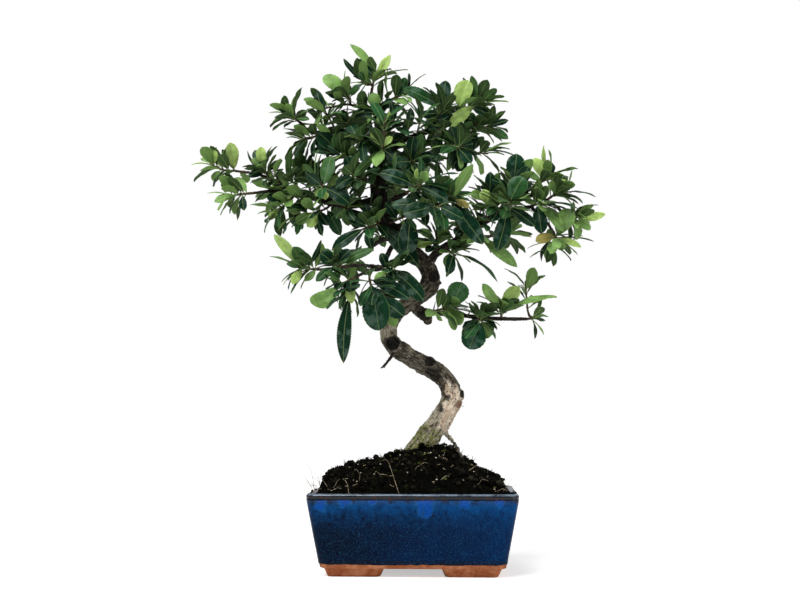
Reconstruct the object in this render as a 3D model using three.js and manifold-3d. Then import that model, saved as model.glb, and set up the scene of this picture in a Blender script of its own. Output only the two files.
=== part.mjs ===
// Firethorn bonsai: a small tree with an S-shaped trunk and leafy sprays, in a glazed pot of peat.
// Millimetres, +Z up, +X to the right and +Y away from the viewer.
import * as THREE from 'three';
import Module from 'manifold-3d';

const wasm = await Module();
wasm.setup();
const { Manifold } = wasm;
const SolidMesh = wasm.Mesh;

// Driving dimensions
const GAP = 0.3;
const POT_LENGTH = 150;
const POT_DEPTH = 110;
const POT_HEIGHT = 58;
const POT_BASE_LENGTH = 130.8;
const POT_BASE_DEPTH = 96.8;
const POT_CORNER = 8;
const POT_WALL = 5.5;
const POT_FLOOR_TOP = 12;
const FOOT_HEIGHT = 6;
const FOOT_LENGTH = 43;
const FOOT_DEPTH = 31;
const FOOT_TAPER = 4;
const FOOT_EDGE = 0.6;
const FOOT_CORNER = 4;
const FOOT_CENTRE = [41.3, 31];
const BAND_HEIGHT = 3;
const GLAZE_THICKNESS = 0.35;
const LIP_ROUND = 3;
const LIP_DROP = 1.2;
const LIP_EDGE = 1.5;
const DRAIN_RADIUS = 6.5;
const DRAIN_CENTRE = 32;
const MESH_SIDE = 22;
const MESH_THICKNESS = 1;
const MESH_OPENING = 5;
const MESH_PITCH = 7;
const SOIL_WALL_TOP = 54.5;
const LEAF_THICKNESS = 0.6;
const TWIG_SIDES = 4;
const LIMB_SIDES = 5;
const THIN_LIMB = 1.9;
const TRUNK_SIDES = 9;

// The crown leans to the left and forward, so the pot stands this far from the middle of the whole
const POT_OFFSET = [14, -11, 0];

// Colours, roughness and metalness as seen in daylight
const finish = (color, roughness) => new THREE.MeshStandardMaterial({ color, roughness, metalness: 0 });
const GLAZE = finish(0x10243f, 0.18);
const PLASTIC = finish(0x2b2f2a, 0.6);
const PEAT = finish(0x1d1813, 0.95);
const BARK = finish(0x4a4034, 0.85);
const FOLIAGE = finish(0x1f4d2b, 0.4);

// Small vector helpers on [x, y, z] lists
const add = (a, b) => [a[0] + b[0], a[1] + b[1], a[2] + b[2]];
const sub = (a, b) => [a[0] - b[0], a[1] - b[1], a[2] - b[2]];
const scale = (a, k) => [a[0] * k, a[1] * k, a[2] * k];
const dot = (a, b) => a[0] * b[0] + a[1] * b[1] + a[2] * b[2];
const cross = (a, b) => [a[1] * b[2] - a[2] * b[1], a[2] * b[0] - a[0] * b[2], a[0] * b[1] - a[1] * b[0]];
const norm = (a) => Math.sqrt(dot(a, a));
const unit = (a) => scale(a, 1 / norm(a));
const mix = (a, b, t) => add(scale(a, 1 - t), scale(b, t));

// Builds a closed solid from vertices and triangles, faces turned outwards
function solidFrom(vertices, triangles) {
  let volume = 0;
  for (const [i, j, k] of triangles) volume += dot(vertices[i], cross(vertices[j], vertices[k]));
  const ordered = volume < 0 ? triangles.map(([i, j, k]) => [i, k, j]) : triangles;
  return new Manifold(new SolidMesh({
    numProp: 3,
    vertProperties: new Float32Array(vertices.flat()),
    triVerts: new Uint32Array(ordered.flat()),
  }));
}

// Joins rings of equally many points into a closed skin, with a flat cap at each end
function loft(rings, firstCentre = null, lastCentre = null) {
  const count = rings[0].length;
  const vertices = rings.flat();
  const triangles = [];
  for (let row = 0; row + 1 < rings.length; row++) {
    for (let i = 0; i < count; i++) {
      const j = (i + 1) % count;
      const low = row * count;
      const high = low + count;
      triangles.push([low + i, low + j, high + j], [low + i, high + j, high + i]);
    }
  }
  const cap = (start, centre, turn) => {
    if (centre) vertices.push(centre);
    const hub = centre ? vertices.length - 1 : start;
    for (let i = centre ? 0 : 1; i < (centre ? count : count - 1); i++) {
      const edge = [start + i, start + (i + 1) % count];
      triangles.push(turn ? [hub, edge[1], edge[0]] : [hub, edge[0], edge[1]]);
    }
  };
  cap(0, firstCentre, true);
  cap((rings.length - 1) * count, lastCentre, false);
  return solidFrom(vertices, triangles);
}

// A three.js geometry, turned to +Z and moved, as a solid
function solidOf(geometry, matrix = new THREE.Matrix4()) {
  const shape = geometry.clone().applyMatrix4(matrix);
  const points = shape.getAttribute('position');
  const keys = new Map();
  const vertices = [];
  const remap = [];
  for (let i = 0; i < points.count; i++) {
    const p = [points.getX(i), points.getY(i), points.getZ(i)];
    const key = p.map((value) => Math.round(value * 1e4)).join();
    if (!keys.has(key)) keys.set(key, vertices.push(p) - 1);
    remap.push(keys.get(key));
  }
  const corners = shape.index ? Array.from(shape.index.array) : remap.map((value, i) => i);
  const triangles = [];
  for (let i = 0; i < corners.length; i += 3) {
    const face = [remap[corners[i]], remap[corners[i + 1]], remap[corners[i + 2]]];
    if (new Set(face).size === 3) triangles.push(face);
  }
  return solidFrom(vertices, triangles);
}

// Turns a solid into a named mesh of the scene
function meshOf(name, solid, material) {
  const { vertProperties, triVerts } = solid.getMesh();
  const geometry = new THREE.BufferGeometry();
  geometry.setAttribute('position', new THREE.BufferAttribute(new Float32Array(vertProperties), 3));
  geometry.setIndex(new THREE.BufferAttribute(new Uint32Array(triVerts), 1));
  geometry.computeVertexNormals();
  const mesh = new THREE.Mesh(geometry, material);
  mesh.name = name;
  return mesh;
}

// A rounded rectangle's outline, anticlockwise, with the long and short sides split for a curved top
function roundedRectangle(halfX, halfY, radius, z, cornerSteps = 3, longSteps = 1, shortSteps = 1) {
  const outline = [];
  const corners = [[1, -1, -90], [1, 1, 0], [-1, 1, 90], [-1, -1, 180]];
  corners.forEach(([sx, sy, start], index) => {
    const centre = [sx * (halfX - radius), sy * (halfY - radius)];
    for (let step = 0; step <= cornerSteps; step++) {
      const angle = THREE.MathUtils.degToRad(start + 90 * step / cornerSteps);
      outline.push([centre[0] + radius * Math.cos(angle), centre[1] + radius * Math.sin(angle), z]);
    }
    const steps = index % 2 === 0 ? shortSteps : longSteps;
    const next = corners[(index + 1) % 4];
    const nextAngle = THREE.MathUtils.degToRad(next[2]);
    const from = outline[outline.length - 1];
    const to = [
      next[0] * (halfX - radius) + radius * Math.cos(nextAngle),
      next[1] * (halfY - radius) + radius * Math.sin(nextAngle),
      z,
    ];
    for (let step = 1; step < steps; step++) outline.push(mix(from, to, step / steps));
  });
  return outline;
}

// Pot
const POT_WALL_HEIGHT = POT_HEIGHT - FOOT_HEIGHT;
const outerHalf = (z) => {
  const rise = (z - FOOT_HEIGHT) / POT_WALL_HEIGHT;
  return [
    THREE.MathUtils.lerp(POT_BASE_LENGTH, POT_LENGTH, rise) / 2,
    THREE.MathUtils.lerp(POT_BASE_DEPTH, POT_DEPTH, rise) / 2,
  ];
};
const innerHalf = (z) => outerHalf(z).map((half) => half - POT_WALL);
const INNER_CORNER = 4;

function makePot() {
  const ring = ([halfX, halfY], inset, corner, z) => (
    roundedRectangle(halfX - inset, halfY - inset, corner, z, 4)
  );
  const bandTop = FOOT_HEIGHT + BAND_HEIGHT;
  const lipLow = POT_HEIGHT - LIP_ROUND;
  const body = loft([
    ring(outerHalf(FOOT_HEIGHT), 0, POT_CORNER, FOOT_HEIGHT),
    ring(outerHalf(bandTop), 0, POT_CORNER, bandTop),
    ring(outerHalf(bandTop), -GLAZE_THICKNESS, POT_CORNER, bandTop + GLAZE_THICKNESS),
    ring(outerHalf(lipLow), 0, POT_CORNER, lipLow),
    ring(outerHalf(POT_HEIGHT), GLAZE_THICKNESS, POT_CORNER, POT_HEIGHT - LIP_DROP),
    ring(outerHalf(POT_HEIGHT), LIP_EDGE, POT_CORNER - 1, POT_HEIGHT),
    ring(outerHalf(POT_HEIGHT), POT_WALL - LIP_EDGE, INNER_CORNER + 1, POT_HEIGHT),
    ring(outerHalf(POT_HEIGHT), POT_WALL, INNER_CORNER, POT_HEIGHT - LIP_DROP),
    ring(innerHalf(POT_FLOOR_TOP), 0, INNER_CORNER, POT_FLOOR_TOP),
  ]);
  const feet = [];
  for (const sx of [-1, 1]) {
    for (const sy of [-1, 1]) {
      const section = (grow, z) => (
        roundedRectangle(FOOT_LENGTH / 2 + grow, FOOT_DEPTH / 2 + grow, FOOT_CORNER, z, 2)
          .map((point) => add(point, [sx * FOOT_CENTRE[0], sy * FOOT_CENTRE[1], 0]))
      );
      feet.push(loft([
        section(-FOOT_TAPER, 0),
        section(FOOT_EDGE - FOOT_TAPER, FOOT_EDGE),
        section(0, FOOT_HEIGHT + FOOT_EDGE),
      ]));
    }
  }
  const drains = [-1, 1].map((side) => {
    const floorThickness = POT_FLOOR_TOP - FOOT_HEIGHT;
    const bore = new THREE.CylinderGeometry(DRAIN_RADIUS, DRAIN_RADIUS, 2 * floorThickness, 12);
    const place = new THREE.Matrix4().makeRotationX(Math.PI / 2);
    place.setPosition(side * DRAIN_CENTRE, 0, FOOT_HEIGHT + floorThickness / 2);
    return solidOf(bore, place);
  });
  return Manifold.union([body, ...feet]).subtract(Manifold.union(drains));
}

function makeDrainMesh(side) {
  const sheet = new THREE.BoxGeometry(MESH_SIDE, MESH_SIDE, MESH_THICKNESS);
  const place = new THREE.Matrix4();
  place.setPosition(side * DRAIN_CENTRE, 0, POT_FLOOR_TOP + GAP + MESH_THICKNESS / 2);
  let solid = solidOf(sheet, place);
  for (const column of [-1, 1]) {
    for (const row of [-1, 1]) {
      const opening = new THREE.BoxGeometry(MESH_OPENING, MESH_OPENING, 3 * MESH_THICKNESS);
      const at = new THREE.Matrix4();
      at.setPosition(
        side * DRAIN_CENTRE + column * MESH_PITCH / 2,
        row * MESH_PITCH / 2,
        POT_FLOOR_TOP + GAP + MESH_THICKNESS / 2,
      );
      solid = solid.subtract(solidOf(opening, at));
    }
  }
  return solid;
}

// Soil mound, its ridge as seen from the front
const SOIL_RIDGE = [
  [-70, 60], [-67.5, 68], [-62, 71.5], [-48, 75], [-22, 80.5], [-8, 86], [8, 89], [22, 88.5],
  [33, 83], [47, 72], [62, 66], [70, 59],
];
const SOIL_RIM = 56.5;
const SOIL_HALF = 49;

function ridgeHeight(x) {
  for (let i = 0; i + 1 < SOIL_RIDGE.length; i++) {
    const [x0, z0] = SOIL_RIDGE[i];
    const [x1, z1] = SOIL_RIDGE[i + 1];
    if (x <= x1) return THREE.MathUtils.lerp(z0, z1, THREE.MathUtils.clamp((x - x0) / (x1 - x0), 0, 1));
  }
  return SOIL_RIDGE[SOIL_RIDGE.length - 1][1];
}

function soilHeight(x, y) {
  const across = Math.min(Math.abs(y) / SOIL_HALF, 1);
  const crown = 1 - Math.pow(across, 2.4);
  const lumps = 0.8 * Math.sin(0.31 * x + 1.7) * Math.cos(0.27 * y + 0.4)
    + 0.5 * Math.sin(0.73 * x - 0.5 * y);
  return SOIL_RIM + (ridgeHeight(x) - SOIL_RIM) * crown + lumps * crown;
}

function makeSoil() {
  const outline = (half, inset, z) => (
    roundedRectangle(half[0] - inset, half[1] - inset, INNER_CORNER, z, 2, 6, 4)
  );
  const low = POT_FLOOR_TOP + GAP;
  const edge = outline(innerHalf(SOIL_WALL_TOP), GAP, SOIL_WALL_TOP);
  const rings = [outline(innerHalf(POT_FLOOR_TOP), GAP, low), edge];
  for (const share of [0.97, 0.89, 0.78, 0.64, 0.48, 0.32, 0.16]) {
    rings.push(edge.map(([x, y]) => [x * share, y * share, soilHeight(x * share, y * share)]));
  }
  const mound = loft(rings, null, [0, 0, soilHeight(0, 0)]);
  const pocketSide = MESH_SIDE + 2 * GAP;
  const pocketTop = POT_FLOOR_TOP + MESH_THICKNESS + 2 * GAP;
  const pockets = [-1, 1].map((side) => {
    const pocket = new THREE.BoxGeometry(pocketSide, pocketSide, 2 * (pocketTop - POT_FLOOR_TOP));
    const place = new THREE.Matrix4();
    place.setPosition(side * DRAIN_CENTRE, 0, POT_FLOOR_TOP);
    return solidOf(pocket, place);
  });
  return mound.subtract(Manifold.union(pockets));
}

// Wood. Each limb is a list of [x, y, z, radius] from its root to its end.
const TRUNK = [
  [-9, 1, 60, 10.5], [-7, 1, 70, 10.2], [-3.6, 0, 78, 9.4], [2.6, -1, 87, 8.6], [10.5, -2, 97.4, 8.3],
  [18.8, -3, 108, 7.8], [25.2, -3, 118.5, 7.5], [28, -2.6, 126.5, 7.7], [26.6, -2, 133.5, 7.2],
  [21.4, -1, 141.4, 6.9], [11.6, 0, 148.6, 6.8], [-2, 0, 156, 6.7], [-12.6, 0, 162.6, 6.9],
  [-18.4, 0, 169.4, 6.3], [-19.6, 0, 176, 6], [-17.6, 1, 184, 5.9],
  [-12, 2, 191.5, 6], [-3, 3.4, 198.4, 6.2],
  [6.6, 4, 205.4, 6.6], [11.8, 3.4, 213.4, 7.2], [10.4, 2.4, 222.4, 6.5], [4, 1, 230.4, 5.8],
  [-5, 0, 239, 5.6], [-13, -1, 247, 5.7], [-20, -1, 256, 6], [-24.4, 0, 267, 6.4], [-26.8, 0, 279.4, 6],
  [-27.6, 0, 292.4, 5.2], [-26.2, 0, 306.4, 4.3], [-25.6, 0, 321.6, 3.4], [-28.4, 0, 337.4, 2.6],
  [-32, 0, 350, 2], [-33, 0, 359.6, 1.6],
];
const LIMBS = [
  // the cut stub and the thin lower right branch
  [[-6, 3.6, 198.6, 4.4], [3, 0, 191, 4.2], [11.2, -4, 182.4, 3.5]],
  [[4, -0.6, 190.6, 2.2], [16, -2, 189, 1.9], [35, -4, 187, 1.7],
    [52, -6, 184.6, 1.6], [71, -6, 183.8, 1.4], [84, -6, 183.7, 1.2]],
  // right arm with its forks
  [[9, 1, 224, 3.6], [18, -6, 234.5, 3.2], [40, -12, 247, 2.8], [53, -16, 255.5, 2.4], [68, -20, 261.4, 2]],
  [[66, -19.4, 260.6, 1.6], [80, -19.4, 264.4, 1.5], [88, -18, 266.5, 1.3]],
  [[52, -15.6, 255, 2], [68, -10, 268, 1.7], [84, -8, 279, 1.4], [92, -9, 284, 1.2]],
  [[83, -8, 278, 1.3], [100, -10, 272, 1.2], [112, -12, 262, 1]],
  [[87, -18.2, 266, 1.2], [97, -20, 255.4, 1.1], [103.6, -20, 246.4, 1]],
  // lower left twigs
  [[-12, -1, 246, 2.2], [-18, -8, 236, 1.9], [-21, -13, 228, 1.7], [-24, -20, 220.5, 1.5],
    [-33, -27, 218.5, 1.2]],
  [[-32, -26.4, 218.4, 1.2], [-43, -33, 212, 1]],
  [[-23.6, -19.4, 221, 1.3], [-38, -20, 223, 1.2], [-52, -22, 221.5, 1.1], [-68.5, -26, 219, 0.9]],
  // left arm with its forks
  [[-25, 0, 276, 3.6], [-52, 1, 272, 3], [-78, -3, 278, 2.4], [-94, -4, 281, 2]],
  [[-93, -4, 280.6, 1.7], [-105, -2, 289, 1.4], [-117, 0, 295.5, 1.2], [-128, 0, 298, 1]],
  [[-93, -4, 280.8, 1.4], [-108, -8, 281.5, 1.2], [-122, -9, 280, 1]],
  // upper left
  [[-26, 0, 317, 2.8], [-40, 0, 325, 2.3], [-53, 0, 329, 2], [-78, -4, 328, 1.5], [-87, -5, 335, 1.2]],
  [[-30, 0, 344, 1.7], [-43.5, 0, 348.5, 1.4]],
  [[-26.5, 0, 295, 2], [-40, -5, 302, 1.4]],
  // upper right
  [[-26, 0, 306, 2.5], [-11, 0, 319.5, 2], [8.5, -6, 326.5, 1.7], [16, -7, 333, 1.4]],
  [[8, -5.8, 326, 1.5], [24, -3, 332, 1.3], [38, -4, 341, 1]],
  [[-27, 0, 293, 2.7], [-5, 4, 305, 2.2], [20, 3, 316, 1.8], [40, 1, 326, 1.3]],
  // front
  [[-25, -2, 268, 2.2], [-14, -18, 273, 1.7], [-4, -30, 275, 1.3]],
  [[-14.6, -17, 273, 1.4], [0, -32, 266, 1.2]],
  [[-16, -1, 252, 2], [-2, -14, 259, 1.5], [12, -24, 265, 1.2]],
  // back
  [[-26, 1, 271, 2.6], [-34, 22, 277, 2], [-46, 40, 280, 1.4]],
  [[-26, 1, 284, 2.4], [-14, 22, 291, 1.9], [2, 40, 292, 1.3]],
  [[-27, 1, 304, 2.1], [-33, 18, 315, 1.6], [-40, 32, 324, 1.2]],
  [[-14, 0, 248, 2.2], [-28, 18, 246, 1.7], [-42, 34, 239, 1.2]],
  [[28, -9, 240.4, 2], [44, 8, 247, 1.6], [58, 26, 251, 1.2]],
  [[-26, 1, 311, 1.8], [-12, 14, 325, 1.4], [2, 26, 333, 1.1]],
  [[-62, -0.6, 274.6, 2], [-76, 16, 280, 1.5], [-94, 28, 285, 1.2]],
];
// Thorns, dead stubs and surface roots that belong to the wood
const SPURS = [
  [[-15, -4, 158.6, 1.3], [-20.4, -7, 151.4, 0.9], [-24.6, -8, 147.4, 0.5]],
  [[-20.4, -7, 151.4, 0.8], [-22.4, -9.4, 147.6, 0.5]],
  [[33, -2, 121, 0.9], [37.4, -3, 118.4, 0.5]],
  [[15, -1, 213, 2.6], [20.6, -1, 211.4, 1.6]],
];
const ROOTS = [
  [[20, -1.6, 104, 3], [24.6, -2, 97.4, 2], [30, -2.4, 91, 1.5], [36, -3, 80, 1.3]],
  [[-6, -6, 80, 4], [-15, -9, 75, 2.6], [-24, -10, 68, 1.8]],
  [[2, -5, 82, 4.2], [6, -13, 76, 3], [8, -20, 70, 2]],
  [[-2, 5, 82, 4.2], [-8, 13, 76, 3], [-14, 20, 70, 2]],
];
// Round scars of old cuts: centre, the way they face, radius, height
const SCARS = [
  [[-15.2, -5.4, 165.4], [-0.25, -1, 0.15], 5.4, 2.4],
  [[11.4, -5.6, 151.2], [0.2, -1, 0.4], 4, 2],
  [[33, -4.4, 127.6], [0.8, -1, 0.1], 3.4, 1.6],
  [[13.6, -3, 216], [0.5, -1, -0.1], 4.6, 1.8],
];

// Rings along a line of [x, y, z, radius] stations, kept from twisting
function tube(stations, sides, grow = 0, ridges = null) {
  const points = stations.map((station) => station.slice(0, 3));
  const last = points.length - 1;
  const ways = points.map((point, i) => {
    const before = i > 0 ? unit(sub(point, points[i - 1])) : null;
    const after = i < last ? unit(sub(points[i + 1], point)) : null;
    return unit(add(before ?? after, after ?? before));
  });
  let side = unit(cross(ways[0], Math.abs(ways[0][2]) > 0.9 ? [1, 0, 0] : [0, 0, 1]));
  const rings = points.map((point, i) => {
    side = unit(sub(side, scale(ways[i], dot(side, ways[i]))));
    const up = cross(ways[i], side);
    const shift = i === 0 ? -grow : i === last ? grow : 0;
    const centre = add(point, scale(ways[i], shift));
    return Array.from({ length: sides }, (value, k) => {
      const angle = 2 * Math.PI * k / sides;
      const radius = (stations[i][3] + grow) * (ridges ? ridges(k, i) : 1);
      return add(centre, add(scale(side, radius * Math.cos(angle)), scale(up, radius * Math.sin(angle))));
    });
  });
  return loft(rings);
}

// Long bark ridges that wander from side to side
const barkRidges = (k, i) => 1 + 0.055 * Math.sin(2.4 * k + 0.5 * i) + 0.03 * Math.sin(1.7 * i + k);

function scarSolid([centre, way, radius, height], grow) {
  const outer = radius + grow;
  const top = height + grow;
  const profile = [
    [0, -radius], [outer * 0.9, -radius], [outer, top * 0.4],
    [outer * 0.78, top], [outer * 0.45, top * 0.4], [0, top * 0.2],
  ].map(([x, y]) => new THREE.Vector2(x, y));
  const turn = new THREE.Quaternion().setFromUnitVectors(
    new THREE.Vector3(0, 1, 0),
    new THREE.Vector3(...unit(way)),
  );
  const place = new THREE.Matrix4().compose(
    new THREE.Vector3(...centre),
    turn,
    new THREE.Vector3(1, 1, 1),
  );
  return solidOf(new THREE.LatheGeometry(profile, 8), place);
}

function makeWood(grow = 0) {
  const pieces = [tube(TRUNK, TRUNK_SIDES, grow, barkRidges)];
  for (const limb of LIMBS) pieces.push(tube(limb, limb[0][3] < THIN_LIMB ? 4 : LIMB_SIDES, grow));
  for (const spur of SPURS) pieces.push(tube(spur, 4, grow));
  for (const root of ROOTS) pieces.push(tube(root, LIMB_SIDES, grow));
  for (const scar of SCARS) pieces.push(scarSolid(scar, grow));
  return Manifold.union(pieces);
}

// Leaves. A row of a spray's leaf list is
// [place along the twig, reach in x, y and z, width, tone, way the upper side faces, arch].
const FACES = {
  front: [0, -1, 0.35],
  up: [0, -0.35, 1],
  under: [0, 0.9, 0.6],
  left: [-1, -0.6, 0.3],
  right: [1, -0.6, 0.3],
  back: [0, 1, 0.35],
};
// Outline stations of a blade: [share of the length, share of the half width]
const SMALL_BLADE = [[0.6, 1]];
const PLAIN_BLADE = [[0.38, 0.84], [0.76, 0.94]];
const BROAD_BLADE = [[0.26, 0.62], [0.56, 1], [0.84, 0.76]];
const TOOTHED_BLADE = [
  [0.2, 0.66], [0.34, 0.86], [0.46, 0.78], [0.58, 1], [0.7, 0.84], [0.8, 0.86], [0.9, 0.5],
];
const BROAD_WIDTH = 12.4;
const SMALL_LENGTH = 17;
const FOLDED_WIDTH = 10.2;
const FOLD = 0.22;
const EDGE_WAVE = 0.35;
const TOOTHED_LENGTH = 48;
const STALK_LENGTH = 2;
const STALK_HALF = 0.38;
const RIBS = [-1, 0, 1];
const PLAIN_RIBS = [-1, 1];

// The leafy sprays: their twigs, [number, length] of the leaves that a rule adds, and the listed leaves
const SPRAYS = [
  // top of the tree
  {
    name: 'spray_top',
    twigs: [
      [[-33, 0, 358], [-30.7, -2, 368.5], [-28.3, -3, 374]],
      [[-31.6, -1.2, 364.4], [-38.6, -4.4, 366]],
    ],
    fill: [0, 15],
    leaves: [
      [0.97, -20, -3, 23, 6.5, 1, 'front', 1],
      [0.9, -5, -6, 11, 6, 3, 'front', 0.5],
      [0.5, 13, -4, 21, 7.5, 0, 'front', 1],
      [0.55, 22, -6, 17, 6, 2, 'up', 2],
      [0.75, -9, -5, 8, 6, 3, 'front', 0.5],
      [0.25, 7, -7, 4, 5, 3, 'up', 1],
      [0.7, 7, 13, 12, 7, 2, 'back', 1],
      [0.4, -10, 11, 10, 6.5, 2, 'back', 1],
      [1.95, -16, -2, 18, 5.5, 3, 'left', 1],
      [1.8, -4, -8, 6, 5, 2, 'front', 0.5],
      [1.6, -13, 5, -2, 7, 2, 'up', 1],
    ],
  },
  {
    name: 'spray_top_right',
    twigs: [[[-31, 0, 347], [-20, -3, 352], [-7, -5, 356]]],
    fill: [1, 20],
    leaves: [
      [0.25, 9, -9, -5, 10, 3, 'front', 1],
      [0.5, 19, -6, -4, 5, 1, 'up', 1],
      [0.97, 8, -3, 3, 4.5, 2, 'up', 0.5],
      [0.75, 4, -6, 9, 6, 3, 'front', 1],
    ],
  },
  {
    name: 'spray_leader_front',
    twigs: [[[-28.4, 0, 338], [-27.6, -6, 339.4], [-28, -11, 340.4]]],
    fill: [0, 20],
    leaves: [
      [0.95, -3, -3, 15, 9.5, 1, 'front', 1],
      [0.85, 13, -4, 9, 10.5, 3, 'front', 1],
      [0.9, -16, -5, -2, 8.5, 3, 'front', 2],
      [0.7, 9, -5, -13, 8, 2, 'front', 1],
    ],
  },
  // upper left
  {
    name: 'spray_left_high_tip',
    twigs: [[[-86, -5, 334.6], [-91, -6, 338], [-95, -6, 341]]],
    fill: [0, 17],
    leaves: [
      [0.97, -16, -2, 2, 5, 1, 'up', 1],
      [0.85, -8, -8, 6, 6.5, 2, 'front', 0.5],
      [0.3, -10, -5, -6, 6, 3, 'up', 1],
      [0.7, 20, -6, 2, 6.5, 3, 'up', 2],
      [0.45, 11, -8, -2, 5, 2, 'front', 1],
      [0.5, 6, 12, 9, 7, 2, 'back', 1],
    ],
  },
  {
    name: 'spray_left_high',
    twigs: [
      [[-42.6, 0, 348.2], [-50, -1, 349.8], [-58, -3, 348.5], [-70, -4, 346]],
      [[-49, -0.9, 349.6], [-49, -2.4, 353.6], [-51, -3.4, 357]],
    ],
    fill: [2, 20],
    leaves: [
      [0.93, -16, -3, 7, 6.5, 1, 'front', 1],
      [0.85, -9, -7, 7, 6, 3, 'front', 1],
      [0.7, -7, 10, 5, 7, 2, 'up', 1],
      [1.9, -18, -4, 15, 12, 1, 'front', 1.5],
      [1.75, -11, 5, 11, 7, 3, 'back', 1],
      [1.5, -13, -9, -3, 6.5, 3, 'up', 1],
      [1.6, 8, -6, 9, 6, 2, 'front', 1],
    ],
  },
  {
    name: 'spray_left_high_under',
    twigs: [[[-70, -3, 328.4], [-76, -8, 323], [-85, -9, 320]]],
    fill: [2, 20],
    leaves: [
      [0.95, -12, -3, 2, 5.5, 2, 'up', 1],
      [0.7, -8, -5, -10, 7, 2, 'front', 1],
      [0.4, 8, -6, -12, 8, 3, 'front', 1],
    ],
  },
  {
    name: 'spray_left_shoulder',
    twigs: [[[-39, -4.8, 301.6], [-50, -10, 306], [-59, -13, 308.6]]],
    fill: [2, 20],
    leaves: [
      [0.9, -14, -6, 16, 12.5, 3, 'front', 1],
      [0.6, -5, -4, 16, 9, 2, 'front', 1],
      [0.97, -17, -6, 1, 6, 3, 'up', 1],
      [0.78, -9, -9, 6, 6.5, 3, 'front', 1],
      [0.4, 11, -7, 7, 6, 1, 'up', 1],
      [0.5, -2, -8, -15, 8, 3, 'front', 1],
    ],
  },
  // left arm
  {
    name: 'spray_left_tip',
    twigs: [[[-127, 0, 297.8], [-137, 0, 299], [-147, -2, 299.6], [-155, -2, 303.6]]],
    fill: [0, 17],
    leaves: [
      [0.98, -16, -2, 1, 5, 1, 'up', 1],
      [0.93, -1, -4, 12, 8.5, 1, 'front', 0.5],
      [0.82, 8, -3, 16, 5.5, 3, 'right', 1],
      [0.38, -2, -5, 21, 10, 1, 'front', 1],
      [0.7, 0, -6, 9, 5.5, 1, 'front', 0.5],
      [0.72, -6, -4, -9, 6, 3, 'front', 1],
      [0.5, -2, -6, -18, 7.5, 1, 'front', 1],
      [0.25, 4, 14, -5, 7.5, 2, 'up', 1],
    ],
  },
  {
    name: 'spray_left_tip_low',
    twigs: [[[-121, -9, 280], [-130, -10, 279], [-138, -10, 278]]],
    fill: [0, 20],
    leaves: [
      [0.97, -18, -4, 2, 5, 2, 'up', 1],
      [0.7, -17, -5, -6, 7, 3, 'front', 1],
      [0.5, 2, -5, -13, 6, 3, 'front', 1],
    ],
  },
  {
    name: 'spray_left_arm_upper',
    twigs: [[[-111, -1, 292.2], [-112, -6, 296], [-114, -9, 299]]],
    fill: [0, 20],
    leaves: [
      [0.95, -2, -4, 16, 8, 1, 'front', 1],
      [0.85, -9, -4, 8, 6, 3, 'front', 1],
      [0.6, 12, -4, 9, 6, 3, 'front', 1],
      [0.5, 12, -2, 2, 6, 3, 'up', 1],
      [0.7, -12, -6, -4, 7, 3, 'front', 1],
    ],
  },
  {
    name: 'spray_left_arm_low',
    twigs: [[[-90, -4, 280], [-96, -8, 272], [-104, -9, 264]]],
    fill: [1, 20],
    leaves: [
      [0.97, -14, -3, 0, 6, 1, 'up', 1],
      [0.3, -12, -5, -1, 8.5, 3, 'front', 1],
      [0.5, -14, -6, 5, 8, 3, 'front', 1],
      [0.8, -8, -5, -8, 6, 0, 'front', 1],
      [0.6, 10, -5, -7, 6, 0, 'front', 1],
    ],
  },
  {
    name: 'spray_left_arm_inner',
    twigs: [[[-62, -0.6, 274.4], [-66, -8, 268], [-75, -12, 264], [-88, -11, 262]]],
    fill: [3, 20],
    leaves: [
      [0.9, -3, -3, -15, 5, 2, 'front', 1],
      [0.6, -13, -6, -9, 9, 1, 'front', 1],
      [0.75, -15, -6, 5, 7, 2, 'up', 1],
      [0.4, -13, -6, -12, 9, 0, 'front', 1],
      [0.5, 8, -8, -12, 8, 3, 'front', 1],
    ],
  },
  {
    name: 'spray_left_rosette',
    twigs: [
      [[-58, 0, 273.2], [-64, -12, 279], [-68, -22, 283]],
      [[-68, -21, 282.6], [-73, -20, 289]],
    ],
    fill: [0, 20],
    leaves: [
      [0.97, -31, -4, 1, 6, 2, 'up', 2],
      [0.9, 6, -5, 22, 11, 2, 'front', 1],
      [0.85, 19, -5, -12, 11.5, 3, 'front', 1],
      [0.93, -5, -4, -8, 5, 1, 'front', 0.5],
      [0.8, 1, -6, -9, 5, 0, 'front', 0.5],
      [0.7, 9, -4, 10, 6.5, 1, 'front', 1],
      [0.85, -13, -8, 10, 8, 3, 'front', 1],
    ],
  },
  {
    name: 'spray_left_arm_top',
    twigs: [[[-78, -3, 278], [-81, 3, 289], [-84, 5, 299]]],
    fill: [4, 20],
    leaves: [
      [0.9, -10, -8, 10, 8, 3, 'front', 1],
      [0.7, 10, -6, 9, 8, 3, 'front', 1],
    ],
  },
  // middle
  {
    name: 'spray_front_upper',
    twigs: [[[-5, -29.6, 275], [1, -36, 277.4], [5.6, -40, 279]]],
    fill: [0, 20],
    leaves: [
      [0.75, -26, -4, 10, 11.5, 3, 'front', 2],
      [0.95, 28, -4, 9, 7.5, 3, 'up', 2],
      [0.97, -2, -4, 11, 5, 0, 'front', 0.5],
      [0.9, 6, -6, 9, 8, 1, 'front', 0.5],
      [0.85, 22, -5, -12, 11.5, 3, 'front', 1],
    ],
  },
  {
    name: 'spray_front_low',
    twigs: [[[-1, -31, 266.4], [11, -40, 263], [19.4, -46, 262]]],
    fill: [0, 18],
    leaves: [
      [0.93, -24, -5, -6, 13.5, 3, 'front', 1.5],
      [0.6, -26, -2, 1, 10, 3, 'front', 2],
      [0.97, 0, -3, -15, 6, 2, 'front', 1],
      [0.98, 17, -4, -9, 10.5, 3, 'front', 1],
      [0.9, 7, 4, -13, 5, 1, 'under', 1],
    ],
  },
  {
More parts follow.
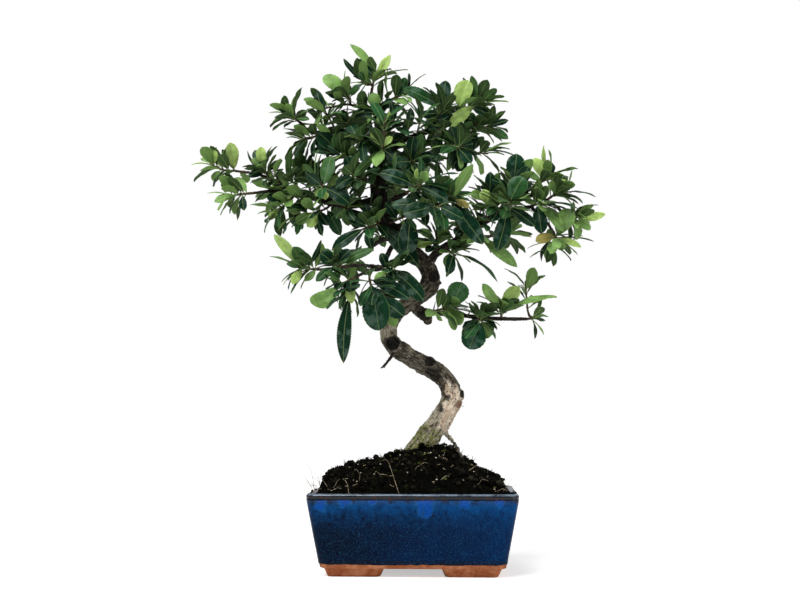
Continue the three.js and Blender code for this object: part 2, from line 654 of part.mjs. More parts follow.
    name: 'spray_front_right',
    twigs: [[[11, -23.4, 264.6], [22, -30, 268], [30, -34, 269.4]]],
    fill: [0, 18],
    leaves: [
      [0.95, 15, -4, 25, 8.5, 1, 'under', 1],
      [0.6, -14, -4, 7, 5, 1, 'up', 1],
      [0.97, 17, -3, 3, 5, 1, 'up', 1],
      [0.9, 13, -5, -6, 6, 4, 'front', 1],
      [0.85, 24, -5, -33, 13.5, 3, 'front', 2],
      [0.75, 17, 4, -3, 9, 3, 'up', 1],
    ],
  },
  {
    name: 'spray_trunk_front',
    twigs: [[[-21, -3, 256], [-9, -15, 259], [-1.4, -19, 260]]],
    fill: [0, 19],
    leaves: [
      [0.95, -2, -3, -29, 15, 3, 'front', 2],
      [0.7, 5, 4, -20, 8, 1, 'under', 1],
      [0.5, -8, -10, 11, 8, 3, 'front', 1],
    ],
  },
  {
    name: 'spray_trunk_left',
    twigs: [[[-23, 0, 260], [-28, -11, 255], [-37, -16, 251]]],
    fill: [0, 20],
    leaves: [
      [0.45, 31, -8, -33, 13.5, 3, 'front', 2],
      [0.97, -24, -5, -16, 9.5, 3, 'front', 1.5],
      [0.85, -13, -6, 5, 7, 3, 'front', 1],
      [0.7, -4, -9, 14, 8, 3, 'front', 1],
      [0.9, 4, -6, -16, 7, 3, 'front', 1],
    ],
  },
  {
    name: 'spray_centre_high',
    twigs: [
      [[-26, 0, 308], [-24, -12, 309], [-22, -24, 310.6]],
      [[-22.2, -23, 310.4], [-21, -25, 331]],
    ],
    fill: [2, 20],
    leaves: [
      [0.75, -8, -6, 16, 10.5, 3, 'front', 1],
      [0.93, -9, -6, 11, 6.5, 0, 'front', 0.5],
      [0.97, 7, -5, 7, 5.5, 0, 'front', 0.5],
      [0.9, -22, -4, -22, 7, 2, 'under', 1.5],
      [0.85, 13, -5, -13, 9, 3, 'front', 1],
      [1.6, -5, -4, 9, 4.5, 1, 'left', 0.5],
      [1.9, 4, -3, 8, 4, 0, 'right', 0.5],
    ],
  },
  {
    name: 'spray_centre_right_high',
    twigs: [[[20, 3, 316], [28, -8, 313], [35, -20, 311.4]]],
    fill: [3, 20],
    leaves: [
      [0.97, -22, -4, -1, 6, 1, 'up', 1],
      [0.85, 10, -7, -13, 9, 3, 'front', 1],
      [0.8, -4, -8, 14, 9, 3, 'front', 1],
      [0.6, 15, -6, 2, 8, 3, 'front', 1],
    ],
  },
  {
    name: 'spray_centre_fill',
    twigs: [[[-7, 3.4, 304.4], [-4, -10, 303], [0, -22, 300]]],
    fill: [3, 20],
    leaves: [
      [0.95, 16, -6, 3, 10, 3, 'front', 1],
      [0.9, -15, -7, -4, 9, 3, 'front', 1],
      [0.8, 2, -7, 17, 9, 3, 'front', 1],
    ],
  },
  {
    name: 'spray_centre_left',
    twigs: [[[-27, -1, 285], [-36, -13, 288], [-44, -21, 290]]],
    fill: [3, 20],
    leaves: [
      [0.95, -14, -6, -9, 9, 3, 'front', 1],
      [0.9, -8, -6, 14, 9, 3, 'front', 1],
      [0.75, 15, -8, 6, 9, 3, 'front', 1],
    ],
  },
  // upper right
  {
    name: 'spray_right_high_a',
    twigs: [[[15.4, -7, 332.4], [20, -9, 339], [23.4, -9, 345]]],
    fill: [2, 20],
    leaves: [
      [0.9, -30, -5, 15, 11, 2, 'front', 2],
      [0.75, 3, -5, 22, 10.5, 3, 'front', 1],
      [0.6, -14, -6, -2, 8, 3, 'front', 1],
      [0.85, -2, 12, 10, 8, 2, 'back', 1],
    ],
  },
  {
    name: 'spray_right_high_b',
    twigs: [[[25, -3, 332.4], [30, -8, 338], [34.4, -9, 343]]],
    fill: [1, 20],
    leaves: [
      [0.95, 7, -4, 22, 14, 0, 'front', 1.5],
      [0.7, -13, -7, -8, 8, 3, 'front', 1],
      [0.8, 6, 11, 9, 8, 2, 'back', 1],
    ],
  },
  {
    name: 'spray_right_high_c',
    twigs: [[[37, -3.8, 340.2], [44, -6, 347], [50, -6, 347.4]]],
    fill: [1, 20],
    leaves: [
      [0.8, -20, -9, -19, 9.5, 0, 'front', 1.5],
      [0.9, -3, -4, 9, 5, 3, 'front', 0.5],
      [0.96, 5, -3, 8, 4.5, 3, 'front', 0.5],
      [0.97, 22, -4, 1, 9, 1, 'up', 1],
      [0.5, 14, -7, -8, 7, 3, 'front', 1],
    ],
  },
  {
    name: 'spray_right_high_d',
    twigs: [[[39, 1, 325.6], [50, -2, 330], [57, -3, 331]]],
    fill: [1, 20],
    leaves: [
      [0.97, 15, -3, 4, 5, 3, 'right', 1],
      [0.85, 17, -5, -10, 8, 2, 'front', 1],
      [0.5, -10, -8, -23, 13.5, 3, 'front', 1.5],
      [0.7, -24, -8, -6, 6.5, 3, 'up', 1.5],
      [0.4, 8, 13, 4, 8, 3, 'up', 1],
    ],
  },
  {
    name: 'spray_right_middle',
    twigs: [[[22, 3, 317], [40, -5, 311], [54, -9, 308.6]]],
    fill: [1, 20],
    leaves: [
      [0.97, 15, -4, -2, 6, 2, 'up', 1],
      [0.8, 30, -4, -7, 7.5, 3, 'up', 2],
      [0.7, 6, -7, 12, 8, 2, 'front', 1],
      [0.6, -6, -8, -14, 9, 3, 'front', 1],
    ],
  },
  // right arm
  {
    name: 'spray_right_rosette',
    twigs: [[[68, -20, 261.4], [70, -26, 265], [71, -29, 268]]],
    fill: [0, 17],
    leaves: [
      [0.95, 10, -4, 18, 14.5, 2, 'front', 1],
      [0.9, -8, -5, 8, 5, 1, 'left', 0.5],
      [0.8, 15, -5, 7, 5.5, 1, 'up', 0.5],
      [0.6, 19, -6, -15, 9, 3, 'front', 1],
      [0.5, -8, -4, -32, 12.5, 3, 'front', 2],
      [0.7, -9, -6, -7, 8.5, 2, 'front', 1],
      [0.85, -12, -4, -2, 8, 2, 'front', 1],
    ],
  },
  {
    name: 'spray_right_arm_in',
    twigs: [
      [[52, -15.6, 255], [54, -21, 259], [55, -25, 266]],
      [[53.7, -20.2, 258.4], [50, -21.4, 250], [48, -21, 243]],
    ],
    fill: [0, 16],
    leaves: [
      [0.95, -3, -4, 12, 8.5, 0, 'front', 1],
      [0.7, -12, -4, -1, 5, 1, 'up', 0.5],
      [0.75, 7, -5, 12, 7.5, 3, 'front', 1],
      [1.95, 28, -5, -23, 9.5, 1, 'front', 2],
      [1.8, -9, -5, -8, 6, 1, 'front', 1],
    ],
  },
  {
    name: 'spray_right_end',
    twigs: [[[87, -18.2, 266.4], [91, -21, 267.4], [94, -23, 267]]],
    fill: [0, 20],
    leaves: [
      [0.93, 29, -4, -3, 8.5, 3, 'up', 2],
      [0.7, 27, 4, -6, 8, 3, 'up', 2],
      [0.8, 17, -8, -21, 8, 1, 'front', 1],
      [0.6, 3, -6, -22, 11, 3, 'front', 1.5],
      [0.9, -3, -6, 12, 8, 2, 'front', 1],
      [0.5, -9, -8, 3, 6, 2, 'front', 0.5],
    ],
  },
  {
    name: 'spray_right_end_low',
    twigs: [
      [[103.2, -20, 247], [105.6, -20.4, 242]],
      [[104.4, -20, 244.6], [101.6, -21, 233.4]],
    ],
    fill: [0, 15],
    leaves: [
      [0.8, 11, -4, 20, 14, 2, 'front', 1],
      [0.9, 27, -3, -2, 5.5, 3, 'up', 1],
      [0.95, 17, -6, -7, 5.5, 1, 'front', 1],
      [0.97, 4, -5, -9, 7.5, 2, 'front', 1],
      [0.7, -15, -5, -4, 8.5, 4, 'front', 1.5],
      [0.6, -5, 13, 4, 8, 2, 'back', 1],
    ],
  },
  {
    name: 'spray_right_far',
    twigs: [[[111.4, -12, 262.4], [117, -13, 258.4], [122, -14, 255.6]]],
    fill: [0, 17],
    leaves: [
      [0.97, 20, -2, 5, 7, 1, 'front', 1],
      [0.85, -4, -3, 13, 5.5, 3, 'left', 1],
      [0.75, 11, -6, -8, 7, 2, 'front', 1],
    ],
  },
  {
    name: 'spray_right_far_middle',
    twigs: [[[99, -10, 272.4], [105, -12, 276], [110.6, -13, 277.6]]],
    fill: [0, 20],
    leaves: [
      [0.97, 25, -3, -2, 6.5, 3, 'up', 1.5],
      [0.8, 4, 13, 2, 8, 3, 'up', 1],
      [0.6, -3, -8, 9, 7, 3, 'front', 1],
    ],
  },
  {
    name: 'spray_right_far_top',
    twigs: [[[91, -8.8, 283.6], [97, -10, 287], [102, -10, 290]]],
    fill: [0, 16],
    leaves: [
      [0.9, -5, -2, 24, 5, 0, 'left', 1],
      [0.97, 14, -3, 0, 6, 3, 'up', 1],
      [0.8, 14, -6, -3, 6, 0, 'up', 1],
      [0.6, -7, -5, 16, 9, 0, 'front', 1],
      [0.5, -11, -6, 4, 6, 1, 'front', 1],
    ],
  },
  {
    name: 'spray_right_arm_top',
    twigs: [[[68, -10, 268], [72, -15, 276], [75, -17, 283]]],
    fill: [1, 20],
    leaves: [
      [0.95, 2, -5, 23, 14, 3, 'front', 1.5],
      [0.8, 13, -5, 15, 10, 3, 'front', 1],
      [0.7, -14, -6, 8, 7, 3, 'front', 1],
      [0.85, -3, 13, 10, 9, 2, 'back', 1],
    ],
  },
  {
    name: 'spray_right_inner',
    twigs: [[[58, -13.4, 259.4], [57, -14, 268], [56, -14, 276]]],
    fill: [2, 20],
    leaves: [
      [0.9, 1, -5, 18, 8, 3, 'front', 1],
      [0.7, -14, -5, 6, 8, 3, 'front', 1],
    ],
  },
  {
    name: 'spray_right_under_a',
    twigs: [[[24, -8, 238], [27, -11, 234], [30, -13, 231.4]]],
    fill: [0, 16],
    leaves: [
      [0.95, 33, -4, -20, 7, 2, 'up', 5],
      [0.7, 12, -4, 3, 4.5, 1, 'up', 0.5],
      [0.6, -3, -7, -12, 6, 1, 'front', 1],
    ],
  },
  {
    name: 'spray_trunk_right',
    twigs: [[[18, -6, 234.5], [17, -12, 239], [17, -16, 242]]],
    fill: [0, 16],
    leaves: [
      [0.9, -14, -4, -4, 8.5, 0, 'front', 1],
      [0.95, -13, -3, 8, 6.5, 1, 'front', 1],
      [0.8, 9, -4, 9, 10, 1, 'under', 1],
    ],
  },
  // lower left
  {
    name: 'spray_low_left_big',
    twigs: [[[-32, -26.4, 218.6], [-31, -32, 208], [-25, -33, 198]]],
    fill: [0, 18],
    leaves: [
      [0.35, 29, -7, -14, 11.5, 3, 'front', 3],
      [0.5, 7, -7, -34, 20, 2, 'front', 3],
      [0.97, 19, -4, -15, 13, 3, 'front', 2],
      [0.95, 13, 5, -22, 11.5, 1, 'under', 1],
    ],
  },
  {
    name: 'spray_low_left_inner',
    twigs: [[[-24, -20, 220.6], [-18, -23, 218.6], [-14, -25, 218]]],
    fill: [0, 17],
    leaves: [
      [0.9, 23, -6, -22, 13, 3, 'front', 2],
      [0.7, -11, -6, -8, 6, 1, 'front', 1],
      [0.5, -4, -8, 11, 7, 3, 'front', 1],
    ],
  },
  {
    name: 'spray_low_left_main',
    twigs: [
      [[-42, -32.4, 212.6], [-47, -35, 209.6], [-53, -36, 207.4]],
      [[-46.4, -34.8, 210], [-45.4, -38, 199.4]],
    ],
    fill: [0, 16],
    leaves: [
      [1.95, -4, -4, -50, 10.5, 2, 'front', 3],
      [1.3, 3, -5, -20, 6.5, 3, 'left', 1],
      [0.45, 3, -8, -17, 7.5, 0, 'front', 1],
      [0.97, -20, -8, -14, 14.5, 1, 'front', -9],
      [0.3, 1, -8, -11, 11.5, 3, 'front', 1],
      [0.8, -5, -7, -5, 5, 3, 'front', 0.5],
      [0.7, -3, -5, -20, 6, 2, 'right', 1],
    ],
  },
  {
    name: 'spray_low_left_middle',
    twigs: [[[-50, -21.8, 221.6], [-54, -25, 222], [-57, -27, 222]]],
    fill: [0, 16],
    leaves: [
      [0.95, -11, -4, 9, 10.5, 3, 'front', 1],
      [0.9, -1, -3, 13, 5, 1, 'left', 0.5],
      [0.8, -15, -6, -12, 7.5, 2, 'front', 1],
      [0.6, 25, -4, 12, 7.5, 2, 'front', 2],
      [0.85, 10, -5, 11, 8, 3, 'front', 1],
      [0.5, -5, -5, -13, 6.5, 2, 'front', 1],
    ],
  },
  {
    name: 'spray_low_left_tip',
    twigs: [[[-67.6, -25.8, 219.2], [-76, -27, 219.6], [-83, -28, 220.4]]],
    fill: [0, 15],
    leaves: [
      [0.98, -22, -3, 9, 5, 1, 'up', 1],
      [0.93, -20, -3, 25, 8, 0, 'front', 1.5],
      [0.8, -12, -6, 3, 5.5, 2, 'front', 1],
      [0.7, 12, -3, 20, 5.5, 3, 'right', 1],
      [0.3, 6, -5, 18, 7, 1, 'under', 1],
      [0.2, -8, -6, -9, 6, 3, 'front', 1],
      [0.85, -7, -6, -12, 7, 0, 'front', 1],
      [0.95, -13, -4, -12, 5, 2, 'left', 1],
      [0.5, -17, -6, -15, 5, 2, 'left', 1],
    ],
  },
  // lower right branch
  {
    name: 'spray_low_right_in',
    twigs: [[[12, -1.4, 189.6], [16, -6.4, 190.4], [29.4, -9, 192]]],
    fill: [0, 15],
    leaves: [
      [0.95, 7, -3, 19, 16.5, 2, 'front', 1.5],
      [0.3, 26, -6, -9, 10.5, 1, 'under', 6],
      [0.28, 5, -3, -8, 4, 1, 'left', 0.3],
      [0.75, 8, -5, -17, 7, 1, 'under', 1],
      [0.8, -5, 13, 8, 8, 2, 'up', 1],
    ],
  },
  {
    name: 'spray_low_right_middle',
    twigs: [[[50, -6, 184.8], [49, -10, 183.4], [48.6, -13, 183]]],
    fill: [0, 16],
    leaves: [
      [0.95, -8, -4, -22, 18, 3, 'front', 2],
      [0.8, -8, -3, 12, 5, 2, 'left', 0.5],
      [0.85, 13, -5, -7, 7, 3, 'up', 1],
      [0.7, 7, -3, -14, 12.5, 1, 'under', 1],
      [0.5, -7, 5, -22, 9, 1, 'under', 1],
    ],
  },
  {
    name: 'spray_low_right_up',
    twigs: [[[65, -6, 184], [65, -8, 188], [64.4, -9, 191]]],
    fill: [0, 16],
    leaves: [
      [0.95, -13, -4, 19, 8, 2, 'front', 1],
      [0.9, 13, -5, 17, 11, 0, 'front', 1],
      [0.6, 40, -4, 14, 7, 1, 'up', 3],
      [0.7, -13, -5, 3, 5.5, 3, 'up', 1],
    ],
  },
  {
    name: 'spray_low_right_end',
    twigs: [
      [[83, -6, 183.8], [89, -7, 184]],
      [[87, -6.7, 184], [84.6, -7, 190], [83, -7, 210]],
    ],
    fill: [0, 14],
    leaves: [
      [0.3, -10, -8, -19, 16.5, 3, 'front', 2],
      [0.25, -12, -5, 0, 6, 1, 'up', 1],
      [0.95, 7, -4, -2, 6, 3, 'up', 0.5],
      [0.8, 2, -4, -15, 5, 3, 'right', 1],
      [1.55, 4, -2, 3, 3, 2, 'up', 0.3],
      [1.85, -4, -2, 3, 3, 2, 'up', 0.3],
      [0.6, 6, 12, 2, 7, 2, 'up', 1],
    ],
  },
  // back of the crown
  {
    name: 'spray_back_left',
    twigs: [[[-45, 39, 280], [-54, 48, 283], [-60, 56, 285]]],
    fill: [4, 23],
    leaves: [],
  },
  {
    name: 'spray_back_left_arm',
    twigs: [[[-93, 27.4, 284.8], [-104, 34, 288], [-114, 38, 291]]],
    fill: [4, 21],
    leaves: [],
  },
  {
    name: 'spray_back_low',
    twigs: [[[-41, 33.4, 239], [-49, 42, 235], [-55, 50, 232]]],
    fill: [4, 23],
    leaves: [],
  },
  {
    name: 'spray_back_middle',
    twigs: [[[1, 39, 292], [10, 48, 290], [18, 55, 287]]],
    fill: [4, 23],
    leaves: [],
  },
  {
    name: 'spray_back_right',
    twigs: [[[57, 25, 251], [66, 33.4, 253.4], [74, 42, 255]]],
    fill: [4, 23],
    leaves: [],
  },
  {
    name: 'spray_back_high',
    twigs: [[[-39.4, 31, 323.4], [-45, 39, 331], [-48, 45, 337]]],
    fill: [4, 21],
    leaves: [],
  },
  {
    name: 'spray_back_high_right',
    twigs: [[[1, 25, 332.6], [11, 33, 338], [18, 38, 342]]],
    fill: [4, 21],
    leaves: [],
  },
];

const TWIG_ROOT_RADIUS = 1.15;
const TWIG_TIP_RADIUS = 0.9;

// A small seeded random source, so that every build is alike
function seeded(seed) {
  let state = seed >>> 0;
  return () => {
    state = (state + 0x6d2b79f5) >>> 0;
    let value = Math.imul(state ^ (state >>> 15), state | 1);
    value = (value + Math.imul(value ^ (value >>> 7), value | 61)) ^ value;
    return ((value ^ (value >>> 14)) >>> 0) / 4294967296;
  };
}

// The point and direction at a place on a spray's twigs: 0 to 0.99 on the first, 1 to 1.99 on the second
function onTwig(twigs, place) {
  const line = twigs[Math.floor(place)];
  const share = place - Math.floor(place);
  const lengths = line.slice(1).map((point, i) => norm(sub(point, line[i])));
  let left = share * lengths.reduce((sum, value) => sum + value, 0);
  let step = 0;
  while (step < lengths.length - 1 && left > lengths[step]) {
    left -= lengths[step];
    step += 1;
  }
  const way = unit(sub(line[step + 1], line[step]));
  return { point: add(line[step], scale(way, left)), way };
}

// The middle surface of a leaf: a short stalk, then a folded, arched sheet up to the tip
function bladeSurface(leaf) {
  const way = unit(leaf.reach);
  const facing = unit(sub(leaf.face, scale(way, dot(leaf.face, way))));
  const side = cross(way, facing);
  const half = leaf.width / 2;
  const ribs = leaf.ribs;
  const points = [leaf.base, add(leaf.base, scale(way, STALK_LENGTH))];
  leaf.stations.forEach(([along, share], row) => {
    const spine = add(leaf.base, scale(leaf.reach, along));
    const lift = leaf.arch * 4 * along * (1 - along);
    for (const edge of ribs) {
      const raised = lift + Math.abs(edge) * FOLD * half * share + edge * EDGE_WAVE * (row % 2 ? 1 : -1);
      points.push(add(spine, add(scale(side, edge * half * share), scale(facing, raised))));
    }
  });
  points.push(add(leaf.base, leaf.reach));
  const wide = ribs.length;
  const rows = leaf.stations.length;
  const tip = points.length - 1;
  const at = (row, rib) => 2 + wide * row + rib;
  const faces = [];
  for (let rib = 0; rib + 1 < wide; rib++) {
    faces.push([1, at(0, rib + 1), at(0, rib)]);
    for (let row = 0; row + 1 < rows; row++) {
      const [l, r] = [at(row, rib), at(row, rib + 1)];
      faces.push([l, r, l + wide], [r, r + wide, l + wide]);
    }
    faces.push([at(rows - 1, rib), at(rows - 1, rib + 1), tip]);
  }
  return { points, faces, at, way, facing, side };
}

// The leaf as a solid: a three-sided stalk and a blade of even thickness, split alike on both faces
function bladeSolid(leaf) {
  const { points, faces, at, way, facing, side } = bladeSurface(leaf);
  const normals = points.map(() => [0, 0, 0]);
  for (const [a, b, c] of faces) {
    const normal = cross(sub(points[b], points[a]), sub(points[c], points[a]));
    for (const i of [a, b, c]) normals[i] = add(normals[i], normal);
  }
  const last = leaf.ribs.length - 1;
  const rows = leaf.stations.length;
  const tip = points.length - 1;
  const vertices = [];
  for (const centre of [add(leaf.base, scale(way, 0.1)), points[1]]) {
    vertices.push(
      add(centre, add(scale(side, -STALK_HALF), scale(facing, STALK_HALF * 0.7))),
      add(centre, add(scale(side, STALK_HALF), scale(facing, STALK_HALF * 0.7))),
      add(centre, scale(facing, -STALK_HALF * 0.9)),
    );
  }
  // upper and lower point of the blade, from point 2 of the surface on
  const up = (i) => 6 + 2 * (i - 2);
  const down = (i) => up(i) + 1;
  for (let i = 2; i <= tip; i++) {
    const normal = unit(normals[i]);
    vertices.push(add(points[i], scale(normal, LEAF_THICKNESS / 2)));
    vertices.push(add(points[i], scale(normal, -LEAF_THICKNESS / 2)));
  }
  const triangles = [[0, 2, 1]];
  for (const [i, j] of [[0, 1], [1, 2], [2, 0]]) triangles.push([i, j, j + 3], [i, j + 3, i + 3]);
  const [left, right, under] = [3, 4, 5];
  const mid = at(0, Math.ceil(last / 2));
  triangles.push([left, right, up(mid)]);
  for (let rib = 0; rib < last; rib++) {
    const [l, r] = [at(0, rib), at(0, rib + 1)];
    triangles.push([r <= mid ? left : right, up(r), up(l)], [under, down(l), down(r)]);
  }
  const rim = (i, j) => [[up(i), up(j), down(j)], [up(i), down(j), down(i)]];
  const [startL, startR] = [at(0, 0), at(0, last)];
  triangles.push([left, up(startL), down(startL)], [left, down(startL), under]);
  triangles.push([right, down(startR), up(startR)], [right, under, down(startR)]);
  for (const [a, b, c] of faces) {
    if (Math.min(a, b, c) > 1) triangles.push([up(a), up(b), up(c)], [down(a), down(c), down(b)]);
  }
  for (let row = 0; row < rows; row++) {
    const ends = row + 1 < rows ? [at(row + 1, 0), at(row + 1, last)] : [tip, tip];
    triangles.push(...rim(at(row, 0), ends[0]));
    triangles.push(...rim(ends[1], at(row, last)));
  }
  return solidFrom(vertices, triangles);
}

// What is already placed: thin strips, each with its edges, faces, half thickness and owner
const CLEARANCE = 0.42;
const CLEARANCE_IN_SPRAY = 0.1;
const WOOD = -1;
const placed = [];

function placeStrip(points, edges, faces, radius, owner) {
  const reach = radius + 1.2;
  const low = [0, 1, 2].map((axis) => Math.min(...points.map((point) => point[axis])) - reach);
  const high = [0, 1, 2].map((axis) => Math.max(...points.map((point) => point[axis])) + reach);
  placed.push({ points, edges, faces, radius, owner, low, high });
}

function placeLine(line, radiusAt, owner) {
  for (let i = 0; i + 1 < line.length; i++) {
    const points = [line[i].slice(0, 3), line[i + 1].slice(0, 3)];
    placeStrip(points, [[0, 1, false]], [], Math.max(radiusAt(i), radiusAt(i + 1)), owner);
  }
}

// A blade's edges and faces, with those of its narrow base marked, which may meet its own spray
function stripOf({ points, faces }) {
  const edges = new Map();
  for (const face of faces) {
    for (let i = 0; i < 3; i++) {
      const pair = [face[i], face[(i + 1) % 3]].sort((a, b) => a - b);
      edges.set(pair.join(), [...pair, pair[0] < 2]);
    }
  }
  edges.set('stalk', [0, 1, true]);
  return { points, edges: [...edges.values()], faces: faces.map((face) => [...face, face[0] < 2]) };
}

const clamp01 = (value) => Math.min(Math.max(value, 0), 1);

// Squared distance between two line pieces
function lineGap(p1, q1, p2, q2) {
  const d1 = sub(q1, p1);
  const d2 = sub(q2, p2);
  const r = sub(p1, p2);
  const a = dot(d1, d1);
  const e = dot(d2, d2);
  const f = dot(d2, r);
  const c = dot(d1, r);
  const b = dot(d1, d2);
  const spread = a * e - b * b;
  let s = spread > 1e-9 ? clamp01((b * f - c * e) / spread) : 0;
  const t = clamp01((b * s + f) / e);
  s = clamp01((b * t - c) / a);
  const apart = sub(add(p1, scale(d1, s)), add(p2, scale(d2, t)));
  return dot(apart, apart);
}

// Squared distance from a point to a triangle's plane, where the point lies over the triangle
function pointGap(p, a, b, c) {
  const normal = cross(sub(b, a), sub(c, a));
  const size = dot(normal, normal);
  const u = dot(cross(sub(c, b), sub(p, b)), normal) / size;
  const v = dot(cross(sub(a, c), sub(p, c)), normal) / size;
  if (u < 0 || v < 0 || u + v > 1) return Infinity;
  const height = dot(sub(p, a), normal);
  return height * height / size;
}

// Whether a line piece goes through a triangle
function pierces(p, q, a, b, c) {
  const normal = cross(sub(b, a), sub(c, a));
  const from = dot(sub(p, a), normal);
  const to = dot(sub(q, a), normal);
  if (from * to > 0 || from === to) return false;
  return pointGap(add(p, scale(sub(q, p), from / (from - to))), a, b, c) < Infinity;
}

function isClear(strip, owner) {
  const low = [0, 1, 2].map((axis) => Math.min(...strip.points.map((point) => point[axis])));
  const high = [0, 1, 2].map((axis) => Math.max(...strip.points.map((point) => point[axis])));
  for (const other of placed) {
    if ([0, 1, 2].some((axis) => other.low[axis] > high[axis] || other.high[axis] < low[axis])) continue;
    const same = other.owner === owner;
    const clearance = same ? CLEARANCE_IN_SPRAY : CLEARANCE;
    const need = (other.radius + LEAF_THICKNESS / 2 + clearance) ** 2;
    const mine = same ? strip.edges.filter((edge) => !edge[2]) : strip.edges;
    const theirs = same ? other.edges.filter((edge) => !edge[2]) : other.edges;
    const myFaces = same ? strip.faces.filter((face) => !face[3]) : strip.faces;
    const theirFaces = same ? other.faces.filter((face) => !face[3]) : other.faces;
    const meets = (p, q, [a, b, c], points) => {
      const corners = [points[a], points[b], points[c]];
      const near = (point) => pointGap(point, ...corners) < need;
      return pierces(p, q, ...corners) || near(p) || near(q);
    };
    for (const [i, j] of mine) {
      const [p, q] = [strip.points[i], strip.points[j]];
      for (const [k, l] of theirs) {
        if (lineGap(p, q, other.points[k], other.points[l]) < need) return false;
      }
      for (const face of theirFaces) if (meets(p, q, face, other.points)) return false;
    }
    for (const [k, l] of theirs) {
      for (const face of myFaces) {
        if (meets(other.points[k], other.points[l], face, strip.points)) return false;
      }
    }
  }
  return true;
}

// Small changes that bend a leaf clear of what is there already: [shrink, pitch, turn, roll]
const BENDS = [];
const TILTS = [
  [0, 0], [9, 0], [-9, 0], [0, 10], [0, -10], [18, 7], [-18, -7], [18, -7], [-18, 7], [30, 0], [-30, 0],
  [0, 24], [0, -24],
];
for (const shrink of [1, 0.87, 0.74]) {
  for (const [pitch, turn] of TILTS) {
    for (const roll of [0, 24, -24]) BENDS.push([shrink, pitch, turn, roll]);
  }
}

function turned(vector, axis, degrees) {
  const angle = degrees * Math.PI / 180;
  const [c, s] = [Math.cos(angle), Math.sin(angle)];
  const along = scale(axis, dot(axis, vector) * (1 - c));
  return add(add(scale(vector, c), scale(cross(axis, vector), s)), along);
}

function bentLeaf(leaf, [shrink, pitch, turn, roll]) {
  const way = unit(leaf.reach);
  const facing = unit(sub(leaf.face, scale(way, dot(leaf.face, way))));
  const side = cross(way, facing);
  const reach = turned(turned(scale(leaf.reach, shrink), side, pitch), facing, turn);
  const face = turned(turned(facing, side, pitch), unit(reach), roll);
  return { ...leaf, reach, face, width: leaf.width * shrink, arch: leaf.arch * shrink };
}

function placeLeaf(leaf) {
  for (const bend of BENDS) {
    const tried = bentLeaf(leaf, bend);
    const strip = stripOf(bladeSurface(tried));
    if (!isClear(strip, leaf.owner)) continue;
    placeStrip(strip.points, strip.edges, strip.faces, LEAF_THICKNESS / 2, leaf.owner);
    return tried;
  }
  return null;
}

// Longer and wider leaves have a finer outline; the widest ones also have a folded middle
function outlineFor(length, width) {
  if (length > TOOTHED_LENGTH) return { stations: TOOTHED_BLADE, ribs: RIBS };
  if (width > BROAD_WIDTH) return { stations: BROAD_BLADE, ribs: RIBS };
  return {
    stations: length < SMALL_LENGTH ? SMALL_BLADE : PLAIN_BLADE,
    ribs: width > FOLDED_WIDTH ? RIBS : PLAIN_RIBS,
  };
}

function listedLeaf(spray, owner, [place, x, y, z, width, tone, face, arch]) {
  const reach = [x, y, z];
  const base = onTwig(spray.twigs, place).point;
  return { owner, base, reach, width, tone, face: FACES[face], arch, ...outlineFor(norm(reach), width) };
}

// The other leaves stand round their twig at the golden angle and turn up and outwards
const GOLDEN_ANGLE = 2.39996;
const CROWN_AXIS = [-16, 0];

function growLeaves(spray, owner) {
  const random = seeded(1000 + 17 * owner);
  const [count, length] = spray.fill;
  const leaves = [];
  for (let i = 0; i < count; i++) {
    const twig = spray.twigs.length > 1 && i % 2 ? 1 : 0;
    const share = 0.98 - 0.72 * (i / Math.max(count, 2)) - 0.04 * random();
    const { point, way } = onTwig(spray.twigs, twig + share);
    const outward = unit([point[0] - CROWN_AXIS[0] + 0.1, point[1] - CROWN_AXIS[1] + 0.1, 0]);
    const side = unit(cross(way, [0.1, 0.2, 1]));
    const up = cross(side, way);
    const angle = i * GOLDEN_ANGLE + 0.7 * random() + owner;
    const lean = (i === 0 ? 0.35 : 0.85) + 0.3 * random();
    const round = add(scale(side, Math.cos(angle)), scale(up, Math.sin(angle)));
    const aim = add(add(scale(way, Math.cos(lean)), scale(round, Math.sin(lean))), [0, 0, 0.12]);
    const size = length * (0.82 + 0.36 * random());
    const width = size * (0.34 + 0.1 * random());
    const tone = random() < 0.16 ? 1 : random() < 0.4 ? 2 : 3;
    const face = add(scale(outward, 0.55), [0, 0, 1]);
    const reach = scale(unit(aim), size);
    const arch = size * 0.06;
    const outline = { stations: SMALL_BLADE, ribs: PLAIN_RIBS };
    leaves.push({ owner, base: point, reach, width, tone, face, arch, ...outline });
  }
  return leaves;
}

const trunkReach = 1.09;
placeLine(TRUNK, (i) => TRUNK[i][3] * trunkReach, WOOD);
for (const limb of [...LIMBS, ...SPURS]) placeLine(limb, (i) => limb[i][3], WOOD);
for (const [centre, way, radius, height] of SCARS) {
  placeLine([centre, add(centre, scale(unit(way), height))], () => radius, WOOD);
}
// A twig starts just clear of the bark, so its first point moves out along the twig
const wood = makeWood();
const SEARCH_LENGTH = 4;

function clearOfWood(line) {
  const length = norm(sub(line[1], line[0]));
  const startAt = (share) => mix(line[0], line[1], share);
  const gapAt = (share) => {
    const ends = [startAt(share), line[1]].map((point) => [...point, TWIG_ROOT_RADIUS]);
    const first = tube(ends, TWIG_SIDES);
    return first.minGap(wood, SEARCH_LENGTH);
  };
  if (gapAt(0) >= GAP) return line;
  let [inside, outside] = [0, 1 - 0.4 / length];
  for (let i = 0; i < 9; i++) {
    const middle = (inside + outside) / 2;
    if (gapAt(middle) >= GAP) outside = middle;
    else inside = middle;
  }
  return [startAt(outside), ...line.slice(1)];
}

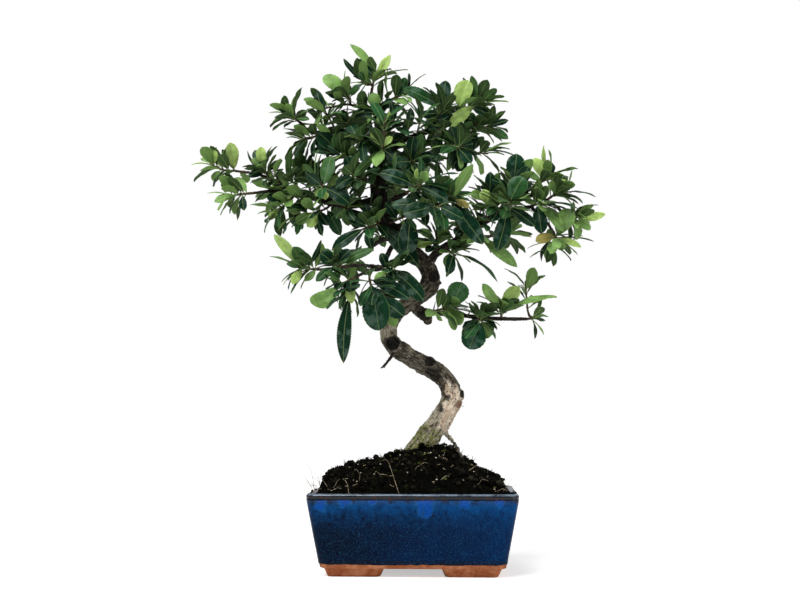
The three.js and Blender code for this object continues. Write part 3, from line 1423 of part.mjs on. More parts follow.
SPRAYS.forEach((spray, owner) => {
  for (const twig of spray.twigs) placeLine(twig, () => TWIG_ROOT_RADIUS, owner);
});
const leavesOf = SPRAYS.map(() => []);
const keep = (leaf) => {
  const fitted = placeLeaf(leaf);
  if (fitted) leavesOf[leaf.owner].push(fitted);
};
SPRAYS.forEach((spray, owner) => spray.leaves.forEach((row) => keep(listedLeaf(spray, owner, row))));
SPRAYS.forEach((spray, owner) => growLeaves(spray, owner).forEach(keep));

function makeSpray(spray, owner) {
  const pieces = spray.twigs.map((whole) => {
    const line = clearOfWood(whole);
    const last = line.length - 1;
    const stations = line.map((point, i) => [
      ...point,
      THREE.MathUtils.lerp(TWIG_ROOT_RADIUS, TWIG_TIP_RADIUS, i / last),
    ]);
    return tube(stations, TWIG_SIDES);
  });
  for (const leaf of leavesOf[owner]) pieces.push(bladeSolid(leaf));
  return Manifold.union(pieces);
}

// The finished group
const bonsai = new THREE.Group();
bonsai.name = 'firethorn_bonsai';
bonsai.position.set(...POT_OFFSET);
bonsai.add(meshOf('pot', makePot(), GLAZE));
bonsai.add(meshOf('drain_mesh_1', makeDrainMesh(-1), PLASTIC));
bonsai.add(meshOf('drain_mesh_2', makeDrainMesh(1), PLASTIC));
bonsai.add(meshOf('soil', makeSoil().subtract(makeWood(GAP)), PEAT));
bonsai.add(meshOf('trunk', wood, BARK));
SPRAYS.forEach((spray, owner) => {
  bonsai.add(meshOf(spray.name, makeSpray(spray, owner), FOLIAGE));
});
export default bonsai;
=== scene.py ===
"""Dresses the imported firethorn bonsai: glaze, peat, bark, and a fine leaf for every coarse one.

Sizes in the tables are millimetres from the middle of the pot's underside, +Z up, +X to the right
and +Y away from the viewer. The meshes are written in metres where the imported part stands.
"""
import math
import random

import bmesh
import bpy
import numpy as np
from bpy.props import FloatProperty, FloatVectorProperty, IntProperty, PointerProperty
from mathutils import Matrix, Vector, noise


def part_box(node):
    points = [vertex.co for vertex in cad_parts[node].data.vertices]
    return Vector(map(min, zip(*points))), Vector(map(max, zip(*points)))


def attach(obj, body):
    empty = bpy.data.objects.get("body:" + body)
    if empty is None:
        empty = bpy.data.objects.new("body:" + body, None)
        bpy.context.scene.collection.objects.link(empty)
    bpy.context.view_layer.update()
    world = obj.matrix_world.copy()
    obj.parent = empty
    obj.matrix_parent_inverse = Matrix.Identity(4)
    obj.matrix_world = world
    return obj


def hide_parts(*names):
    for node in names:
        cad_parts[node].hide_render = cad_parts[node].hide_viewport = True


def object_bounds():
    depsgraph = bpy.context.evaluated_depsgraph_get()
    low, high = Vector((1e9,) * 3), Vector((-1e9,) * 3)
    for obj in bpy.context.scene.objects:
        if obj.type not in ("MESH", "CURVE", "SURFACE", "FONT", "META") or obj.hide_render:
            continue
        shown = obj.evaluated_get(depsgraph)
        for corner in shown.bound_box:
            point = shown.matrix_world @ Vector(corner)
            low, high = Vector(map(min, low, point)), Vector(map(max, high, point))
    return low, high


bl_info = {
    "name": "Firethorn Bonsai",
    "version": (1, 0, 0),
    "blender": (4, 5, 0),
    "location": "3D View > Sidebar > Bonsai",
    "description": "Glazed pot, peat, bark and leaves of a small firethorn tree",
    "category": "Add Mesh",
}

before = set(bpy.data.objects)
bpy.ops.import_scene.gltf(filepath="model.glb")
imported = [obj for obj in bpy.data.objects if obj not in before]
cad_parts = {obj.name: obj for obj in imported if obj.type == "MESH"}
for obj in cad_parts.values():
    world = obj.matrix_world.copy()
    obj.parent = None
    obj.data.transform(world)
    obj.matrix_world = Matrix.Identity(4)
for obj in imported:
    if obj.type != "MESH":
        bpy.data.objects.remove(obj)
CAD_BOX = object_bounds()
POT_LOW, POT_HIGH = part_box("pot")
MM = 0.001
# The middle of the pot's underside, in millimetres
ORIGIN = np.array([(POT_LOW.x + POT_HIGH.x) / 2, (POT_LOW.y + POT_HIGH.y) / 2, POT_LOW.z]) / MM

# Wood: each limb is a row of (x, y, z, radius) from its root to its end
TRUNK = [
    (-9, 1, 60, 10.5), (-7, 1, 70, 10.2), (-3.6, 0, 78, 9.4), (2.6, -1, 87, 8.6), (10.5, -2, 97.4, 8.3),
    (18.8, -3, 108, 7.8), (25.2, -3, 118.5, 7.5), (28, -2.6, 126.5, 7.7), (26.6, -2, 133.5, 7.2),
    (21.4, -1, 141.4, 6.9), (11.6, 0, 148.6, 6.8), (-2, 0, 156, 6.7), (-12.6, 0, 162.6, 6.9),
    (-18.4, 0, 169.4, 6.3), (-19.6, 0, 176, 6), (-17.6, 1, 184, 5.9), (-12, 2, 191.5, 6),
    (-3, 3.4, 198.4, 6.2), (6.6, 4, 205.4, 6.6), (11.8, 3.4, 213.4, 7.2), (10.4, 2.4, 222.4, 6.5),
    (4, 1, 230.4, 5.8), (-5, 0, 239, 5.6), (-13, -1, 247, 5.7), (-20, -1, 256, 6), (-24.4, 0, 267, 6.4),
    (-26.8, 0, 279.4, 6), (-27.6, 0, 292.4, 5.2), (-26.2, 0, 306.4, 4.3), (-25.6, 0, 321.6, 3.4),
    (-28.4, 0, 337.4, 2.6), (-32, 0, 350, 2), (-33, 0, 359.6, 1.6),
]
LIMBS = [
    [(-6, 3.6, 198.6, 4.4), (3, 0, 191, 4.2), (11.2, -4, 182.4, 3.5)],
    [(4, -0.6, 190.6, 2.2), (16, -2, 189, 1.9), (35, -4, 187, 1.7), (52, -6, 184.6, 1.6),
     (71, -6, 183.8, 1.4), (84, -6, 183.7, 1.2)],
    [(9, 1, 224, 3.6), (18, -6, 234.5, 3.2), (40, -12, 247, 2.8), (53, -16, 255.5, 2.4),
     (68, -20, 261.4, 2)],
    [(66, -19.4, 260.6, 1.6), (80, -19.4, 264.4, 1.5), (88, -18, 266.5, 1.3)],
    [(52, -15.6, 255, 2), (68, -10, 268, 1.7), (84, -8, 279, 1.4), (92, -9, 284, 1.2)],
    [(83, -8, 278, 1.3), (100, -10, 272, 1.2), (112, -12, 262, 1)],
    [(87, -18.2, 266, 1.2), (97, -20, 255.4, 1.1), (103.6, -20, 246.4, 1)],
    [(-12, -1, 246, 2.2), (-18, -8, 236, 1.9), (-21, -13, 228, 1.7), (-24, -20, 220.5, 1.5),
     (-33, -27, 218.5, 1.2)],
    [(-32, -26.4, 218.4, 1.2), (-43, -33, 212, 1)],
    [(-23.6, -19.4, 221, 1.3), (-38, -20, 223, 1.2), (-52, -22, 221.5, 1.1), (-68.5, -26, 219, 0.9)],
    [(-25, 0, 276, 3.6), (-52, 1, 272, 3), (-78, -3, 278, 2.4), (-94, -4, 281, 2)],
    [(-93, -4, 280.6, 1.7), (-105, -2, 289, 1.4), (-117, 0, 295.5, 1.2), (-128, 0, 298, 1)],
    [(-93, -4, 280.8, 1.4), (-108, -8, 281.5, 1.2), (-122, -9, 280, 1)],
    [(-26, 0, 317, 2.8), (-40, 0, 325, 2.3), (-53, 0, 329, 2), (-78, -4, 328, 1.5), (-87, -5, 335, 1.2)],
    [(-30, 0, 344, 1.7), (-43.5, 0, 348.5, 1.4)],
    [(-26.5, 0, 295, 2), (-40, -5, 302, 1.4)],
    [(-26, 0, 306, 2.5), (-11, 0, 319.5, 2), (8.5, -6, 326.5, 1.7), (16, -7, 333, 1.4)],
    [(8, -5.8, 326, 1.5), (24, -3, 332, 1.3), (38, -4, 341, 1)],
    [(-27, 0, 293, 2.7), (-5, 4, 305, 2.2), (20, 3, 316, 1.8), (40, 1, 326, 1.3)],
    [(-25, -2, 268, 2.2), (-14, -18, 273, 1.7), (-4, -30, 275, 1.3)],
    [(-14.6, -17, 273, 1.4), (0, -32, 266, 1.2)],
    [(-16, -1, 252, 2), (-2, -14, 259, 1.5), (12, -24, 265, 1.2)],
    [(-26, 1, 271, 2.6), (-34, 22, 277, 2), (-46, 40, 280, 1.4)],
    [(-26, 1, 284, 2.4), (-14, 22, 291, 1.9), (2, 40, 292, 1.3)],
    [(-27, 1, 304, 2.1), (-33, 18, 315, 1.6), (-40, 32, 324, 1.2)],
    [(-14, 0, 248, 2.2), (-28, 18, 246, 1.7), (-42, 34, 239, 1.2)],
    [(28, -9, 240.4, 2), (44, 8, 247, 1.6), (58, 26, 251, 1.2)],
    [(-26, 1, 311, 1.8), (-12, 14, 325, 1.4), (2, 26, 333, 1.1)],
    [(-62, -0.6, 274.6, 2), (-76, 16, 280, 1.5), (-94, 28, 285, 1.2)],
]
SPURS = [
    [(-15, -4, 158.6, 1.3), (-20.4, -7, 151.4, 0.9), (-24.6, -8, 147.4, 0.5)],
    [(-20.4, -7, 151.4, 0.8), (-22.4, -9.4, 147.6, 0.5)],
    [(33, -2, 121, 0.9), (37.4, -3, 118.4, 0.5)],
    [(15, -1, 213, 2.6), (20.6, -1, 211.4, 1.6)],
]
ROOTS = [
    [(20, -1.6, 104, 3), (24.6, -2, 97.4, 2), (30, -2.4, 91, 1.5), (36, -3, 80, 1.3)],
    [(-6, -6, 80, 4), (-15, -9, 75, 2.6), (-24, -10, 68, 1.8)],
    [(2, -5, 82, 4.2), (6, -13, 76, 3), (8, -20, 70, 2)],
    [(-2, 5, 82, 4.2), (-8, 13, 76, 3), (-14, 20, 70, 2)],
]
SCARS = [
    ((-15.2, -5.4, 165.4), (-0.25, -1, 0.15), 5.4, 2.4),
    ((11.4, -5.6, 151.2), (0.2, -1, 0.4), 4, 2),
    ((33, -4.4, 127.6), (0.8, -1, 0.1), 3.4, 1.6),
    ((13.6, -3, 216), (0.5, -1, -0.1), 4.6, 1.8),
]
# Soil mound's ridge as seen from the front: (place along, height)
SOIL_RIDGE = [
    (-70, 60), (-67.5, 68), (-62, 71.5), (-48, 75), (-22, 80.5), (-8, 86), (8, 89), (22, 88.5),
    (33, 83), (47, 72), (62, 66), (70, 59),
]
# Sprays: name, (number, length) of the leaves that a rule adds, twigs, and listed leaves, each
# (place along the twig, reach in x, y and z, width, tone, way the upper side faces, arch). A leaf
# that faces the front and arches by 1 leaves out the last two, and one that arches by 1 the last
SPRAYS = [
    ("spray_top", (0, 15), [
        [(-33, 0, 358), (-30.7, -2, 368.5), (-28.3, -3, 374)], [(-31.6, -1.2, 364.4), (-38.6, -4.4, 366)]], [
        (0.97, -20, -3, 23, 6.5, 1), (0.9, -5, -6, 11, 6, 3, "front", 0.5), (0.5, 13, -4, 21, 7.5, 0),
        (0.55, 22, -6, 17, 6, 2, "up", 2), (0.75, -9, -5, 8, 6, 3, "front", 0.5),
        (0.25, 7, -7, 4, 5, 3, "up"), (0.7, 7, 13, 12, 7, 2, "back"), (0.4, -10, 11, 10, 6.5, 2, "back"),
        (1.95, -16, -2, 18, 5.5, 3, "left"), (1.8, -4, -8, 6, 5, 2, "front", 0.5),
        (1.6, -13, 5, -2, 7, 2, "up")]),
    ("spray_top_right", (1, 20), [[(-31, 0, 347), (-20, -3, 352), (-7, -5, 356)]], [
        (0.25, 9, -9, -5, 10, 3), (0.5, 19, -6, -4, 5, 1, "up"), (0.97, 8, -3, 3, 4.5, 2, "up", 0.5),
        (0.75, 4, -6, 9, 6, 3)]),
    ("spray_leader_front", (0, 20), [[(-28.4, 0, 338), (-27.6, -6, 339.4), (-28, -11, 340.4)]], [
        (0.95, -3, -3, 15, 9.5, 1), (0.85, 13, -4, 9, 10.5, 3), (0.9, -16, -5, -2, 8.5, 3, "front", 2),
        (0.7, 9, -5, -13, 8, 2)]),
    ("spray_left_high_tip", (0, 17), [[(-86, -5, 334.6), (-91, -6, 338), (-95, -6, 341)]], [
        (0.97, -16, -2, 2, 5, 1, "up"), (0.85, -8, -8, 6, 6.5, 2, "front", 0.5),
        (0.3, -10, -5, -6, 6, 3, "up"), (0.7, 20, -6, 2, 6.5, 3, "up", 2), (0.45, 11, -8, -2, 5, 2),
        (0.5, 6, 12, 9, 7, 2, "back")]),
    ("spray_left_high", (2, 20), [
        [(-42.6, 0, 348.2), (-50, -1, 349.8), (-58, -3, 348.5), (-70, -4, 346)],
        [(-49, -0.9, 349.6), (-49, -2.4, 353.6), (-51, -3.4, 357)]], [
        (0.93, -16, -3, 7, 6.5, 1), (0.85, -9, -7, 7, 6, 3), (0.7, -7, 10, 5, 7, 2, "up"),
        (1.9, -18, -4, 15, 12, 1, "front", 1.5), (1.75, -11, 5, 11, 7, 3, "back"),
        (1.5, -13, -9, -3, 6.5, 3, "up"), (1.6, 8, -6, 9, 6, 2)]),
    ("spray_left_high_under", (2, 20), [[(-70, -3, 328.4), (-76, -8, 323), (-85, -9, 320)]], [
        (0.95, -12, -3, 2, 5.5, 2, "up"), (0.7, -8, -5, -10, 7, 2), (0.4, 8, -6, -12, 8, 3)]),
    ("spray_left_shoulder", (2, 20), [[(-39, -4.8, 301.6), (-50, -10, 306), (-59, -13, 308.6)]], [
        (0.9, -14, -6, 16, 12.5, 3), (0.6, -5, -4, 16, 9, 2), (0.97, -17, -6, 1, 6, 3, "up"),
        (0.78, -9, -9, 6, 6.5, 3), (0.4, 11, -7, 7, 6, 1, "up"), (0.5, -2, -8, -15, 8, 3)]),
    ("spray_left_tip", (0, 17), [
        [(-127, 0, 297.8), (-137, 0, 299), (-147, -2, 299.6), (-155, -2, 303.6)]], [
        (0.98, -16, -2, 1, 5, 1, "up"), (0.93, -1, -4, 12, 8.5, 1, "front", 0.5),
        (0.82, 8, -3, 16, 5.5, 3, "right"), (0.38, -2, -5, 21, 10, 1),
        (0.7, 0, -6, 9, 5.5, 1, "front", 0.5), (0.72, -6, -4, -9, 6, 3), (0.5, -2, -6, -18, 7.5, 1),
        (0.25, 4, 14, -5, 7.5, 2, "up")]),
    ("spray_left_tip_low", (0, 20), [[(-121, -9, 280), (-130, -10, 279), (-138, -10, 278)]], [
        (0.97, -18, -4, 2, 5, 2, "up"), (0.7, -17, -5, -6, 7, 3), (0.5, 2, -5, -13, 6, 3)]),
    ("spray_left_arm_upper", (0, 20), [[(-111, -1, 292.2), (-112, -6, 296), (-114, -9, 299)]], [
        (0.95, -2, -4, 16, 8, 1), (0.85, -9, -4, 8, 6, 3), (0.6, 12, -4, 9, 6, 3),
        (0.5, 12, -2, 2, 6, 3, "up"), (0.7, -12, -6, -4, 7, 3)]),
    ("spray_left_arm_low", (1, 20), [[(-90, -4, 280), (-96, -8, 272), (-104, -9, 264)]], [
        (0.97, -14, -3, 0, 6, 1, "up"), (0.3, -12, -5, -1, 8.5, 3), (0.5, -14, -6, 5, 8, 3),
        (0.8, -8, -5, -8, 6, 0), (0.6, 10, -5, -7, 6, 0)]),
    ("spray_left_arm_inner", (3, 20), [
        [(-62, -0.6, 274.4), (-66, -8, 268), (-75, -12, 264), (-88, -11, 262)]], [
        (0.9, -3, -3, -15, 5, 2), (0.6, -13, -6, -9, 9, 1), (0.75, -15, -6, 5, 7, 2, "up"),
        (0.4, -13, -6, -12, 9, 0), (0.5, 8, -8, -12, 8, 3)]),
    ("spray_left_rosette", (0, 20), [
        [(-58, 0, 273.2), (-64, -12, 279), (-68, -22, 283)], [(-68, -21, 282.6), (-73, -20, 289)]], [
        (0.97, -31, -4, 1, 6, 2, "up", 2), (0.9, 6, -5, 22, 11, 2), (0.85, 19, -5, -12, 11.5, 3),
        (0.93, -5, -4, -8, 5, 1, "front", 0.5), (0.8, 1, -6, -9, 5, 0, "front", 0.5),
        (0.7, 9, -4, 10, 6.5, 1), (0.85, -13, -8, 10, 8, 3)]),
    ("spray_left_arm_top", (4, 20), [[(-78, -3, 278), (-81, 3, 289), (-84, 5, 299)]], [
        (0.9, -10, -8, 10, 8, 3), (0.7, 10, -6, 9, 8, 3)]),
    ("spray_front_upper", (0, 20), [[(-5, -29.6, 275), (1, -36, 277.4), (5.6, -40, 279)]], [
        (0.75, -26, -4, 10, 11.5, 3, "front", 2), (0.95, 28, -4, 9, 7.5, 3, "up", 2),
        (0.97, -2, -4, 11, 5, 0, "front", 0.5), (0.9, 6, -6, 9, 8, 1, "front", 0.5),
        (0.85, 22, -5, -12, 11.5, 3)]),
    ("spray_front_low", (0, 18), [[(-1, -31, 266.4), (11, -40, 263), (19.4, -46, 262)]], [
        (0.93, -24, -5, -6, 13.5, 3, "front", 1.5), (0.6, -26, -2, 1, 10, 3, "front", 2),
        (0.97, 0, -3, -15, 6, 2), (0.98, 17, -4, -9, 10.5, 3), (0.9, 7, 4, -13, 5, 1, "under")]),
    ("spray_front_right", (0, 18), [[(11, -23.4, 264.6), (22, -30, 268), (30, -34, 269.4)]], [
        (0.95, 15, -4, 25, 8.5, 1, "under"), (0.6, -14, -4, 7, 5, 1, "up"), (0.97, 17, -3, 3, 5, 1, "up"),
        (0.9, 13, -5, -6, 6, 4), (0.85, 24, -5, -33, 13.5, 3, "front", 2), (0.75, 17, 4, -3, 9, 3, "up")]),
    ("spray_trunk_front", (0, 19), [[(-21, -3, 256), (-9, -15, 259), (-1.4, -19, 260)]], [
        (0.95, -2, -3, -29, 15, 3, "front", 2), (0.7, 5, 4, -20, 8, 1, "under"), (0.5, -8, -10, 11, 8, 3)]),
    ("spray_trunk_left", (0, 20), [[(-23, 0, 260), (-28, -11, 255), (-37, -16, 251)]], [
        (0.45, 31, -8, -33, 13.5, 3, "front", 2), (0.97, -24, -5, -16, 9.5, 3, "front", 1.5),
        (0.85, -13, -6, 5, 7, 3), (0.7, -4, -9, 14, 8, 3), (0.9, 4, -6, -16, 7, 3)]),
    ("spray_centre_high", (2, 20), [
        [(-26, 0, 308), (-24, -12, 309), (-22, -24, 310.6)], [(-22.2, -23, 310.4), (-21, -25, 331)]], [
        (0.75, -8, -6, 16, 10.5, 3), (0.93, -9, -6, 11, 6.5, 0, "front", 0.5),
        (0.97, 7, -5, 7, 5.5, 0, "front", 0.5), (0.9, -22, -4, -22, 7, 2, "under", 1.5),
        (0.85, 13, -5, -13, 9, 3), (1.6, -5, -4, 9, 4.5, 1, "left", 0.5),
        (1.9, 4, -3, 8, 4, 0, "right", 0.5)]),
    ("spray_centre_right_high", (3, 20), [[(20, 3, 316), (28, -8, 313), (35, -20, 311.4)]], [
        (0.97, -22, -4, -1, 6, 1, "up"), (0.85, 10, -7, -13, 9, 3), (0.8, -4, -8, 14, 9, 3),
        (0.6, 15, -6, 2, 8, 3)]),
    ("spray_centre_fill", (3, 20), [[(-7, 3.4, 304.4), (-4, -10, 303), (0, -22, 300)]], [
        (0.95, 16, -6, 3, 10, 3), (0.9, -15, -7, -4, 9, 3), (0.8, 2, -7, 17, 9, 3)]),
    ("spray_centre_left", (3, 20), [[(-27, -1, 285), (-36, -13, 288), (-44, -21, 290)]], [
        (0.95, -14, -6, -9, 9, 3), (0.9, -8, -6, 14, 9, 3), (0.75, 15, -8, 6, 9, 3)]),
    ("spray_right_high_a", (2, 20), [[(15.4, -7, 332.4), (20, -9, 339), (23.4, -9, 345)]], [
        (0.9, -30, -5, 15, 11, 2, "front", 2), (0.75, 3, -5, 22, 10.5, 3), (0.6, -14, -6, -2, 8, 3),
        (0.85, -2, 12, 10, 8, 2, "back")]),
    ("spray_right_high_b", (1, 20), [[(25, -3, 332.4), (30, -8, 338), (34.4, -9, 343)]], [
        (0.95, 7, -4, 22, 14, 0, "front", 1.5), (0.7, -13, -7, -8, 8, 3), (0.8, 6, 11, 9, 8, 2, "back")]),
    ("spray_right_high_c", (1, 20), [[(37, -3.8, 340.2), (44, -6, 347), (50, -6, 347.4)]], [
        (0.8, -20, -9, -19, 9.5, 0, "front", 1.5), (0.9, -3, -4, 9, 5, 3, "front", 0.5),
        (0.96, 5, -3, 8, 4.5, 3, "front", 0.5), (0.97, 22, -4, 1, 9, 1, "up"), (0.5, 14, -7, -8, 7, 3)]),
    ("spray_right_high_d", (1, 20), [[(39, 1, 325.6), (50, -2, 330), (57, -3, 331)]], [
        (0.97, 15, -3, 4, 5, 3, "right"), (0.85, 17, -5, -10, 8, 2),
        (0.5, -10, -8, -23, 13.5, 3, "front", 1.5), (0.7, -24, -8, -6, 6.5, 3, "up", 1.5),
        (0.4, 8, 13, 4, 8, 3, "up")]),
    ("spray_right_middle", (1, 20), [[(22, 3, 317), (40, -5, 311), (54, -9, 308.6)]], [
        (0.97, 15, -4, -2, 6, 2, "up"), (0.8, 30, -4, -7, 7.5, 3, "up", 2), (0.7, 6, -7, 12, 8, 2),
        (0.6, -6, -8, -14, 9, 3)]),
    ("spray_right_rosette", (0, 17), [[(68, -20, 261.4), (70, -26, 265), (71, -29, 268)]], [
        (0.95, 10, -4, 18, 14.5, 2), (0.9, -8, -5, 8, 5, 1, "left", 0.5),
        (0.8, 15, -5, 7, 5.5, 1, "up", 0.5), (0.6, 19, -6, -15, 9, 3),
        (0.5, -8, -4, -32, 12.5, 3, "front", 2), (0.7, -9, -6, -7, 8.5, 2), (0.85, -12, -4, -2, 8, 2)]),
    ("spray_right_arm_in", (0, 16), [
        [(52, -15.6, 255), (54, -21, 259), (55, -25, 266)],
        [(53.7, -20.2, 258.4), (50, -21.4, 250), (48, -21, 243)]], [
        (0.95, -3, -4, 12, 8.5, 0), (0.7, -12, -4, -1, 5, 1, "up", 0.5), (0.75, 7, -5, 12, 7.5, 3),
        (1.95, 28, -5, -23, 9.5, 1, "front", 2), (1.8, -9, -5, -8, 6, 1)]),
    ("spray_right_end", (0, 20), [[(87, -18.2, 266.4), (91, -21, 267.4), (94, -23, 267)]], [
        (0.93, 29, -4, -3, 8.5, 3, "up", 2), (0.7, 27, 4, -6, 8, 3, "up", 2), (0.8, 17, -8, -21, 8, 1),
        (0.6, 3, -6, -22, 11, 3, "front", 1.5), (0.9, -3, -6, 12, 8, 2),
        (0.5, -9, -8, 3, 6, 2, "front", 0.5)]),
    ("spray_right_end_low", (0, 15), [
        [(103.2, -20, 247), (105.6, -20.4, 242)], [(104.4, -20, 244.6), (101.6, -21, 233.4)]], [
        (0.8, 11, -4, 20, 14, 2), (0.9, 27, -3, -2, 5.5, 3, "up"), (0.95, 17, -6, -7, 5.5, 1),
        (0.97, 4, -5, -9, 7.5, 2), (0.7, -15, -5, -4, 8.5, 4, "front", 1.5),
        (0.6, -5, 13, 4, 8, 2, "back")]),
    ("spray_right_far", (0, 17), [[(111.4, -12, 262.4), (117, -13, 258.4), (122, -14, 255.6)]], [
        (0.97, 20, -2, 5, 7, 1), (0.85, -4, -3, 13, 5.5, 3, "left"), (0.75, 11, -6, -8, 7, 2)]),
    ("spray_right_far_middle", (0, 20), [[(99, -10, 272.4), (105, -12, 276), (110.6, -13, 277.6)]], [
        (0.97, 25, -3, -2, 6.5, 3, "up", 1.5), (0.8, 4, 13, 2, 8, 3, "up"), (0.6, -3, -8, 9, 7, 3)]),
    ("spray_right_far_top", (0, 16), [[(91, -8.8, 283.6), (97, -10, 287), (102, -10, 290)]], [
        (0.9, -5, -2, 24, 5, 0, "left"), (0.97, 14, -3, 0, 6, 3, "up"), (0.8, 14, -6, -3, 6, 0, "up"),
        (0.6, -7, -5, 16, 9, 0), (0.5, -11, -6, 4, 6, 1)]),
    ("spray_right_arm_top", (1, 20), [[(68, -10, 268), (72, -15, 276), (75, -17, 283)]], [
        (0.95, 2, -5, 23, 14, 3, "front", 1.5), (0.8, 13, -5, 15, 10, 3), (0.7, -14, -6, 8, 7, 3),
        (0.85, -3, 13, 10, 9, 2, "back")]),
    ("spray_right_inner", (2, 20), [[(58, -13.4, 259.4), (57, -14, 268), (56, -14, 276)]], [
        (0.9, 1, -5, 18, 8, 3), (0.7, -14, -5, 6, 8, 3)]),
    ("spray_right_under_a", (0, 16), [[(24, -8, 238), (27, -11, 234), (30, -13, 231.4)]], [
        (0.95, 33, -4, -20, 7, 2, "up", 5), (0.7, 12, -4, 3, 4.5, 1, "up", 0.5), (0.6, -3, -7, -12, 6, 1)]),
    ("spray_trunk_right", (0, 16), [[(18, -6, 234.5), (17, -12, 239), (17, -16, 242)]], [
        (0.9, -14, -4, -4, 8.5, 0), (0.95, -13, -3, 8, 6.5, 1), (0.8, 9, -4, 9, 10, 1, "under")]),
    ("spray_low_left_big", (0, 18), [[(-32, -26.4, 218.6), (-31, -32, 208), (-25, -33, 198)]], [
        (0.35, 29, -7, -14, 11.5, 3, "front", 3), (0.5, 7, -7, -34, 20, 3, "front", 3),
        (0.97, 19, -4, -15, 13, 3, "front", 2), (0.95, 13, 5, -22, 11.5, 1, "under")]),
    ("spray_low_left_inner", (0, 17), [[(-24, -20, 220.6), (-18, -23, 218.6), (-14, -25, 218)]], [
        (0.9, 23, -6, -22, 13, 3, "front", 2), (0.7, -11, -6, -8, 6, 1), (0.5, -4, -8, 11, 7, 3)]),
    ("spray_low_left_main", (0, 16), [
        [(-42, -32.4, 212.6), (-47, -35, 209.6), (-53, -36, 207.4)],
        [(-46.4, -34.8, 210), (-45.4, -38, 199.4)]], [
        (1.95, -4, -4, -50, 10.5, 3, "front", 3), (1.3, 3, -5, -20, 6.5, 3, "left"),
        (0.45, 3, -8, -17, 7.5, 0), (0.97, -20, -8, -14, 14.5, 1, "front", -9),
        (0.3, 1, -8, -11, 11.5, 3), (0.8, -5, -7, -5, 5, 3, "front", 0.5),
        (0.7, -3, -5, -20, 6, 2, "right")]),
    ("spray_low_left_middle", (0, 16), [[(-50, -21.8, 221.6), (-54, -25, 222), (-57, -27, 222)]], [
        (0.95, -11, -4, 9, 10.5, 3), (0.9, -1, -3, 13, 5, 1, "left", 0.5), (0.8, -15, -6, -12, 7.5, 2),
        (0.6, 25, -4, 12, 7.5, 2, "front", 2), (0.85, 10, -5, 11, 8, 3), (0.5, -5, -5, -13, 6.5, 2)]),
    ("spray_low_left_tip", (0, 15), [[(-67.6, -25.8, 219.2), (-76, -27, 219.6), (-83, -28, 220.4)]], [
        (0.98, -22, -3, 9, 5, 1, "up"), (0.93, -20, -3, 25, 8, 0, "front", 1.5),
        (0.8, -12, -6, 3, 5.5, 2), (0.7, 12, -3, 20, 5.5, 3, "right"), (0.3, 6, -5, 18, 7, 1, "under"),
        (0.2, -8, -6, -9, 6, 3), (0.85, -7, -6, -12, 7, 0), (0.95, -13, -4, -12, 5, 2, "left"),
        (0.5, -17, -6, -15, 5, 2, "left")]),
    ("spray_low_right_in", (0, 15), [[(12, -1.4, 189.6), (16, -6.4, 190.4), (29.4, -9, 192)]], [
        (0.95, 7, -3, 19, 16.5, 2, "front", 1.5), (0.3, 26, -6, -9, 10.5, 1, "under", 6),
        (0.28, 5, -3, -8, 4, 1, "left", 0.3), (0.75, 8, -5, -17, 7, 1, "under"),
        (0.8, -5, 13, 8, 8, 2, "up")]),
    ("spray_low_right_middle", (0, 16), [[(50, -6, 184.8), (49, -10, 183.4), (48.6, -13, 183)]], [
        (0.95, -8, -4, -22, 18, 3, "front", 2), (0.8, -8, -3, 12, 5, 2, "left", 0.5),
        (0.85, 13, -5, -7, 7, 3, "up"), (0.7, 7, -3, -14, 12.5, 1, "under"),
        (0.5, -7, 5, -22, 9, 1, "under")]),
    ("spray_low_right_up", (0, 16), [[(65, -6, 184), (65, -8, 188), (64.4, -9, 191)]], [
        (0.95, -13, -4, 19, 8, 2), (0.9, 13, -5, 17, 11, 0), (0.6, 40, -4, 14, 7, 1, "up", 3),
        (0.7, -13, -5, 3, 5.5, 3, "up")]),
    ("spray_low_right_end", (0, 14), [
        [(83, -6, 183.8), (89, -7, 184)], [(87, -6.7, 184), (84.6, -7, 190), (83, -7, 210)]], [
        (0.3, -10, -8, -19, 16.5, 3, "front", 2), (0.25, -12, -5, 0, 6, 1, "up"),
        (0.95, 7, -4, -2, 6, 3, "up", 0.5), (0.8, 2, -4, -15, 5, 3, "right"),
        (1.55, 4, -2, 3, 3, 2, "up", 0.3), (1.85, -4, -2, 3, 3, 2, "up", 0.3), (0.6, 6, 12, 2, 7, 2, "up")]),
    ("spray_back_left", (4, 23), [[(-45, 39, 280), (-54, 48, 283), (-60, 56, 285)]], []),
    ("spray_back_left_arm", (4, 21), [[(-93, 27.4, 284.8), (-104, 34, 288), (-114, 38, 291)]], []),
    ("spray_back_low", (4, 23), [[(-41, 33.4, 239), (-49, 42, 235), (-55, 50, 232)]], []),
    ("spray_back_middle", (4, 23), [[(1, 39, 292), (10, 48, 290), (18, 55, 287)]], []),
    ("spray_back_right", (4, 23), [[(57, 25, 251), (66, 33.4, 253.4), (74, 42, 255)]], []),
    ("spray_back_high", (4, 21), [[(-39.4, 31, 323.4), (-45, 39, 331), (-48, 45, 337)]], []),
    ("spray_back_high_right", (4, 21), [[(1, 25, 332.6), (11, 33, 338), (18, 38, 342)]], []),
]
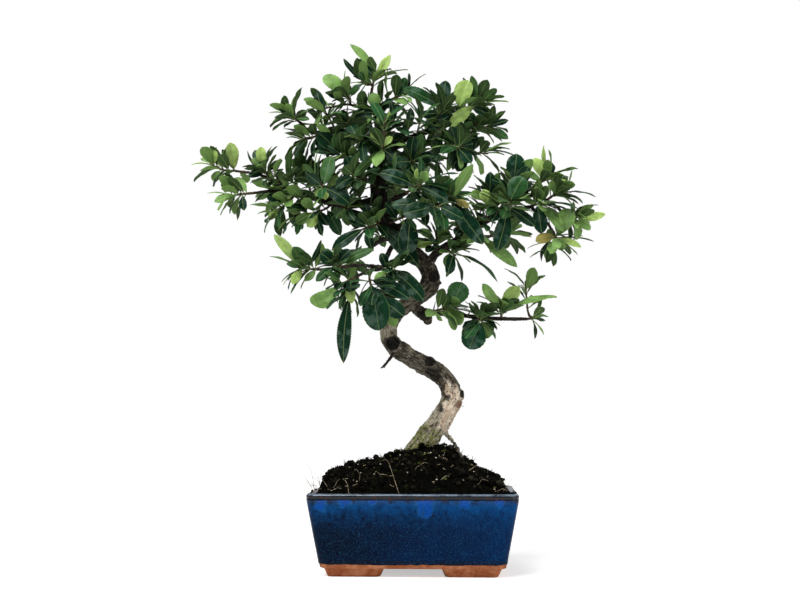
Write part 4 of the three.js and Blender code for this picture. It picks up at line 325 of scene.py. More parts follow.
# Further leafy shoots between the sprays: the start of each on a limb, and its end
SHOOTS = {
    "left": [
        ((-60, -1, 329), (-66, -14, 340)), ((-66, -2, 328.5), (-72, 10, 338)),
        ((-46, 0, 327), (-50, -15, 334)), ((-40, 0, 325), (-38, -16, 318)),
        ((-56, -1, 329), (-62, -12, 317)), ((-36, -3.5, 300), (-46, -18, 297)),
        ((-40, 0.5, 274), (-44, -14, 284)), ((-52, 1, 272), (-50, -16, 266)),
        ((-70, -2, 276.5), (-72, -16, 287)), ((-86, -3.5, 279.5), (-92, -16, 289)),
        ((-100, -4, 285), (-104, -16, 292)), ((-20, -1, 256), (-34, -14, 262)),
        ((-78, -3, 278), (-84, -14, 271)), ((-64, -0.6, 274.6), (-60, -12, 292)),
    ],
    "top": [
        ((-26, 0, 300), (-16, -16, 303)), ((-25.6, 0, 315), (-34, -16, 322)),
        ((-25.6, 0, 321), (-14, -14, 330)), ((-28, 0, 336), (-20, -12, 344)),
        ((-30, 0, 344), (-42, -10, 340)), ((-11, 0, 319.5), (-4, -16, 326)),
        ((2, -4, 324), (6, -18, 334)), ((-27, 0, 300), (-38, -14, 310)), ((-27, 0, 286), (-36, -16, 289)),
        ((-26, 0, 310), (-26, -18, 300)),
    ],
    "right": [
        ((12, -6, 329), (24, -16, 324)), ((-5, 4, 305), (0, -12, 300)), ((10, 3.5, 311), (18, -12, 306)),
        ((24, 3, 318), (32, -12, 316)), ((34, 1.5, 323), (46, -10, 330)), ((30, -9, 241), (34, -24, 250)),
        ((46, -14, 251), (50, -28, 262)), ((60, -18, 258.6), (66, -32, 266)),
        ((60, -13, 262), (62, -2, 274)), ((76, -9, 273.6), (74, -24, 282)), ((0, 4, 307), (10, -10, 318)),
        ((-14, -18, 273), (-12, -26, 284)),
    ],
    "back": [
        ((-26, 1, 290), (-44, 18, 296)), ((-27, 1, 304), (-12, 16, 310)), ((-5, 4, 305), (8, 20, 312)),
        ((-60, 0, 274), (-58, 14, 284)), ((-34, 22, 277), (-26, 30, 286)),
        ((-14, 22, 291), (-22, 34, 298)), ((-28, 18, 246), (-26, 30, 254)), ((44, 8, 247), (42, 18, 258)),
        ((-33, 18, 315), (-24, 30, 320)), ((-76, 16, 280), (-76, 26, 292)), ((20, 3, 316), (30, 16, 318)),
        ((-53, 0, 329), (-56, 16, 332)),
    ],
}

FACES = {
    "front": (0, -1, 0.35),
    "up": (0, -0.35, 1),
    "under": (0, 0.9, 0.6),
    "left": (-1, -0.6, 0.3),
    "right": (1, -0.6, 0.3),
    "back": (0, 1, 0.35),
}
# Coarse outlines: (share of the length, share of the half width)
SMALL_BLADE = [(0.6, 1)]
PLAIN_BLADE = [(0.38, 0.84), (0.76, 0.94)]
BROAD_BLADE = [(0.26, 0.62), (0.56, 1), (0.84, 0.76)]
TOOTHED_BLADE = [
    (0.2, 0.66), (0.34, 0.86), (0.46, 0.78), (0.58, 1), (0.7, 0.84), (0.8, 0.86), (0.9, 0.5),
]
BROAD_WIDTH = 12.4
SMALL_LENGTH = 17
FOLDED_WIDTH = 10.2
TOOTHED_LENGTH = 48
FOLD = 0.22
EDGE_WAVE = 0.35
STALK_LENGTH = 2
LEAF_THICKNESS = 0.6
RIBS = (-1, 0, 1)
PLAIN_RIBS = (-1, 1)
TWIG_ROOT_RADIUS = 1.15
CLEARANCE = 0.42
CLEARANCE_IN_SPRAY = 0.1
BOX_MARGIN = 1.2
TRUNK_REACH = 1.09
WOOD = -1
GOLDEN_ANGLE = 2.39996
CROWN_AXIS = (-16, 0)
USUAL_TURN = ("front", 1)


# Vectors as plain tuples, for the exact placing of the leaves
def add(a, b):
    return (a[0] + b[0], a[1] + b[1], a[2] + b[2])


def sub(a, b):
    return (a[0] - b[0], a[1] - b[1], a[2] - b[2])


def scale(a, k):
    return (a[0] * k, a[1] * k, a[2] * k)


def dot(a, b):
    return a[0] * b[0] + a[1] * b[1] + a[2] * b[2]


def cross(a, b):
    return (a[1] * b[2] - a[2] * b[1], a[2] * b[0] - a[0] * b[2], a[0] * b[1] - a[1] * b[0])


def norm(a):
    return math.sqrt(dot(a, a))


def unit(a):
    return scale(a, 1 / norm(a))


def seeded(seed):
    """The same small random source as the solids use."""
    full = 0xFFFFFFFF
    state = seed & full

    def draw():
        nonlocal state
        state = (state + 0x6D2B79F5) & full
        value = ((state ^ (state >> 15)) * (state | 1)) & full
        value = ((value + ((value ^ (value >> 7)) * (value | 61))) & full) ^ value
        return ((value ^ (value >> 14)) & full) / 4294967296

    return draw


def on_twig(twigs, place):
    """The point and direction at a place: 0 to 0.99 on the first twig, 1 to 1.99 on the second."""
    line = twigs[int(place)]
    share = place - int(place)
    lengths = [norm(sub(b, a)) for a, b in zip(line, line[1:])]
    left = share * sum(lengths)
    step = 0
    while step < len(lengths) - 1 and left > lengths[step]:
        left -= lengths[step]
        step += 1
    way = unit(sub(line[step + 1], line[step]))
    return add(line[step], scale(way, left)), way


def leaf_axes(leaf):
    way = unit(leaf["reach"])
    facing = unit(sub(leaf["face"], scale(way, dot(leaf["face"], way))))
    return way, facing, cross(way, facing)


def coarse_blade(leaf):
    """The middle surface of a coarse leaf: its points and triangles."""
    way, facing, side = leaf_axes(leaf)
    half, ribs, base, reach = leaf["width"] / 2, leaf["ribs"], leaf["base"], leaf["reach"]
    points = [base, add(base, scale(way, STALK_LENGTH))]
    for row, (along, share) in enumerate(leaf["stations"]):
        spine = add(base, scale(reach, along))
        lift = leaf["arch"] * 4 * along * (1 - along)
        for edge in ribs:
            wave = edge * EDGE_WAVE * (1 if row % 2 else -1)
            raised = lift + abs(edge) * FOLD * half * share + wave
            points.append(add(spine, add(scale(side, edge * half * share), scale(facing, raised))))
    points.append(add(base, reach))
    wide, rows, tip = len(ribs), len(leaf["stations"]), len(points) - 1
    faces = []
    for rib in range(wide - 1):
        first, last = 2 + rib, 2 + wide * (rows - 1) + rib
        faces.append((1, first + 1, first))
        for row in range(rows - 1):
            left = 2 + wide * row + rib
            faces.append((left, left + 1, left + wide))
            faces.append((left + 1, left + 1 + wide, left + wide))
        faces.append((last, last + 1, tip))
    return points, faces


def strip_of(points, faces):
    """Edges and faces of a blade, with those of its narrow base marked."""
    edges = {}
    for face in faces:
        for i in range(3):
            a, b = sorted((face[i], face[(i + 1) % 3]))
            edges[a, b] = (a, b, a < 2)
    edges["stalk"] = (0, 1, True)
    return list(edges.values()), [(*face, face[0] < 2) for face in faces]


def clamp01(value):
    return min(max(value, 0.0), 1.0)


def line_gap(p1, q1, p2, q2):
    """Squared distance between two line pieces."""
    d1, d2, r = sub(q1, p1), sub(q2, p2), sub(p1, p2)
    a, e, f, c, b = dot(d1, d1), dot(d2, d2), dot(d2, r), dot(d1, r), dot(d1, d2)
    spread = a * e - b * b
    s = clamp01((b * f - c * e) / spread) if spread > 1e-9 else 0
    t = clamp01((b * s + f) / e)
    s = clamp01((b * t - c) / a)
    apart = sub(add(p1, scale(d1, s)), add(p2, scale(d2, t)))
    return dot(apart, apart)


def point_gap(p, a, b, c):
    """Squared distance from a point to a triangle's plane, where it lies over the triangle."""
    normal = cross(sub(b, a), sub(c, a))
    size = dot(normal, normal)
    u = dot(cross(sub(c, b), sub(p, b)), normal) / size
    v = dot(cross(sub(a, c), sub(p, c)), normal) / size
    if u < 0 or v < 0 or u + v > 1:
        return math.inf
    height = dot(sub(p, a), normal)
    return height * height / size


def pierces(p, q, a, b, c):
    normal = cross(sub(b, a), sub(c, a))
    start, end = dot(sub(p, a), normal), dot(sub(q, a), normal)
    if start * end > 0 or start == end:
        return False
    return point_gap(add(p, scale(sub(q, p), start / (start - end))), a, b, c) < math.inf


class Crown:
    """What is already placed, and the search for room for the next leaf."""

    def __init__(self):
        self.placed = []

    def place(self, points, edges, faces, radius, owner):
        reach = radius + BOX_MARGIN
        low = [min(p[i] for p in points) - reach for i in range(3)]
        high = [max(p[i] for p in points) + reach for i in range(3)]
        self.placed.append((points, edges, faces, radius, owner, low, high))

    def place_line(self, line, radius_at, owner):
        for i in range(len(line) - 1):
            points = [tuple(line[i][:3]), tuple(line[i + 1][:3])]
            self.place(points, [(0, 1, False)], [], max(radius_at(i), radius_at(i + 1)), owner)

    def is_clear(self, points, edges, faces, owner):
        low = [min(p[i] for p in points) for i in range(3)]
        high = [max(p[i] for p in points) for i in range(3)]
        free_edges = [edge for edge in edges if not edge[2]]
        free_faces = [face for face in faces if not face[3]]
        for others, their_edges, their_faces, radius, their_owner, their_low, their_high in self.placed:
            if any(their_low[i] > high[i] or their_high[i] < low[i] for i in range(3)):
                continue
            same = their_owner == owner
            need = (radius + LEAF_THICKNESS / 2 + (CLEARANCE_IN_SPRAY if same else CLEARANCE)) ** 2
            mine, my_faces = (free_edges, free_faces) if same else (edges, faces)
            if same:
                their_edges = [edge for edge in their_edges if not edge[2]]
                their_faces = [face for face in their_faces if not face[3]]
            for i, j, _ in mine:
                p, q = points[i], points[j]
                if any(line_gap(p, q, others[k], others[l]) < need for k, l, _ in their_edges):
                    return False
                if any(self.meets(p, q, face, others, need) for face in their_faces):
                    return False
            for k, l, _ in their_edges:
                if any(self.meets(others[k], others[l], face, points, need) for face in my_faces):
                    return False
        return True

    @staticmethod
    def meets(p, q, face, points, need):
        corners = points[face[0]], points[face[1]], points[face[2]]
        if pierces(p, q, *corners):
            return True
        return point_gap(p, *corners) < need or point_gap(q, *corners) < need

    def place_leaf(self, leaf, bends):
        """Bends the leaf a little until it has room, or gives None."""
        for bend in bends:
            tried = bent_leaf(leaf, bend)
            points, triangles = coarse_blade(tried)
            edges, faces = strip_of(points, triangles)
            if self.is_clear(points, edges, faces, leaf["owner"]):
                self.place(points, edges, faces, LEAF_THICKNESS / 2, leaf["owner"])
                return tried
        return None


TILTS = [
    (0, 0), (9, 0), (-9, 0), (0, 10), (0, -10), (18, 7), (-18, -7), (18, -7), (-18, 7), (30, 0),
    (-30, 0), (0, 24), (0, -24),
]
BENDS = [
    (shrink, pitch, turn, roll)
    for shrink in (1, 0.87, 0.74)
    for pitch, turn in TILTS
    for roll in (0, 24, -24)
]
FEW_BENDS = [(shrink, *tilt, 0) for shrink in (1, 0.8) for tilt in TILTS[:11]]
# Extra leaves beside those of the solids: how many each spray and each shoot gets, and their size
EXTRA_LEAVES, SHOOT_LEAVES = 14, 10
EXTRA_LENGTH, EXTRA_WIDTH = 20, 0.98


def turned(vector, axis, degrees):
    angle = math.radians(degrees)
    c, s = math.cos(angle), math.sin(angle)
    along = scale(axis, dot(axis, vector) * (1 - c))
    return add(add(scale(vector, c), scale(cross(axis, vector), s)), along)


def bent_leaf(leaf, bend):
    shrink, pitch, turn, roll = bend
    way, facing, side = leaf_axes(leaf)
    reach = turned(turned(scale(leaf["reach"], shrink), side, pitch), facing, turn)
    face = turned(turned(facing, side, pitch), unit(reach), roll)
    width, arch = leaf["width"] * shrink, leaf["arch"] * shrink
    return {**leaf, "reach": reach, "face": face, "width": width, "arch": arch}


def outline_for(length, width):
    if length > TOOTHED_LENGTH:
        return {"stations": TOOTHED_BLADE, "ribs": RIBS}
    if width > BROAD_WIDTH:
        return {"stations": BROAD_BLADE, "ribs": RIBS}
    return {
        "stations": SMALL_BLADE if length < SMALL_LENGTH else PLAIN_BLADE,
        "ribs": RIBS if width > FOLDED_WIDTH else PLAIN_RIBS,
    }


def listed_leaf(twigs, owner, row):
    place, x, y, z, width, tone, *turn = row
    face, arch = (*turn, *USUAL_TURN[len(turn):])
    return {
        "owner": owner, "base": on_twig(twigs, place)[0], "reach": (x, y, z), "width": width,
        "tone": tone, "face": FACES[face], "arch": arch, **outline_for(norm((x, y, z)), width),
    }


def grown_leaves(twigs, owner, fill, seed, first=0):
    """Leaves that stand round their twig at the golden angle and turn up and outwards."""
    draw = seeded(seed)
    count, length = fill
    leaves = []
    for i in range(count):
        twig = 1 if len(twigs) > 1 and i % 2 else 0
        share = 0.98 - 0.72 * (i / max(count, 2)) - 0.04 * draw()
        point, way = on_twig(twigs, twig + share)
        outward = unit((point[0] - CROWN_AXIS[0] + 0.1, point[1] - CROWN_AXIS[1] + 0.1, 0))
        side = unit(cross(way, (0.1, 0.2, 1)))
        up = cross(side, way)
        angle = (i + first) * GOLDEN_ANGLE + 0.7 * draw() + owner
        lean = (0.35 if i + first == 0 else 0.85) + 0.3 * draw()
        around = add(scale(side, math.cos(angle)), scale(up, math.sin(angle)))
        aim = add(add(scale(way, math.cos(lean)), scale(around, math.sin(lean))), (0, 0, 0.12))
        size = length * (0.82 + 0.36 * draw())
        width = size * (0.34 + 0.1 * draw())
        tone = 1 if draw() < 0.16 else 2 if draw() < 0.4 else 3
        leaves.append({
            "owner": owner, "base": point, "reach": scale(unit(aim), size), "width": width,
            "tone": tone, "face": add(scale(outward, 0.55), (0, 0, 1)), "arch": size * 0.06,
            "stations": SMALL_BLADE, "ribs": PLAIN_RIBS,
        })
    return leaves


def place_leaves():
    """Every leaf of every spray: those of the solids first, then the extra ones that fill the crown."""
    crown = Crown()
    crown.place_line(TRUNK, lambda i: TRUNK[i][3] * TRUNK_REACH, WOOD)
    for limb in LIMBS + SPURS:
        crown.place_line(limb, lambda i: limb[i][3], WOOD)
    for centre, way, radius, height in SCARS:
        crown.place_line([centre, add(centre, scale(unit(way), height))], lambda i: radius, WOOD)
    for owner, (name, fill, twigs, rows) in enumerate(SPRAYS):
        for twig in twigs:
            crown.place_line(twig, lambda i: TWIG_ROOT_RADIUS, owner)
    wanted = []
    for owner, (name, fill, twigs, rows) in enumerate(SPRAYS):
        wanted += [(listed_leaf(twigs, owner, row), BENDS) for row in rows]
    for owner, (name, fill, twigs, rows) in enumerate(SPRAYS):
        wanted += [(leaf, BENDS) for leaf in grown_leaves(twigs, owner, fill, 1000 + 17 * owner)]
    of_solids = len(wanted)
    for owner, (name, fill, twigs, rows) in enumerate(SPRAYS):
        grown = grown_leaves(twigs, owner, (EXTRA_LEAVES, EXTRA_LENGTH), 9000 + 31 * owner, 5)
        wanted += [(leaf, FEW_BENDS) for leaf in grown]
    shoots = [shoot for group in SHOOTS.values() for shoot in group]
    for owner, (start, end) in enumerate(shoots, len(SPRAYS)):
        crown.place_line([start, end], lambda i: TWIG_ROOT_RADIUS, owner)
        grown = grown_leaves([[start, end]], owner, (SHOOT_LEAVES, EXTRA_LENGTH), 5000 + 13 * owner)
        wanted += [(leaf, FEW_BENDS) for leaf in grown]
    leaves = [[] for spray in (*SPRAYS, *shoots)]
    for i, (leaf, bends) in enumerate(wanted):
        if i >= of_solids:
            leaf["width"] *= EXTRA_WIDTH
        fitted = crown.place_leaf(leaf, bends)
        if fitted:
            fitted["extra"] = i >= of_solids
            leaves[leaf["owner"]].append(fitted)
    return leaves


class Shell:
    """Gathers the closed parts of one piece, with the values that its materials read."""

    def __init__(self):
        self.points, self.faces, self.materials, self.values = [], [], [], {}
        self.count = 0

    def join(self, points, faces, material=0, **values):
        points = np.asarray(points, float)
        self.points.append(points)
        self.faces += [[i + self.count for i in face] for face in faces]
        self.materials += [material] * len(faces)
        for name, value in values.items():
            value = np.asarray(value, float)
            wide = value.ndim > 0 and value.shape[-1] == 3
            rows = np.broadcast_to(value, (len(points), 3) if wide else (len(points),))
            self.values.setdefault(name, []).append((self.count, rows))
        self.count += len(points)

    def piece(self, name, materials, crease=50):
        """Writes the shell as one mesh object that rides on the tree's only body."""
        mesh = bpy.data.meshes.new(name)
        points = (np.concatenate(self.points) + ORIGIN) * MM
        mesh.from_pydata(points.tolist(), [], self.faces)
        for material in materials:
            mesh.materials.append(material)
        mesh.polygons.foreach_set("material_index", self.materials)
        mesh.polygons.foreach_set("use_smooth", [True] * len(self.faces))
        for value_name, parts in self.values.items():
            keep_values(mesh, value_name, self.count, parts)
        mesh.validate()
        mesh.set_sharp_from_angle(angle=math.radians(crease))
        piece = placed(name, mesh)
        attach(piece, "root")
        return piece


def keep_values(mesh, name, count, parts):
    wide = parts[0][1].ndim > 1
    rows = np.zeros((count, 3) if wide else count, np.float32)
    for start, values in parts:
        rows[start:start + len(values)] = values
    attribute = mesh.attributes.new(name, "FLOAT_VECTOR" if wide else "FLOAT", "POINT")
    attribute.data.foreach_set("vector" if wide else "value", rows.ravel())


def placed(name, data):
    """A new object in the scene."""
    made = bpy.data.objects.new(name, data)
    bpy.context.scene.collection.objects.link(made)
    return made


def unit_rows(rows):
    return rows / np.maximum(np.linalg.norm(rows, axis=-1, keepdims=True), 1e-12)


def frames_along(line):
    """Directions and two side vectors at each point of a line, kept from twisting."""
    steps = unit_rows(np.diff(line, axis=0))
    ways = unit_rows(np.vstack([steps[:1], steps[:-1] + steps[1:], steps[-1:]]))
    side = np.cross(ways[0], (1, 0, 0) if abs(ways[0][2]) > 0.9 else (0, 0, 1))
    sides = []
    for way in ways:
        side = side - way * (side @ way)
        side = side / np.linalg.norm(side)
        sides.append(side)
    sides = np.array(sides)
    return ways, sides, np.cross(ways, sides)


def run_along(line):
    """How far along a line each of its points lies."""
    return np.concatenate([[0], np.cumsum(np.linalg.norm(np.diff(line[:, :3], axis=0), axis=1))])


def ring_angles(sides):
    return np.arange(sides) * 2 * math.pi / sides


def ring_faces(rings, sides):
    """Faces that join each ring of points to the next."""
    faces = []
    for low in range(0, (rings - 1) * sides, sides):
        for i in range(sides):
            j = (i + 1) % sides
            faces.append((low + i, low + j, low + sides + j, low + sides + i))
    return faces


def tube(stations, sides, shape=None):
    """A closed tube through (x, y, z, radius) rows, with a pointed cap at each end."""
    stations = np.asarray(stations, float)
    line, radii = stations[:, :3], stations[:, 3]
    ways, across, upward = frames_along(line)
    angles = ring_angles(sides)
    reach = radii[:, None] * (np.ones((len(line), sides)) if shape is None else shape)
    rings = (
        line[:, None]
        + across[:, None] * (reach * np.cos(angles))[..., None]
        + upward[:, None] * (reach * np.sin(angles))[..., None]
    )
    ends = np.array([line[0] - ways[0] * radii[0] * 0.5, line[-1] + ways[-1] * radii[-1] * 0.5])
    points = np.vstack([rings.reshape(-1, 3), ends])
    faces = ring_faces(len(line), sides)
    start, end, last = len(points) - 2, len(points) - 1, (len(line) - 1) * sides
    for i in range(sides):
        j = (i + 1) % sides
        faces.append((start, j, i))
        faces.append((end, last + i, last + j))
    return points, faces


def smooth_line(stations, step):
    """Rows resampled about every step millimetres along a smooth curve through them."""
    rows = np.asarray(stations, float)
    if len(rows) == 2:
        count = max(int(np.linalg.norm(rows[1, :3] - rows[0, :3]) / step), 1)
        share = np.linspace(0, 1, count + 1)[:, None]
        return rows[0] * (1 - share) + rows[1] * share
    padded = np.vstack([2 * rows[0] - rows[1], rows, 2 * rows[-1] - rows[-2]])
    made = []
    for i in range(1, len(padded) - 2):
        p0, p1, p2, p3 = padded[i - 1:i + 3]
        count = max(int(np.linalg.norm(p2[:3] - p1[:3]) / step), 1)
        for t in np.arange(count) / count:
            made.append(0.5 * (
                2 * p1 + (p2 - p0) * t + (2 * p0 - 5 * p1 + 4 * p2 - p3) * t ** 2
                + (3 * p1 - p0 - 3 * p2 + p3) * t ** 3
            ))
    return np.array(made + [rows[-1]])


def shake(rows, chance, amount):
    """Moves the inner points of a line a little by chance."""
    rows[1:-1, :3] += np.array([[chance.uniform(-amount, amount) for k in range(3)] for row in rows[1:-1]])


# A bud at a twig's end: (reach, share of the twig's radius)
BUD = [(0, 0.8), (0.8, 1.25), (1.7, 0.95), (2.4, 0.3)]
# Leaves
BLADE_STEP, EXTRA_STEP, TOOTH_STEP = 1.5, 2.1, 1.0
BLADE_COLUMNS = np.array([-1, -0.8, -0.45, -0.1, 0, 0.1, 0.45, 0.8, 1])
EXTRA_COLUMNS = np.array([-1, -0.62, 0, 0.62, 1])
BLADE_THICKNESS = 0.34
STALK_RADIUS = 0.36
# The midrib: its share of the blade's length, and how far it stands out below
RIB_LENGTH, RIB_DEPTH = 0.86, 0.16
# Half the crown's width, the height of its top leaves, and where its front leaves begin
CROWN_REACH, TOP_LEAVES, FRONT_LEAVES = 130, 335, -25
VEIN_PITCH = 2.1
# Painted sheen: how much pale streaking stands in for gloss on the leaves' upper side, more on large leaves
PAINTED_SHEEN, PAINTED_SHEEN_OF_LARGE, LARGE_LEAF, LONG_LEAF = 0.05, 0.15, 230, 24
# Tones by their number in the table, and how steeply each turns lighter outwards in the crown
TONES = ("young", "light", "mid", "dark", "yellow")
LIT_POWERS = {1: 4, 2: 3, 3: 3}


def blade_outline(share, ratio):
    """Half width along the blade: broad leaves are blunt, slender ones taper to both ends."""
    base, tip, bluntness = (0.9, 1.6, 0.82) if ratio < 0.31 else (0.8, 1.75, 0.7)
    if ratio > 0.46:
        base, tip, bluntness = 0.66, 2.1, 0.58
    curve = share ** base * (1 - share ** tip) ** bluntness
    dense = np.linspace(0, 1, 200)
    return curve / (dense ** base * (1 - dense ** tip) ** bluntness).max()


def blade_faces(rows, columns):
    """Faces of a blade's upper side, its lower side and the thin edge between them."""
    under = (rows + 1) * columns
    faces = []
    for row in range(rows):
        for i in range(columns - 1):
            a, b = row * columns + i, (row + 1) * columns + i
            faces.append((a, a + 1, b + 1, b))
            faces.append((under + a, under + b, under + b + 1, under + a + 1))
        a, b = row * columns, (row + 1) * columns
        faces.append((a, b, under + b, under + a))
        a, b = a + columns - 1, b + columns - 1
        faces.append((b, a, under + a, under + b))
    for i in range(columns - 1):
        j = rows * columns + i
        faces.append((i + 1, i, under + i, under + i + 1))
        faces.append((j, j + 1, under + j + 1, under + j))
    return faces


def join_leaf(shell, leaf, chance, look):
    """Adds one fine leaf: a folded, arched blade with a crenate edge, on its stalk and midrib."""
    way, facing, side = (np.array(axis) for axis in leaf_axes(leaf))
    base, reach = np.array(leaf["base"]), np.array(leaf["reach"])
    length, half = norm(leaf["reach"]), leaf["width"] / 2
    stalk = STALK_LENGTH / length
    toothed = length > TOOTHED_LENGTH
    ratio = 0.3 if toothed else leaf["width"] / length
    step = TOOTH_STEP if toothed else EXTRA_STEP if leaf["extra"] else BLADE_STEP
    rows = max(int(length / step), 6)
    share = 1 - (1 - np.linspace(0, 1, rows + 1)) ** 1.15
    along = stalk + (1 - stalk) * share
    teeth = 0.045 if toothed else 0.022
    width = half * blade_outline(share, ratio) * (1 + teeth * (-1.0) ** np.arange(rows + 1))
    width = np.maximum(width, 0.3)
    width[-1] = 0.22
    sway = chance.uniform(-0.035, 0.035) * length * np.sin(math.pi * share)
    droop = -chance.uniform(0.02, 0.09) * length * share ** 3
    lift = leaf["arch"] * 4 * along * (1 - along) + droop
    spine = base + along[:, None] * reach + lift[:, None] * facing + sway[:, None] * side
    edge = (EXTRA_COLUMNS if leaf["extra"] else BLADE_COLUMNS)[None, :]
    fold = chance.uniform(0.2, 0.34) if leaf["tone"] < 2 else chance.uniform(0.08, 0.26)
    ripple = chance.uniform(0.2, 0.5) * min(half / 4, 1)
    phase, pace = chance.uniform(0, 6.28), chance.uniform(1.4, 2.4)
    wave = ripple * np.sin(2 * math.pi * pace * share[:, None] + phase + edge) * np.abs(edge) ** 2
    cup = fold * np.abs(edge) - 0.13 * np.abs(edge) ** 3
    groove = -0.12 * np.exp(-(edge * width[:, None] / 0.35) ** 2)
    raised = cup * width[:, None] + wave + groove
    middle = spine[:, None] + (edge * width[:, None])[..., None] * side + raised[..., None] * facing
    run, over = np.gradient(middle, axis=0), np.gradient(middle, axis=1)
    normal = unit_rows(np.cross(over, run))
    thick = BLADE_THICKNESS / 2 * (1 - 0.45 * np.abs(edge) ** 4)[..., None]
    columns = edge.size
    points = np.vstack([(middle + normal * thick).reshape(-1, 3), (middle - normal * thick).reshape(-1, 3)])
    under = (rows + 1) * columns
    across = edge * width[:, None]
    place = np.stack([
        np.broadcast_to((share * (length - STALK_LENGTH))[:, None], across.shape),
        across,
        np.broadcast_to(edge, across.shape),
    ], axis=-1).reshape(-1, 3)
    below = np.repeat([0.0, 1.0], under)
    shell.join(
        points, blade_faces(rows, columns), blade_place=np.vstack([place, place]), blade_below=below,
        blade_tint=look, blade_chance=chance.random(),
        # the leaf's share of painted sheen
        blade_wax=PAINTED_SHEEN_OF_LARGE if leaf["tone"] > 1 and length * leaf["width"] > LARGE_LEAF else PAINTED_SHEEN,
    )
    picks = np.linspace(0, RIB_LENGTH, 6)
    rib = np.array([np.interp(picks, share, spine[:, k]) for k in range(3)]).T - facing * RIB_DEPTH
    radii = STALK_RADIUS * (1 - picks) ** 0.7 + 0.05
    stem = np.vstack([np.append(base, STALK_RADIUS * 1.25), np.column_stack([rib, radii])])
    shell.join(
        *tube(stem, 5), blade_place=(0, 0, 0), blade_below=1.0, blade_tint=look, blade_chance=0.5,
        blade_stalk=1.0,
    )


def leaf_look(leaf, chance, colours):
    """A leaf's own colour: its tone from the table, with a little chance."""
    tone, length = leaf["tone"], norm(leaf["reach"])
    colour = colours[TONES[tone]]
    outward = math.hypot(leaf["base"][0] - CROWN_AXIS[0], leaf["base"][1] * 1.6) / CROWN_REACH
    if leaf["extra"]:
        draw = chance.random()
        light = 0.1 + 0.34 * outward ** 1.5 + 0.12 * (leaf["base"][2] > TOP_LEAVES)
        light *= leaf["base"][1] > FRONT_LEAVES
        colour = colours["light" if draw < light else "mid" if draw < 0.45 else "dark"]
    elif 0 < tone < 4 and length < LONG_LEAF and chance.random() < 0.9 * outward ** LIT_POWERS[tone]:
        colour = colours["young" if tone == 1 else "light"]
    near = colours["mid" if tone in (1, 3) else "light"]
    colour = colour + (near - colour) * chance.uniform(0, 0.2)
    return colour * chance.uniform(0.78, 1.22)


def join_twig(shell, line, root, tip, chance, material=1):
    """Adds a twig with swollen nodes and a bud at its end."""
    radii = np.linspace(root, tip, len(line))
    rows = smooth_line([(*point, radius) for point, radius in zip(line, radii)], 1.6)
    rows[:, 3] *= 1 + 0.16 * (np.arange(len(rows)) % 4 == 2)
    shake(rows, chance, 0.12)
    shell.join(*tube(rows, 8), material)
    way = unit_rows(rows[-1, :3] - rows[-2, :3])
    bud = [np.append(rows[-1, :3] + way * reach, tip * grow) for reach, grow in BUD]
    shell.join(*tube(bud, 7), material)


# Finishes: sizes are millimetres, and a noise runs from about 0.3 to 0.7
class Mark:
    """A value or colour that varies over a surface. Arithmetic on it adds the nodes it needs."""

    def __init__(self, finish, socket):
        self.finish, self.socket = finish, socket

    def __add__(self, other):
        return self.finish.maths("ADD", self, other)

    def __sub__(self, other):
        return self.finish.maths("SUBTRACT", self, other)

    def __rsub__(self, other):
        return self.finish.maths("SUBTRACT", other, self)

    def __mul__(self, other):
        return self.finish.maths("MULTIPLY", self, other)

    def __abs__(self):
        return self.finish.maths("ABSOLUTE", self)

    def spread(self, low, high, start, end, way="LINEAR"):
        """From start where the value is low to end where it is high."""
        inputs = {"Value": self, "From Min": low, "From Max": high, "To Min": start, "To Max": end}
        node = self.finish.node("ShaderNodeMapRange", inputs, interpolation_type=way)
        return Mark(self.finish, node.outputs["Result"])

    def step(self, low, high):
        """From 0 where the value is low to 1 where it is high, with soft ends."""
        return self.spread(low, high, 0.0, 1.0, "SMOOTHSTEP")


